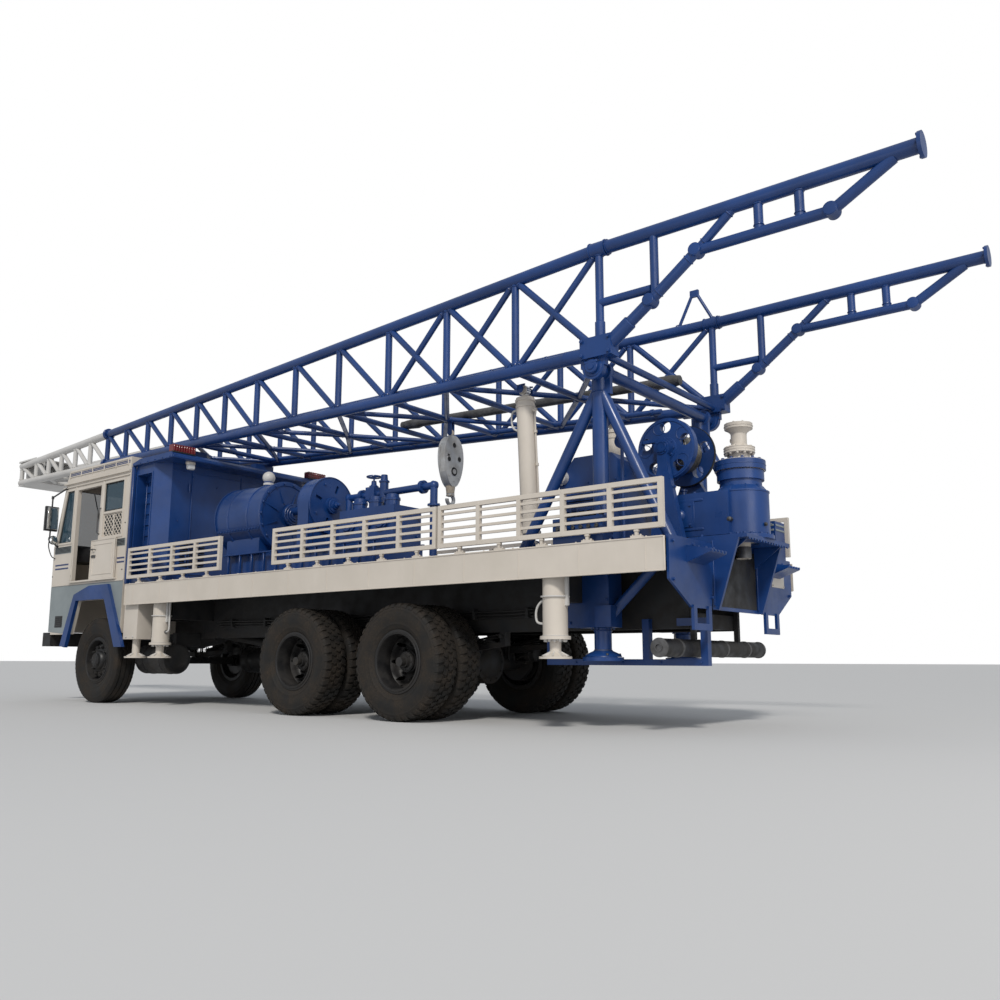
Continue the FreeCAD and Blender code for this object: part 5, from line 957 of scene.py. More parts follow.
def mirror_faces():
    """Convex glass in the mirrors, a small round mirror below and the clamps on the arms."""
    m = Mesh()
    y = 1.225
    m.box((6.364, y + 0.004, 2.235), (6.379, y + 0.166, 2.545), 0.004)
    m.turned((6.36, y + 0.060, 2.10), -X, [(0, 0.058), (0.012, 0.060), (0.020, 0.056)], 32)
    m.look = 1
    m.box((6.352, y + 0.012, 2.245), (6.364, y + 0.158, 2.535), 0.003)
    m.turned((6.341, y + 0.060, 2.10), -X, [(0, 0.052), (0.006, 0.040), (0.009, 0.004)], 32)
    m.look = 0
    for z in (2.12, 2.68):
        m.disc((6.40, 1.31, z - 0.02), Z, 0.017, 0.04, 16, 0.004)
    m.hose([(6.40, 1.31, 2.13), (6.45, 1.29, 2.02), (6.44, 1.25, 1.90), (6.42, 1.205, 1.86)], 0.007)
    m.mirror()
    piece("mirror_faces", m, "plastic mirror")


CUSHION_CELLS = 18
CHANNEL_DEPTH = 0.012


def cushion(mesh, low, high, crown, channels, back):
    """A crowned pad: its sides pull in between the corners and channels run across its face."""
    low, high = Vector(low), Vector(high)
    n = CUSHION_CELLS
    middle, half = (low + high) / 2, (high - low) / 2
    face_axis = 0 if back else 2

    def spot(p):
        total = sum(value ** 4 for value in p)
        rounded = [value * (1 - 0.10 * (total - value ** 4) / 3) for value in p]
        rounded[0] *= (1 - 0.035 * (1 - p[1] * p[1])) if back else 1
        return middle + half * Vector(rounded)
    faces, points = [], []
    for axis, s in product(range(3), BACK_FIRST):
        start = len(points)
        for i, j in product(range(n + 1), repeat=2):
            c = [0, 0, 0]
            c[axis], c[(axis + 1) % 3], c[(axis + 2) % 3] = s, -1 + 2 * i / n, -1 + 2 * j / n
            p = spot(c)
            if axis == face_axis and s > 0:
                lane = abs(math.sin(math.pi * channels * (c[1] + 1) / 2))
                lift = crown * (1 - c[1] ** 4) * (1 - c[2 - axis] ** 4) - CHANNEL_DEPTH * (1 - lane) ** 3
                p[axis] += lift
            points.append(p)
        for i, j in product(range(n), repeat=2):
            a = start + i * (n + 1) + j
            faces.append((a, a + n + 1, a + n + 2, a + 1)[::s])
    mesh.add(points, faces)


def cab_room():
    """Dashboard, steering wheel, levers, lining and the seats' bases."""
    m = Mesh()
    m.bar(1.155, -1.155, [(6.00, 1.81), (6.40, 1.81), (6.415, 2.00), (6.30, 2.035), (6.10, 2.03),
                          (6.02, 1.98), (5.99, 1.90)])
    m.look = 1
    m.bar(-0.42, -0.98, [(5.975, 1.99), (6.06, 2.03), (6.16, 2.10), (6.22, 2.08), (6.20, 2.02)])
    for y in (-0.86, -0.70, -0.54):
        m.look = 3
        m.turned((6.010, y, 2.012), (-0.62, 0, 0.78), [(0, 0.050), (0.008, 0.050), (0.010, 0.044)], 28)
        m.look = 2
        m.turned((6.004, y, 2.020), (-0.62, 0, 0.78), [(0.0, 0.043), (0.001, 0.001)], 28)
    m.look = 1
    wheel = Vector((5.84, DRIVER_Y, 2.125))
    m.ring(wheel, (-0.85, 0, 0.5), 0.225, 0.015, 48, 12)
    m.rod((5.85, DRIVER_Y, 2.120), (6.06, DRIVER_Y, 1.990), 0.030, 16)
    m.disc((5.855, DRIVER_Y, 2.112), (-0.86, 0, 0.5), 0.05, 0.03, 24, 0.006)
    for t in (math.radians(angle) for angle in (90, 210, 330)):
        spoke = Y * math.cos(t) + Vector((0.5, 0, 0.86)) * math.sin(t)
        m.rod((5.845, DRIVER_Y, 2.12), wheel + spoke * 0.222, 0.010)
    m.hose([(5.72, -0.28, 1.48), (5.70, -0.28, 1.75), (5.66, -0.26, 1.96)], 0.010)
    m.ball((5.655, -0.26, 1.98), 0.026)
    for y in (-0.86, -0.72, -0.58):
        m.box((5.96, y - 0.03, 1.55), (5.98, y + 0.03, 1.63), 0.004)
        m.rod((5.975, y, 1.59), (6.08, y, 1.82), 0.008)
    m.look = 4
    m.box((5.02, -1.04, 1.481), (5.54, -0.46, 1.76), 0.02)
    m.box((5.02, -0.24, 1.481), (5.54, 1.04, 1.76), 0.02)
    m.box((4.694, -1.155, 2.972), (6.18, 1.155, 2.985), 0.004)
    m.look = 5
    m.box((4.695, -1.155, 1.50), (4.715, 1.155, 2.60), 0.004)
    m.box((4.695, -1.155, 2.60), (4.720, 1.155, 2.96), 0.006)
    piece("cab_room_fittings", m, "plastic plastic white chrome black trim")
    for name, y0, y1, lanes, stands_for in (("driver", -1.05, -0.45, 4, []),
                                            ("bench", -0.25, 1.05, 8, ["cab_interior"])):
        pad = Mesh()
        cushion(pad, (5.03, y0 + 0.005, 1.765), (5.555, y1 - 0.005, 1.885), 0.018, lanes, False)
        cushion(pad, (4.995, y0 + 0.01, 1.90), (5.115, y1 - 0.01, 2.47), 0.020, lanes, True)
        item = piece("%s_seat_cushions" % name, pad, "seat", smooth=80, replaces=stands_for)


cab_sides()
cab_mesh_grille()
seals()
cab_front()
cab_roof_and_back()
half_door_trim("left", 1)
half_door_trim("right", -1)
mirror_faces()
cab_room()


# ------------------------------------------------------------------ cabinet and deck
ROOF_EDGE_Y = 1.19
DECK_TOP_Z = 1.423
SKIRT_Y = 1.24
RAIL_RUNS = ((2.650, 4.520, 4), (-0.500, 1.750, 5), (-2.700, -0.525, 5))
REAR_JACK_X = -1.66
SECOND_JACK_X = 3.92
FRONT_JACK_X = 4.43
JACK_Y = 1.10


def cabinet_details():
    """Ribbed recess, roof edge, door seams, hinges and rivets on the blue cabinet."""
    m = Mesh()
    for z in (1.62 + i * 0.135 for i in range(9)):
        m.box((4.245, 1.031, z), (4.555, 1.044, z + 0.085), 0.012)
    for x in (4.28, 4.40, 4.52):
        m.box((x - 0.006, 1.029, 1.56), (x + 0.006, 1.052, 2.77), 0.003)
    frame_strip(m, (4.240, 4.560), (1.543, 2.780), 1.15, 0.018, 0.006)
    m.mirror()
    for y in (-0.72, 0.0, 0.72):
        m.box((4.038, y - 0.006, 1.50), (4.052, y + 0.006, 2.86), 0.002)
    for z in (1.56, 2.82):
        m.box((4.040, -0.99, z - 0.006), (4.052, 0.99, z + 0.006), 0.002)
    m.bolts(4.05, (-0.9, -0.36, 0.36, 0.9), (1.70, 2.20, 2.68), -X, 0.014)
    for y, z in product((-0.76, 0.76), (1.75, 2.62)):
        m.rod((4.040, y, z - 0.05), (4.040, y, z + 0.05), 0.011)
    for out in SIDES:
        m.box((3.752, out * ROOF_EDGE_Y, 2.902), (4.60, out * 1.203, 2.930), 0.004)
        m.bolts((3.80, 3.96, 4.12, 4.28, 4.44), out * 1.203, 2.916, out * Y, 0.012)
    m.box((3.745, -ROOF_EDGE_Y, 2.905), (3.757, ROOF_EDGE_Y, 2.930), 0.004)
    m.look = 1
    for y in (-0.30, 0.30):
        m.box((4.028, y - 0.014, 2.10), (4.052, y + 0.014, 2.24), 0.005)
    for i, y in product(range(10), (-0.60, 0.50)):
        z = 1.64 + i * 0.030
        m.plate([(4.051, y, z), (4.051, y + 0.34, z), (4.036, y + 0.34, z + 0.016), (4.036, y, z + 0.016)],
                0.003)
    piece("cabinet_details", m, "blue plastic")
    lamp, lens = Mesh(), Mesh()
    for out in SIDES:
        y = 0.90 * out
        lamp.look = 0
        lamp.box((3.80, y - 0.055, 2.86), (3.86, y + 0.055, 2.902), 0.010)
        lamp.look = 1
        lamp.box((3.792, y - 0.050, 2.80), (3.852, y + 0.050, 2.868), 0.014)
        lens.look = 0
        for y in (out * (0.893 + i * 0.034) for i in range(9)):
            lens.box((3.763, y - 0.011, 2.980), (3.868, y + 0.011, 3.070), 0.008)
        lens.look = 1
        lens.box((3.766, out * 0.876, 2.966), (3.866, out * 1.184, 2.986), 0.005)
    piece("canopy_lamps", lamp, "cream lamp_clear")
    piece("marker_lamp_lenses", lens, "lamp_red plastic")


def deck_details():
    """Chequer plate on the deck, the skirt's seams and rivets, and the feet of the railings."""
    m = Mesh()
    m.box((-2.685, -1.19, DECK_TOP_Z), (4.52, 1.19, DECK_TOP_Z + 0.0032))
    piece("deck_chequer_plate", m, "chequer")
    m = Mesh()
    y = SKIRT_Y
    for x in (-2.55 + i * 0.575 for i in range(13)):
        m.box((x - 0.004, y, 1.19), (x + 0.004, y + 0.0025, 1.40))
    for x in (-2.708, 4.519):
        m.box((x, y - 0.002, 1.177), (x + 0.010, y + 0.006, 1.424), 0.002)
    for z in (1.178, 1.422):
        m.rod((-2.70, y + 0.001, z), (4.52, y + 0.001, z), 0.006, 8)
    m.bolts([-2.55 + i * 0.305 for i in range(24)], y - 0.022, 1.429, Z, 0.012)
    m.mirror()
    piece("skirt_seams", m, "cream")
    m = Mesh()
    for rear, front, bays in RAIL_RUNS:
        step = (front - rear - 0.038) / bays
        for i, z in product(range(bays + 1), (1.509, 1.841)):
            m.turned((rear + 0.019 + i * step, 1.241, z), -Y, [(0, 0.013), (0.004, 0.016)], 8)
        for x in (rear + (i + 0.5) * step + 0.012 for i in range(bays)):
            m.bolts((x - 0.032, x + 0.032), 1.221, 1.443, Z, 0.013)
            m.box((x - 0.020, 1.206, 1.470), (x + 0.020, 1.238, 1.492), 0.005)
    m.mirror()
    piece("railing_feet", m, "cream")


def hose(name, points, diameter, body="vehicle"):
    """A white hose on one NURBS line, fixed to the rig at both ends."""
    curve = bpy.data.curves.new(name, "CURVE")
    curve.dimensions = "3D"
    spline = curve.splines.new("NURBS")
    spline.points.add(len(points) - 1)
    for knot, point in zip(spline.points, points):
        knot.co = (*at(*point), 1)
    spline.order_u = 3
    spline.use_endpoint_u = True
    curve.resolution_u = 8
    item = put_in_scene(name, curve)
    bare = bpy.data.meshes.new_from_object(item)
    ends = ([bare.vertices[i].co for i in edge.vertices] for edge in bare.edges)
    length = sum((a - b).length for a, b in ends)
    bpy.data.meshes.remove(bare)
    curve.bevel_depth = diameter / 2
    curve.bevel_resolution = 3
    curve.materials.append(MATS["white"])
    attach(item, body)


def jack_hoses():
    """White hoses that loop beside the round jacks, and their fittings."""
    m = Mesh()
    rear, second = REAR_JACK_X, SECOND_JACK_X
    loops = (("rear", rear, ((0.112, 1.010), (0.150, 0.995), (0.185, 0.940), (0.188, 0.870), (0.170, 0.828),
                             (0.112, 0.825))),
             ("second", second, ((-0.155, 1.285), (-0.160, 1.10), (-0.165, 0.95), (-0.168, 0.885),
                                 (-0.150, 0.850), (-0.112, 0.848))))
    for side, out in (("left", 1), ("right", -1)):
        y = out * JACK_Y
        for name, jack, points in loops:
            hose("%s_%s_jack_hose" % (side, name), [(jack + dx, y, z) for dx, z in points], 0.020)
        for x, way, z in ((rear, 1, 1.010), (rear, 1, 0.825), (second, -1, 0.848)):
            m.hexagon((x + way * 0.090, y, z), way * X, 0.021, 0.020, 0.014)
        m.turned((second - 0.155, y, 1.295), -Z, [(-0.01, 0.020), (0.010, 0.020), (0.014, 0.013)], 6)
    piece("jack_hose_fittings", m, "steel")


def chassis_lines():
    """Three clamped pipes along each chassis rail."""
    m = Mesh()
    for i, y in enumerate((0.452, 0.470, 0.488)):
        z = 0.93 + 0.028 * i
        m.hose([(-1.0, y, z), (-0.6, y + 0.004, z - 0.01), (0.7, y, z), (2.4, y + 0.006, z - 0.012),
                (3.7, y, z)], 0.008)
    for x in (-0.95 + i * 0.62 for i in range(8)):
        m.box((x, 0.431, 0.91), (x + 0.03, 0.503, 1.005), 0.004)
    m.mirror()
    piece("chassis_lines", m, "rubber")


cabinet_details()
deck_details()
jack_hoses()
chassis_lines()


# ------------------------------------------------------------------ mud pump
PUMP_DRUM = Vector((2.40, 0.55, 2.13))
PUMP_DRUM_END_X = 3.19
PUMP_DRUM_R = 0.385
PUMP_SEAM_TILT = math.radians(-24)
GEAR_CASE = Vector((1.69, 0.51, 2.19))
GEAR_CASE_R = 0.312
PIPE_RUN_Y = 0.40
PIPE_RUN_Z = 2.27
VALVE_X = 1.155
CYLINDER_SHARES = (0.2, 0.5, 0.8)


def pump_drum(m):
    """The pump's belt guard: end rims with bolts and ribs, hoops, and two bolted seams along it."""
    r = PUMP_DRUM_R
    for x, out in ((PUMP_DRUM.x, -1), (PUMP_DRUM_END_X, 1)):
        middle = Vector((x, PUMP_DRUM.y, PUMP_DRUM.z))
        axis = out * X
        m.turned(middle, axis, [(0, r + 0.016), (0.012, r + 0.016), (0.018, r + 0.008), (0.018, r - 0.03),
                                (0.010, r - 0.04)], 72)
        m.ring_of_bolts(middle + axis * 0.018, axis, r - 0.012, 18, 0.022)
        for angle in (math.tau * (i + 0.5) / 8 for i in range(8)):
            u = Vector((0, math.cos(angle), math.sin(angle)))
            side = Vector((0, -u.z, u.y)) * 0.006
            m.sweep([[p - side, p + side, p + side + axis * deep, p - side + axis * deep]
                     for p, deep in ((middle + u * 0.16, 0.028), (middle + u * (r - 0.045), 0.0112))])
    for x in (2.62, 2.97):
        m.tube((x, PUMP_DRUM.y, PUMP_DRUM.z), X, [(0, r + 0.001), (0.004, r + 0.010), (0.026, r + 0.010),
                                                  (0.030, r + 0.001)], 72)
    for turn in (PUMP_SEAM_TILT, PUMP_SEAM_TILT + math.pi):
        u = Vector((0, math.cos(turn), math.sin(turn)))
        t = Vector((0, -u.z, u.y))
        for i in range(15):
            m.bolt(PUMP_DRUM + X * (0.03 + i * 0.052) + u * (r + 0.010), u, 0.018)
        foot = PUMP_DRUM + u * (r + 0.002)
        for s in BACK_FIRST:
            m.sweep([[foot + X * along_x + t * s * across + u * up for across, up in
                      ((0.003, 0), (0.022, 0), (0.022, 0.010), (0.003, 0.010))] for along_x in (0.01, 0.78)])


def gear_case(m):
    """The gear case between drum and pump: its seams, shaft end, cover bolts and side strap."""
    x, y, z = GEAR_CASE
    for seam in (0, 0.195):
        m.ring(GEAR_CASE + X * seam, X, GEAR_CASE_R - 0.002, 0.007, 72, 8)
    m.turned((x - 0.040, y, z), -X, [(0, 0.076), (0.010, 0.072), (0.014, 0.046), (0.034, 0.044)], 40)
    m.hexagon((x - 0.074, y, z), -X, 0.034, 0.022, 0.028)
    m.turned((x - 0.100, y, z), -X, [(0, 0.018), (0.030, 0.018), (0.034, 0.013)], 16)
    for angle in (math.radians(65 + 90 * i) for i in range(4)):
        m.bolt((x - 0.001, y + 0.245 * math.cos(angle), z + 0.245 * math.sin(angle)), -X, 0.020)
    m.plate([(x + 0.02, y + dy, pz)
             for dy, pz in ((0.236, 1.73), (0.312, 1.73), (0.306, 2.13), (0.236, 2.0))], 0.006)
    m.sweep([[(x + dx, y + dy, pz)
              for dx, dy in ((0.01, 0.3105), (0.01, 0.316), (0.18, 0.316), (0.18, 0.3105))]
             for pz in (1.715, 2.20)])


def pump_covers(m):
    """Shaft collars, valve caps and cylinder covers, and the ribbed sides of the base."""
    for radius, step in ((0.132, 0.006), (0.108, 0.016), (0.082, 0.030), (0.056, 0.040)):
        m.turned((2.352 - step, 0.49, 2.15), X, [(0, radius - 0.006), (0.006, radius), (0.03, radius)], 48)
    m.ring_of_bolts((2.350, 0.49, 2.15), -X, 0.119, 10, 0.016)
    for x in (0.6 + 0.8 * share for share in CYLINDER_SHARES):
        m.turned((x, 0.51, 2.15), Z,
                 [(0, 0.082), (0.020, 0.082), (0.026, 0.070), (0.060, 0.066), (0.066, 0.055)], 32)
        m.ring_of_bolts((x, 0.51, 2.17), Z, 0.073, 6, 0.014)
        cover = [(0, 0.085), (0.022, 0.085), (0.028, 0.072)]
        m.turned((x, 0.652, 1.92), Y, cover + [(0.046, 0.064)], 32)
        m.ring_of_bolts((x, 0.674, 1.92), Y, 0.075, 8, 0.013)
        m.turned((x, 0.246, 1.92), -Y, cover, 32)
    for x, way in ((0.60, -X), (1.40, X)):
        m.bolts(x, (0.31, 0.59), (1.78, 1.98), way, 0.028)
    rear, front = 0.60, 3.13
    for y, s in ((0.82, 1), (0.22, -1)):
        for x in (rear + 0.08 + i * (front - rear - 0.16) / 11 for i in range(12)):
            m.box((x - 0.008, y, 1.44), (x + 0.008, y + s * 0.030, 1.70), 0.003)
        m.box((rear, y, 1.697), (front, y + s * 0.034, 1.715), 0.003)
        m.box((rear, y, 1.4265), (front, y + s * 0.050, 1.440), 0.003)
        m.bolts([rear + 0.2 + i * 0.37 for i in range(7)], y + s * 0.030, 1.440, Z, 0.022)


def pump_pipes(m):
    """Flange pairs, elbows, the relief valve and the hand wheel of the pump's pipe run."""
    y, z = PIPE_RUN_Y, PIPE_RUN_Z
    for x in (0.42, 1.30):
        for start in (x, x + 0.021):
            m.disc((start, y, z), X, 0.068, 0.018, 32)
        m.ring_of_bolts((x, y, z), -X, 0.055, 6, 0.013)
        m.ring_of_bolts((x + 0.039, y, z), X, 0.055, 6, 0.013)
    for foot in (1.48, 2.06):
        m.disc((0.29, y, foot), Z, 0.064, 0.018, 32)
        m.ring_of_bolts((0.29, y, foot + 0.018), Z, 0.052, 6, 0.012)
    for x in (0.29, 1.53):
        m.turned((x, y, z), -Y, [(-0.02, 0.046), (0.02, 0.046)], 24)
    m.turned((1.0, y, 2.385), Z, [(0, 0.056), (0.016, 0.056), (0.022, 0.040), (0.080, 0.034)], 32)
    m.turned((VALVE_X, y, 2.342), Z, [(0, 0.050), (0.02, 0.050), (0.026, 0.030), (0.075, 0.026)], 24)
    m.rod((VALVE_X, y, 2.40), (VALVE_X, y, 2.475), 0.010)
    hand_wheel = Vector((VALVE_X, y, 2.462))
    m.ring(hand_wheel, Z, 0.075, 0.009, 36, 8)
    for angle in (math.tau * i / 4 + 0.4 for i in range(4)):
        m.rod(hand_wheel, hand_wheel + Vector((math.cos(angle), math.sin(angle), 0)) * 0.072, 0.006, 8)
    m.ring_of_bolts((VALVE_X, y, 2.362), Z, 0.04, 4, 0.012)


def mud_pump_details():
    """Everything bolted to the mud pump, and its white breather."""
    m = Mesh()
    for part_of in (pump_drum, gear_case, pump_covers, pump_pipes):
        part_of(m)
    piece("mud_pump_fittings", m, "blue")
    dome = Mesh()
    dome.ball((2.755, PUMP_DRUM.y, 2.625), 0.073, 28)
    dome.turned((2.755, PUMP_DRUM.y, 2.535), Z, [(0, 0.061), (0.022, 0.061), (0.030, 0.050), (0.040, 0.048)],
                32)
    piece("pump_breather", dome, "white")


mud_pump_details()


# ------------------------------------------------------------------ mast
PANELS = (0.90, 0.85, 0.82, 0.79, 0.77, 0.75, 0.69, 0.65, 0.64, 0.63, 0.62, 0.56, 0.56, 0.51, 0.50, 0.48,
          0.48, 0.59)
WHITE_FROM = 12
CROSSED_BAYS = 3
MAST_ROOT_X = -2.09
HINGE_X = -2.03
HINGE_Z = 2.86
MAST_ROOT_Y = 1.055
MAST_LENGTH = 11.79
CHORD_R = 0.054
TIP_JOINT_X = 6.58
CROWN_SHEAVE = Vector((9.442, 0, 3.581))
SHEAVE_YS = (-0.07, 0, 0.07)
LIFT_EYE = Vector((-1.10, 0, 2.915))
LIFT_FOOT = Vector((-1.17, 0, 1.50))
LIFT_Y = 0.74


def taper(x, root, tip):
    """A value that changes evenly from the mast's root to its tip."""
    return root + (tip - root) * (x - MAST_ROOT_X) / MAST_LENGTH


def low(x, side):
    """The lower chord's centre at x."""
    return Vector((x, side * taper(x, MAST_ROOT_Y, 0.301), taper(x, 2.972, 3.426)))


def high(x, side):
    """The upper chord's centre at x."""
    return Vector((x, side * taper(x, MAST_ROOT_Y, 0.301), taper(x, 3.851, 3.707)))


def bead(mesh, a, b, radius, chord=CHORD_R):
    """A weld bead where a brace meets the chord at each of its ends."""
    a, b = Vector(a), Vector(b)
    run = (b - a).normalized()
    slope = max(0.35, math.sqrt(max(0.0, 1 - run.x * run.x)))
    for end, way in ((a, run), (b, -run)):
        mesh.ring(end + way * (chord / slope + 0.004), way, radius + 0.001, 0.006, 18, 6)


def mast_welds():
    """Weld beads at the lattice's joints and on the root's frames, with the root's pin collars."""
    places = [MAST_ROOT_X + sum(PANELS[:i]) for i in range(len(PANELS) + 1)]
    bays = list(enumerate(zip(places, places[1:])))
    blue, white = Mesh(), Mesh()
    for side in SIDES:
        for i, x in enumerate(places):
            bead(blue if i <= WHITE_FROM else white, low(x, side), high(x, side), 0.034)
        for i, (rear, front) in bays:
            bead(blue if i < WHITE_FROM else white, low(rear, side), high(front, side), 0.031)
            if i < CROSSED_BAYS:
                bead(blue, high(rear, side), low(front, side), 0.028)
        for i, ends in bays:
            end, point = ends[::-1] if i % 2 else ends
            middle = Vector((point, 0, low(point, 1).z))
            bead(blue if i < WHITE_FROM else white, low(end, side), middle, 0.0255, 0.034)
        y = side * MAST_ROOT_Y
        for a, b, radius in (((-2.55, y, 3.292), (-2.95, y, 3.59), 0.042),
                             ((-2.95, y, 3.59), (-3.28, y, 3.86), 0.034),
                             ((-3.44, y, 3.59), (-3.44, y, 3.86), 0.034),
                             ((-3.74, y, 3.59), (-3.74, y, 3.86), 0.034)):
            bead(blue, a, b, radius, 0.05)
        for (x, z), s in product(((-2.55, 3.292), (-2.95, 3.59), (-3.96, 3.59)), SIDES):
            blue.turned((x, y + s * 0.050, z), s * Y, [(0, 0.047), (0.004, 0.044), (0.006, 0.030)], 24)
    piece("mast_weld_beads", blue, "blue", body="mast")
    piece("mast_tip_weld_beads", white, "white", body="mast")


def mast_joints():
    """Sleeves and bolts at the hinge, and the flanged joint where the white tip begins."""
    m = Mesh()
    for side in SIDES:
        y = side * MAST_ROOT_Y
        root, top = Vector((MAST_ROOT_X, y, 2.972)), Vector((MAST_ROOT_X, y, 3.851))
        for s in BACK_FIRST:
            m.bolts((root.x - 0.11, root.x + 0.14), y + s * 0.064, (root.z - 0.02, root.z + 0.10), s * Y,
                    0.026)
            m.turned((HINGE_X, y + s * 0.025, HINGE_Z), s * Y,
                     [(0, 0.082), (0.006, 0.078), (0.006, 0.058)], 36)
        for way, start, end, sleeve in (((0, 0, 1), 0.10, 0.26, 0.042), ((1, 0, 0.0385), 0.12, 0.34, 0.060),
                                        ((-0.82, 0, 0.571), 0.08, 0.34, 0.058)):
            way = Vector(way).normalized()
            reach = end - start
            m.tube(root + way * start, way, [(0, sleeve), (reach - 0.006, sleeve), (reach, sleeve - 0.006)],
                   36)
        m.tube(top - X * 0.085, -X, [(0, 0.064), (0.004, 0.064), (0.004, 0.056)], 28)
        for x in (-0.074, 0.066):
            m.tube(top + X * x, X, [(0, 0.064), (0.002, 0.069), (0.008, 0.069), (0.010, 0.064)], 32)
        foot = Vector((-4.540, y, 3.86))
        m.ring_of_bolts(foot, X, 0.074, 6, 0.018)
        m.ring(foot + X * 0.004, X, 0.056, 0.006, 28, 6)
        for point in (low(TIP_JOINT_X, side), high(TIP_JOINT_X, side)):
            for step in (-0.022, 0.004):
                m.turned(point + X * step, X, [(0, 0.080), (0.003, 0.083), (0.015, 0.083), (0.018, 0.080)],
                         32)
            m.ring_of_bolts(point - X * 0.022, -X, 0.068, 8, 0.015)
            m.ring_of_bolts(point + X * 0.022, X, 0.068, 8, 0.015)
        for s in BACK_FIRST:
            y = side * LIFT_Y + s * 0.050
            m.turned((LIFT_EYE.x, y + s * 0.020, LIFT_EYE.z), s * Y,
                     [(0, 0.036), (0.004, 0.036), (0.006, 0.030)], 28)
            m.box((-1.13, y, 2.945), (-1.07, y + s * 0.010, 2.965), 0.003)
            m.bolts((-1.138, -1.062), y + s * 0.006, 2.955, s * Y, 0.013)
    piece("mast_joint_fittings", m, "blue", body="mast")


def mast_lines():
    """Pipes clamped along the inside of the mast: two hydraulic lines and the mud standpipe."""
    m = Mesh()
    for side, radius, drop, gap in ((1, 0.011, 0.072, 0.084), (1, 0.011, 0.072, 0.116),
                                    (-1, 0.030, 0.0, 0.146)):
        shift = Vector((0, -side * gap, drop))
        m.rod(low(-1.6, side) + shift, low(5.6, side) + shift, radius, 14)
    for x in (-1.5 + i * 0.63 for i in range(12)):
        p, q = low(x, 1), low(x, -1)
        m.box((x - 0.015, p.y - 0.135, p.z + 0.052), (x + 0.015, p.y - 0.03, p.z + 0.090), 0.004)
        m.box((x - 0.018, q.y + 0.040, q.z - 0.012), (x + 0.018, q.y + 0.185, q.z + 0.002), 0.003)
        m.disc((x - 0.016, q.y + 0.146, q.z), X, 0.037, 0.032, 20)
        m.bolt((x, q.y + 0.095, q.z + 0.002), Z, 0.014)
    piece("mast_pipes", m, "blue", body="mast")
    pipe = Mesh()
    a, b = (Vector((x, -0.2, taper(x, 2.972, 3.426) + 0.0753)) for x in (-2.15, 1.33))
    run = (b - a).normalized()
    pipe.turned(a - run * 0.004, run,
                [(0, 0.030), (0.0, 0.044), (0.09, 0.058), (0.22, 0.058), (0.26, 0.0455)], 32)
    pipe.turned(b + run * 0.004, -run,
                [(0, 0.028), (0.0, 0.036), (0.08, 0.050), (0.24, 0.058), (0.30, 0.0455)], 32)
    for i in range(7):
        radius = 0.037 + 0.0018 * i
        pipe.turned(b + run * (0.004 - 0.012 * i), -run, [(0, radius), (0.006, radius + 0.003)], 28)
    piece("drill_pipe_tool_joints", pipe, "steel", body="mast")


def crown_details():
    """The crown's grooved sheaves, pins, plates and bolts in white."""
    m = Mesh()
    x, z = CROWN_SHEAVE.x, CROWN_SHEAVE.z
    for y in SHEAVE_YS:
        m.look = 0
        for s in BACK_FIRST:
            m.turned((x, y + s * 0.018, z), s * Y,
                     [(0, 0.152), (0.003, 0.148), (0.003, 0.120), (0.0005, 0.110),
                      (0.0005, 0.060), (0.010, 0.055), (0.010, 0.034)], 48)
        m.look = 1
        m.ring((x, y, z), Y, 0.1505, 0.007, 56, 8)
    m.look = 0
    for s in BACK_FIRST:
        y = s * 0.228
        for px, pz in ((9.13, 3.42), (9.13, 3.70), (9.66, 3.42), (9.66, 3.70), (9.40, 3.42), (9.30, 3.72)):
            m.bolt((px, y, pz), s * Y, 0.024)
        m.turned((x, y, z), s * Y,
                 [(0, 0.062), (0.012, 0.062), (0.016, 0.054), (0.016, 0.036), (0.030, 0.034)], 36)
        m.ring_of_bolts((x, s * 0.240, z), s * Y, 0.049, 6, 0.012)
        for px in (9.20, 9.62):
            m.turned((px, s * 0.2282, 3.56), s * Y, [(0, 0.060), (0.006, 0.057), (0.006, 0.045)], 28)
    m.bolts([9.14 + i * 0.105 for i in range(6)], (-0.30, -0.1, 0.1, 0.30), 3.769, Z, 0.018)
    for y in (-0.362, 0.352):
        m.box((9.10, y, 3.757), (9.706, y + 0.010, 3.783), 0.003)
    piece("crown_fittings", m, "white steel", body="mast")


def guide_rope():
    """The shackle and eye on the rope guide at the right-hand chord."""
    m = Mesh()
    m.ring((-1.92, -1.055, 4.222), Y, 0.012, 0.004, 20, 6)
    m.turned((-1.92, -1.071, 4.205), -Y, [(0, 0.020), (0.008, 0.020), (0.008, 0.012)], 20)
    for foot, lean in ((-1.72, 0.4), (-2.13, -0.4)):
        m.ring((foot, -1.043, 3.908), (lean, 0, 0.9), 0.017, 0.005, 16, 6)
    piece("rope_guide_fittings", m, "blue", body="mast")


mast_welds()
mast_joints()
mast_lines()
crown_details()
guide_rope()


# ------------------------------------------------------------------ raising frame and cylinders
FRAME_Y = 0.9
REST_POST_X = -1.98
BASE_PLATE_Z = 1.437
BARREL_R = 0.082


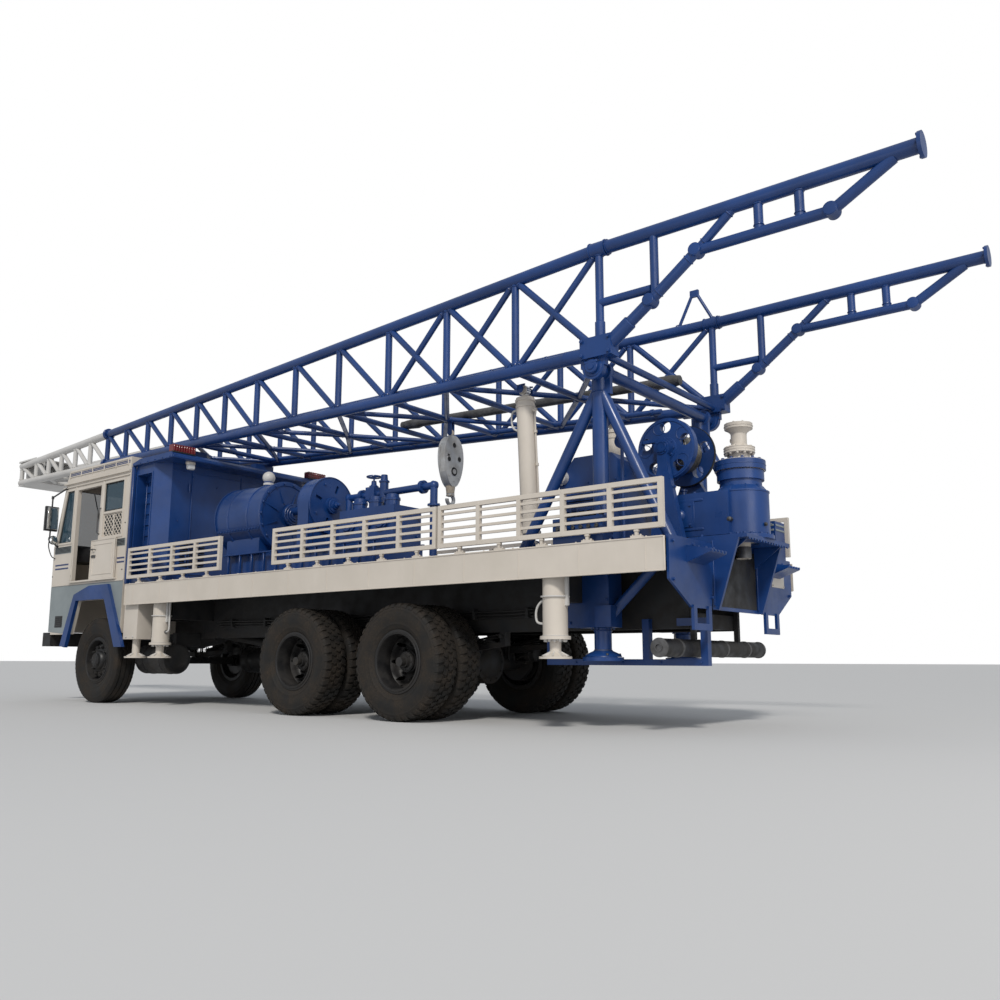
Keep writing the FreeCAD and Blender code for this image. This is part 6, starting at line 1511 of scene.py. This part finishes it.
def frame_fittings():
    """Bolts, gussets and pin collars on the raising frame, and the feet of the lift barrels."""
    m = Mesh()
    for side in SIDES:
        y = side * FRAME_Y
        for x in (-1.19, REST_POST_X, -2.60):
            m.bolts((x - 0.056, x + 0.056), (y - 0.040, y + 0.040), BASE_PLATE_Z, Z, 0.020)
            m.ring((x, y, 1.441), Z, 0.066 if x == REST_POST_X else 0.050, 0.007, 32, 6)
        for s in BACK_FIRST:
            m.plate([(REST_POST_X, y + s * dy, z) for dy, z in ((0.060, BASE_PLATE_Z), (0.056, BASE_PLATE_Z),
                                                               (0.056, 1.60), (0.064, 1.60))], 0.008)
            m.turned((HINGE_X, y + s * 0.020, HINGE_Z), s * Y, [(0, 0.077), (0.005, 0.074), (0.005, 0.053)],
                     32)
            face = side * LIFT_Y + s * 0.056
            m.turned((LIFT_FOOT.x, face, LIFT_FOOT.z), s * Y, [(0, 0.034), (0.008, 0.034), (0.012, 0.024)],
                     24)
            m.box((-1.21, face, 1.540), (-1.13, face + s * 0.006, 1.556), 0.002)
        for x0, x1 in ((-1.912, -1.85), (-2.048, -2.11)):
            m.bar(y - 0.005, y + 0.005, [(x0, BASE_PLATE_Z), (x1, BASE_PLATE_Z), (x0, 1.56)])
        m.ring((REST_POST_X, y, 2.70), Z, 0.066, 0.006, 32, 6)
        outer = side * 1.106
        m.turned((HINGE_X, outer, HINGE_Z), side * Y,
                 [(0, 0.056), (0.006, 0.052), (0.006, 0.030), (0.014, 0.028)], 32)
        m.box((-2.09, outer, 2.885), (-1.97, side * 1.114, 2.905), 0.003)
        m.bolts((LIFT_FOOT.x - 0.07, LIFT_FOOT.x + 0.07), (side * LIFT_Y - 0.07, side * LIFT_Y + 0.07),
                BASE_PLATE_Z, Z, 0.018)
    piece("raising_frame_fittings", m, "blue")


def cylinder_fittings():
    """Gland rings, ports, clamps, pipes and hoses on the lift barrels, and wipers on their rods."""
    m = Mesh()
    run = (LIFT_EYE - LIFT_FOOT).normalized()
    back = Vector((-run.z, 0, run.x))
    pin_face = [(0, 0.058), (0.004, 0.054), (0.004, 0.026)]
    for side in SIDES:
        start = LIFT_FOOT + Y * side * LIFT_Y

        def on_barrel(step, off=0.0):
            return start + run * step + back * off
        for step, grow in ((0.113, 0.006), (1.250, 0.007), (1.306, 0.009)):
            m.tube(on_barrel(step), run, [(0, BARREL_R), (0.002, BARREL_R + grow), (0.022, BARREL_R + grow),
                                          (0.024, BARREL_R)], 48)
        m.tube(on_barrel(1.343), run, [(0, 0.080), (0.004, 0.078), (0.004, 0.056), (-0.004, 0.054)], 48)
        for step in (0.17, 1.22):
            m.hexagon(on_barrel(step, 0.080), back, 0.022, 0.020, 0.018)
            m.disc(on_barrel(step, 0.102), back, 0.013, 0.016, 12)
        m.hose([on_barrel(step, off)
                for step, off in ((1.22, 0.112), (1.19, 0.106), (1.10, 0.098), (0.60, 0.098),
                                  (0.30, 0.098), (0.20, 0.106), (0.17, 0.112))], 0.008)
        for step in (0.388, 0.708, 1.008):
            m.disc(on_barrel(step, 0.098), run, 0.015, 0.024, 16)
        for s in SIDES:
            m.turned(start + Y * s * 0.030, s * Y, pin_face, 32)
        for step in (1.065, 1.245):
            m.hexagon(on_barrel(step, -0.078), -back, 0.020, 0.018, 0.014)
    loop = ((-1.007, 2.745), (-0.975, 2.752), (-0.950, 2.715), (-0.952, 2.640), (-0.972, 2.578),
            (-1.018, 2.560))
    for side, out in (("left", 1), ("right", -1)):
        hose("%s_lift_hose" % side, [(x, out * LIFT_Y, z) for x, z in loop], 0.018, "cylinder_barrels")
    piece("lift_barrel_fittings", m, "cream", body="cylinder_barrels")
    rod = Mesh()
    for side in SIDES:
        end = LIFT_EYE + Y * side * LIFT_Y
        rod.turned(end - run * 0.074, run, [(0, 0.053), (0.004, 0.050), (0.010, 0.036), (0.020, 0.030),
                                            (0.030, 0.0275)], 40)
        for s in BACK_FIRST:
            rod.turned(end + Y * s * 0.030, s * Y, [(0, 0.044), (0.003, 0.041), (0.003, 0.020)], 32)
    piece("lift_rod_eyes", rod, "cream", body="cylinder_rods")


frame_fittings()
cylinder_fittings()


# ------------------------------------------------------------------ rotary head, swivel and drawworks
HEAD_X = -2.77
DRUM = Vector((-2.25, 0, 2.30))
DRUM_HOLE_CIRCLE = 0.19
ROPE_TURNS = 19
BLOCK_Y = -0.065
BLOCK_Z = 2.60


def ring_points(count, phase=0.5):
    """Evenly spaced unit vectors around Z; phase is a share of one step."""
    turns = [math.tau * (i + phase) / count for i in range(count)]
    return [Vector((math.cos(turn), math.sin(turn), 0)) for turn in turns]


def rib(mesh, corners, way, thick):
    """A thin rib through corners, square to the direction way."""
    side = Vector((-way.y, way.x, 0)) * thick
    mesh.sweep([[p - side for p in corners], [p + side for p in corners]])


def at_head(z):
    """A point on the rotary head's axis."""
    return Vector((HEAD_X, 0, z))


def head_details():
    """Flange bolts, cover, ribs and seams on the rotary head."""
    m = Mesh()
    x = HEAD_X
    m.ring_of_bolts((x, 0, 1.540), Z, 0.236, 18, 0.018)
    m.tube((x, 0, 1.538), Z, [(0, 0.222), (0.006, 0.229), (0.012, 0.222)], 64)
    m.tube((x, 0, 1.890), Z, [(0, 0.220), (0.003, 0.226), (0.014, 0.226), (0.017, 0.219)], 64)
    m.ring_of_bolts((x, 0, 2.080), Z, 0.172, 12, 0.016)
    m.ring((x, 0, 2.012), Z, 0.171, 0.006, 48, 6)
    for way in ring_points(10):
        rib(m, [at_head(z) + way * reach for z, reach in ((1.958, 0.172), (1.900, 0.218), (1.900, 0.172))],
            way, 0.005)
    m.bolts((-2.44, -2.34, -2.24), 0.274, (1.64, 1.80), Y, 0.017)
    m.box((-2.475, 0.262, 1.605), (-2.205, 0.267, 1.835), 0.002)
    m.turned((-2.34, 0.274, 1.72), Y,
             [(0, 0.055), (0.008, 0.052), (0.014, 0.034), (0.020, 0.030), (0.024, 0.012)], 36)
    for s, z in product(BACK_FIRST, (1.60, 1.84)):
        m.box((-2.55, s * 0.259, z - 0.010), (-2.12, s * 0.268, z + 0.010), 0.003)
    m.bolts((-2.45, -2.20), (0.20, -0.20), 1.902, Z, 0.024)
    m.turned((-2.30, 0.10, 1.899), Z,
             [(0, 0.036), (0.012, 0.036), (0.016, 0.028), (0.050, 0.026), (0.056, 0.034),
              (0.072, 0.034), (0.078, 0.020)], 28)
    m.look = 1
    m.turned((x, 0.250, 1.66), Y, [(-0.03, 0.020), (0.012, 0.020), (0.016, 0.012)], 6)
    m.turned((x - 0.216, 0.06, 1.62), -X, [(0, 0.016), (0.014, 0.016), (0.020, 0.010)], 6)
    m.look = 0
    for bx in (-2.955, -2.90, -2.60):
        m.bolts(bx, (-0.40, 0.40), 1.512, Z, 0.022)
        m.bolts(bx + 0.02, (-0.30, 0.30), 1.512, Z, 0.022)
    piece("rotary_head_fittings", m, "blue steel")


def swivel_details():
    """The cream swivel's scalloped flange, bolts, ribs and drive nuts, turning with the spindle."""
    m = Mesh()
    for way in ring_points(12):
        m.turned(at_head(2.292) + way * 0.112, -Z,
                 [(0, 0.012), (0.002, 0.014), (0.010, 0.014), (0.058, 0.014), (0.070, 0.010)], 12)
    m.turned(at_head(2.164), Z, [(0, 0.110), (0.012, 0.106), (0.026, 0.092), (0.040, 0.0855)], 56)
    m.look = 2
    m.tube(at_head(2.084), Z, [(0, 0.200), (0.001, 0.2064), (0.078, 0.2064), (0.084, 0.201), (0.084, 0.112)],
           64)
    m.ring_of_bolts(at_head(2.168), Z, 0.168, 12, 0.024)
    m.ring(at_head(2.125), Z, 0.2065, 0.003, 64, 6)
    m.look = 0
    for z in (2.240, 2.262, 2.282):
        m.ring(at_head(z), Z, 0.1250, 0.0035, 56, 6)
    m.ring_of_bolts(at_head(2.286), Z, 0.102, 8, 0.018)
    m.turned(at_head(2.285), Z, [(0, 0.086), (0.014, 0.078), (0.030, 0.066)], 48)
    m.turned(at_head(2.445), -Z, [(0, 0.104), (0.010, 0.096), (0.028, 0.072), (0.040, 0.066)], 48)
    m.ring(at_head(2.467), Z, 0.1155, 0.004, 56, 6)
    m.ring_of_bolts(at_head(2.490), Z, 0.094, 8, 0.014)
    m.tube(at_head(2.490), Z, [(0, 0.070), (0.006, 0.068), (0.010, 0.058), (0.010, 0.046)], 40)
    m.hexagon(at_head(2.355) + X * 0.062, X, 0.020, 0.010, 0.012)
    m.look = 1
    m.tube(at_head(1.362), Z, [(0, 0.064), (0.004, 0.0625), (0.090, 0.0625), (0.094, 0.061)], 44)
    for z in (1.40, 1.45, 1.50):
        m.ring(at_head(z), Z, 0.0605, 0.003, 44, 6)
    piece("swivel_fittings", m, "cream steel blue", body="spindle")


def drawworks_details():
    """Bearings, hood grille, louvres with a black strip of painted shade under each, filler and lifting eyes
    on the drawworks frame, and the hood lamp.
    """
    m = Mesh()
    for y, s in ((0.374, 1), (0.314, -1), (-0.114, 1), (-0.174, -1)):
        m.tube(DRUM + Y * y, s * Y,
               [(0, 0.062), (0.010, 0.060), (0.010, 0.046), (0.020, 0.044), (0.020, 0.037)], 36)
        m.ring_of_bolts(DRUM + Y * (y + s * 0.010), s * Y, 0.053, 4, 0.012, phase=0.785)
    for y, s in product((0.3437, -0.1437), BACK_FIRST):
        m.bolt((DRUM.x + s * 0.09, y, 1.960), s * X, 0.018)
    for s, y in ((1, 0.44), (-1, -0.42)):
        m.look = 0
        for z in (1.50, 2.02):
            m.box((-1.83, y, z), (-1.30, y + s * 0.005, z + 0.02), 0.002)
        for z in (1.616 + i * 0.044 for i in range(9)):
            # A black strip under each louvre: painted shade in the louvre's slot.
            m.look = 1
            m.box((-1.80, y, z - 0.016), (-1.34, y + s * 0.004, z + 0.006), 0.001)
            m.look = 0
            m.plate([(-1.81, y, z), (-1.33, y, z), (-1.33, y + s * 0.018, z - 0.010),
                     (-1.81, y + s * 0.018, z - 0.010)][::s], 0.003)
        m.bolts((-1.84, -1.56, -1.29), y, (1.47, 2.07), s * Y, 0.014)
    for y in (-0.30 + i * 0.10 for i in range(7)):
        m.box((-1.78, y, 2.308), (-1.50, y + 0.030, 2.316), 0.003)
    m.ring((-1.86, 0.01, 2.305), Y, 0.006, 0.004, 10, 6)
    m.turned((-1.68, -0.20, 2.306), Z,
             [(0, 0.034), (0.006, 0.034), (0.012, 0.024), (0.030, 0.022), (0.034, 0.030),
              (0.044, 0.030), (0.048, 0.018)], 28)
    for y in (-0.38, 0.40):
        m.disc((-1.70, y, 2.309), Z, 0.012, 0.014, 12)
        m.ring((-1.70, y, 2.332), X, 0.020, 0.006, 24, 8)
    piece("drawworks_fittings", m, "blue black")
    lamp = Mesh()
    x, y, z = -1.30, 0.50, 2.14
    lamp.ring((x, y, z), Y, 0.056, 0.005, 36, 8)
    lamp.turned((x, y - 0.060, z), -Y, [(0, 0.056), (0.006, 0.048), (0.010, 0.030)], 32)
    lamp.disc((x, y - 0.03, z - 0.060), -Z, 0.012, 0.012, 10)
    lamp.look = 1
    lamp.turned((x, y - 0.002, z), Y, [(0, 0.054), (0.004, 0.050), (0.007, 0.030), (0.008, 0.0)], 36)
    piece("lamp_faces", lamp, "white lamp_clear")


def drum_details():
    """Rope wound on the drum, its rims, hole edges, hubs and brake band."""
    m = Mesh()
    for layer, radius in ((0, 0.136), (1, 0.152)):
        for y in (-0.054 + i * 0.0155 + 0.004 * layer for i in range(ROPE_TURNS)):
            m.ring(DRUM + Y * y, Y, radius, 0.0078, 44, 8)
    m.look = 1
    for y, s in ((-0.10, -1), (0.30, 1)):
        face = DRUM + Y * y
        m.tube(face, s * Y, [(0, 0.255), (0.006, 0.252), (0.006, 0.238), (0.0, 0.235)], 72)
        m.tube(face, s * Y, [(0, 0.100), (0.012, 0.096), (0.012, 0.060), (0.030, 0.056), (0.030, 0.037)], 48)
        m.ring_of_bolts(face + Y * s * 0.012, s * Y, 0.078, 8, 0.018)
        for way in ring_points(5, 0):
            m.ring(face + Vector((way.x * DRUM_HOLE_CIRCLE, s * 0.001, way.y * DRUM_HOLE_CIRCLE)), Y, 0.053,
                   0.0035, 28, 6)
    m.look = 2
    m.tube(DRUM - Y * 0.100, Y, [(0.004, 0.265), (0.004, 0.270), (0.032, 0.270), (0.032, 0.265)], 72)
    piece("drum_rope_and_rims", m, "wire blue black", body="drum")


def block_details():
    """Holes filled with black discs of painted shade, pin and screws on the travelling block's cheeks, its
    hanger ring and hook link.
    """
    m = Mesh()
    for x, s in ((0.53, 1), (0.43, -1)):
        cheek = Vector((x, BLOCK_Y, BLOCK_Z))
        for dy, dz, radius in ((0, 0.190, 0.030), (0.082, 0.030, 0.030), (-0.082, 0.050, 0.030),
                               (0, -0.095, 0.050)):
            hole = cheek + Vector((0, dy, dz))
            # Each hole is filled with a thin black disc: painted shade inside the hole.
            m.look = 2
            m.turned(hole, s * X, [(0, radius), (0.0015, radius - 0.0005)], 28)
            m.look = 0
            m.ring(hole, X, radius, 0.0035, 28, 6)
        m.turned(cheek - Z * 0.095, s * X, [(0, 0.026), (0.008, 0.026), (0.012, 0.018)], 28)
        for dy, dz in ((0, -0.205), (0.075, -0.15), (-0.075, -0.15)):
            m.turned(cheek + Vector((0, dy, dz)), s * X, [(0, 0.009), (0.004, 0.008), (0.005, 0.004)], 12)
    m.look = 1
    x = 0.48
    m.ring((x, BLOCK_Y, 2.93), Y, 0.030, 0.010, 28, 8)
    m.turned((x, BLOCK_Y, 2.352), -Z, [(0, 0.052), (0.024, 0.050), (0.060, 0.0445), (0.078, 0.0445)], 32)
    m.turned((x, BLOCK_Y, 2.268), -Z, [(0, 0.034), (0.004, 0.046), (0.020, 0.046), (0.024, 0.040)], 6)
    m.ring((x, BLOCK_Y, 2.330), Z, 0.043, 0.005, 32, 6)
    piece("block_fittings", m, "block beige black", body="block")


head_details()
swivel_details()
drawworks_details()
drum_details()
block_details()


# ------------------------------------------------------------------ tail, jacks and controls
LEG_X = -1.85
LEG_Y = 0.70
EXHAUST_X = -2.5
EXHAUST_Z = 0.635
TANK_Y = 0.765
TANK_Z = 0.54


def tail_details():
    """Seams, bolts, hooks, comb teeth and plates on the tail, mostly in the body's blue; the thin black sheet
    between the cheeks is painted shade.
    """
    m = Mesh()
    for s in BACK_FIRST:
        for y, z in ((0.50, 1.40), (0.80, 1.40), (1.12, 1.40), (1.12, 1.12), (0.50, 1.02)):
            m.bolt((-2.71, s * y, z), -X, 0.022)
        for x in (-2.74, -2.80, -2.86):
            m.bolt((x, s * 0.76, 1.390 + 0.2 * (x + 2.71)), Z, 0.018)
        for y in (s * (0.645 + i * 0.058) for i in range(5)):
            m.box((-2.908, y - 0.011, 1.334), (-2.892, y + 0.011, 1.352), 0.003)
        y = s * 0.425
        m.box((-2.716, y - 0.032, 0.96), (-2.704, y + 0.032, 1.47), 0.003)
        m.bolts(-2.716, y, [1.00 + i * 0.072 for i in range(7)], -X, 0.018)
        leg = Vector((LEG_X, s * LEG_Y, 0))
        m.turned(leg + Z * 0.567, Z,
                 [(0, 0.150), (0.014, 0.144), (0.030, 0.118), (0.044, 0.086), (0.052, 0.071)], 48)
        for z in (0.795, 0.775):
            m.ring(leg + Z * z, Z, 0.071, 0.006, 40, 8)
        m.ring_of_bolts(leg + Z * 0.798, -Z, 0.088, 6, 0.018)
        m.bolts((-1.95, -1.60), s * 0.802, (0.84, 1.02, 1.22), s * Y, 0.020)
    for y in (-0.39 + i * 0.0557 for i in range(15)):
        m.box((-2.994, y - 0.010, 1.466), (-2.984, y + 0.010, 1.482), 0.002)
    for y in (-0.344, 0.336):
        m.plate([(-2.95, y, 1.479), (-2.72, y, 1.479), (-2.72, y, 1.30)], 0.008)
    m.look = 1
    m.box((-2.7145, -1.00, 1.18), (-2.709, -0.72, 1.33), 0.002)
    m.bolts(-2.7145, (-0.985, -0.735), (1.195, 1.315), -X, 0.010)
    # A 1 mm black sheet on the rear end plate between the cheeks: painted shade for the shadow that falls
    # there.
    m.look = 2
    m.box((-2.7035, -0.385, 0.96), (-2.6995, 0.385, 1.44), 0.001)
    m.look = 0
    m.bolts((-2.60, -2.25, -1.90, -1.45), 0.491, 0.525, Y, 0.016)
    piece("tail_fittings", m, "blue cream black")
    shoes = Mesh()
    for leg in (Vector((LEG_X, s * LEG_Y, 0)) for s in BACK_FIRST):
        for way in ring_points(4):
            shoes.bolt(leg + way * 0.135 + Z * 0.580, Z, 0.020)
        shoes.ring(leg + Z * 0.620, Z, 0.072, 0.004, 40, 6)
    piece("shoe_bolts", shoes, "steel")


def exhaust_details():
    """End caps, straps and seams of the exhaust, and the straps and fillers of the side tanks."""
    m = Mesh()
    for y, s in ((-0.86, -1), (0.97, 1)):
        end = (EXHAUST_X, y, EXHAUST_Z)
        m.turned(end, s * Y, [(-0.012, 0.0685), (-0.010, 0.0725), (0.004, 0.0725), (0.006, 0.066)], 44)
        m.turned(end, s * Y, [(0, 0.030), (0.018, 0.030), (0.018, 0.024), (0.002, 0.022)], 28)
    for y in (-0.564, -0.114, 0.286, 0.686):
        m.tube((EXHAUST_X, y, EXHAUST_Z), Y, [(0, 0.068), (0.001, 0.0715), (0.027, 0.0715), (0.028, 0.068)],
               44)
    piece("exhaust_fittings", m, "steel")
    t = Mesh()
    for s in BACK_FIRST:
        y = s * TANK_Y
        for x in (4.182, 4.542):
            t.tube((x, y, TANK_Z), X, [(0, 0.178), (0.001, 0.182), (0.035, 0.182), (0.036, 0.178)], 56)
        for x, way in ((4.08, -1), (4.70, 1)):
            t.turned((x, y, TANK_Z), way * X,
                     [(-0.006, 0.179), (0.003, 0.179), (0.006, 0.172), (0.006, 0.150),
                      (0.003, 0.146), (0.003, 0.0)], 56)
        t.turned((4.38, s * 0.82, 0.709), (0, s * 0.3, 1), [(-0.01, 0.036), (0.010, 0.036), (0.012, 0.042),
                                                           (0.028, 0.042), (0.032, 0.034)], 28)
    piece("tank_straps", t, "black")


def jack_details():
    """Weld seams, flange bolts, gland rings and foot ribs of the six landing jacks."""
    m = Mesh()
    for s in BACK_FIRST:
        for x in (REAR_JACK_X, SECOND_JACK_X):
            jack = Vector((x, s * JACK_Y, 0))
            m.ring_of_bolts(jack + Z * 0.700, -Z, 0.082, 8, 0.016)
            m.tube(jack + Z * 1.282, Z, [(-0.03, 0.100), (-0.028, 0.108), (0.010, 0.108)], 44)
            m.ring(jack + Z * 0.730, Z, 0.1005, 0.004, 44, 6)
            m.turned(jack + Z * 1.035, Z, [(-0.006, 0.099), (-0.005, 0.116), (0.005, 0.116), (0.006, 0.099)],
                     44)
            for way in ring_points(12, 0):
                m.turned(jack + way * 0.083 + Z * 0.702, -Z, [(0, 0.011), (0.016, 0.011), (0.022, 0.006)], 10)
            m.box((x - 0.128, jack.y - 0.014, 0.96), (x - 0.096, jack.y + 0.014, 1.29), 0.004)
            m.tube(jack + Z * 0.699, -Z, [(0, 0.064), (0.010, 0.060), (0.010, 0.047)], 40)
        m.bolts((FRONT_JACK_X - 0.075, FRONT_JACK_X + 0.075), s * 1.195, (0.80, 1.26), s * Y, 0.018)
    piece("jack_tube_fittings", m, "white")
    for side, s in (("left", 1), ("right", -1)):
        for name, x in (("front", FRONT_JACK_X), ("second", SECOND_JACK_X), ("rear", REAR_JACK_X)):
            foot = Mesh()
            jack = Vector((x, s * JACK_Y, 0))
            foot.ring(jack + Z * 0.578, Z, 0.048, 0.006, 36, 8)
            for way in ring_points(8):
                rib(foot, [jack + Z * z + way * reach
                           for z, reach in ((0.610, 0.044), (0.574, 0.112), (0.574, 0.044))],
                    way, 0.004)
            piece("%s_%s_jack_foot" % (name, side), foot, "white", body="%s_%s_jack_rod" % (name, side))


def control_details():
    """Knobs, gaiters and unions on the valve bank, and the rim and foot bolts of the gauge."""
    m = Mesh()
    for x in (-2.10 + 0.072 * i for i in range(6)):
        m.look = 0
        m.turned((x, 1.10, 1.64), Z,
                 [(0, 0.026), (0.010, 0.024), (0.014, 0.018), (0.020, 0.021), (0.026, 0.016),
                  (0.034, 0.018), (0.042, 0.012)], 20)
        m.look = 1
        m.hexagon((x, 1.17, 1.56), Y, 0.018, 0.012, 0.012)
        m.hexagon((x, 1.03, 1.53), -Y, 0.016, 0.016, 0.010)
    m.ring((-2.12, 0.80, 2.29), Y, 0.058, 0.004, 40, 6)
    m.bolts((-2.16, -2.08), (0.75, 0.85), BASE_PLATE_Z, Z, 0.016)
    piece("control_knobs", m, "black steel")


tail_details()
exhaust_details()
jack_details()
control_details()


# ------------------------------------------------------------------ underbody
SPRING_Y = 0.3925
SPRING_HALF_WIDTH = 0.043
LEAF_STEP = 0.018
LEAF_EDGE = 0.004
LEAF_HALVES = (0.60, 0.50, 0.41, 0.33, 0.25)
SPRING_SEATS = ((REAR_X, 0.608), (MIDDLE_X, 0.608), (FRONT_X, 0.582))


def spring_details():
    """Leaves, U-bolts, clips and shackles on the leaf springs, drums and chambers on the axles."""
    m = Mesh()
    for (x, seat), s in product(SPRING_SEATS, BACK_FIRST):
        y = s * SPRING_Y
        for i, half in enumerate(LEAF_HALVES):
            z = seat + 0.078 - i * LEAF_STEP
            rise = 0.10 * max(0.0, (half - 0.15) / 0.49)
            for way in BACK_FIRST:
                m.sweep([[(x + way * reach, y + side * SPRING_HALF_WIDTH, z + up + lift)
                          for side, lift in ((-1, 0), (1, 0), (1, LEAF_EDGE), (-1, LEAF_EDGE))]
                         for reach, up in ((0.10, 0), (half, rise))])
        for dx, dy in product((-0.085, -0.045, 0.045, 0.085), (-0.046, 0.046)):
            m.rod((x + dx, y + dy, seat - 0.07), (x + dx, y + dy, seat + 0.12), 0.008, 8)
        for way, out in product(BACK_FIRST, BACK_FIRST):
            m.bolt((x + way * 0.60, y + out * 0.0435, 0.755), out * Y, 0.034)
    for x in (REAR_X, MIDDLE_X):
        for s in BACK_FIRST:
            m.turned((x, s * 0.60, TYRE_R), s * Y,
                     [(-0.030, 0.10), (-0.026, 0.185), (0.0, 0.195), (0.012, 0.195)], 48)
            m.turned((x - 0.20, s * 0.50, 0.60), -X,
                     [(0, 0.060), (0.012, 0.076), (0.060, 0.078), (0.064, 0.084),
                      (0.074, 0.084), (0.078, 0.078), (0.13, 0.074), (0.142, 0.055)], 36)
            m.rod((x - 0.20, s * 0.50, 0.60), (x - 0.06, s * 0.50, 0.55), 0.012, 10)
            m.box((x - 0.21, s * 0.50 - 0.035, 0.50), (x - 0.06, s * 0.50 + 0.035, 0.53), 0.005)
        m.ring_of_bolts((x + 0.085, 0, TYRE_R), X, 0.165, 14, 0.020)
        m.turned((x - 0.13, 0, TYRE_R), -X, [(0, 0.165), (0.016, 0.150), (0.032, 0.110), (0.040, 0.050),
                                             (0.042, 0.0)], 48)
        m.ring_of_bolts((x - 0.128, 0, TYRE_R), -X, 0.178, 12, 0.018)
    piece("spring_and_brake_fittings", m, "chassis")


spring_details()


# ------------------------------------------------------------------ operator's seat box
def seat_box_details():
    """Ribs, lid and hinge pins on the operator's seat box at the far side."""
    m = Mesh()
    for z in (1.712, 1.757):
        m.box((-2.675, -1.185, z), (-2.395, -1.183, z + 0.018), 0.0008)
        m.box((-2.676, -1.18, z), (-2.669, -0.975, z + 0.018), 0.003)
        m.box((-2.66, -0.966, z), (-2.41, -0.959, z + 0.018), 0.003)
    for y in (-1.17 + i * 0.042 for i in range(5)):
        m.box((-2.655, y, 1.798), (-2.415, y + 0.022, 1.806), 0.003)
    for x in (-2.64, -2.47):
        m.disc((x, -0.962, 1.775), X, 0.008, 0.04, 12)
    piece("seat_box_ribs", m, "cab_grey")


seat_box_details()
make_camera()
make_studio()
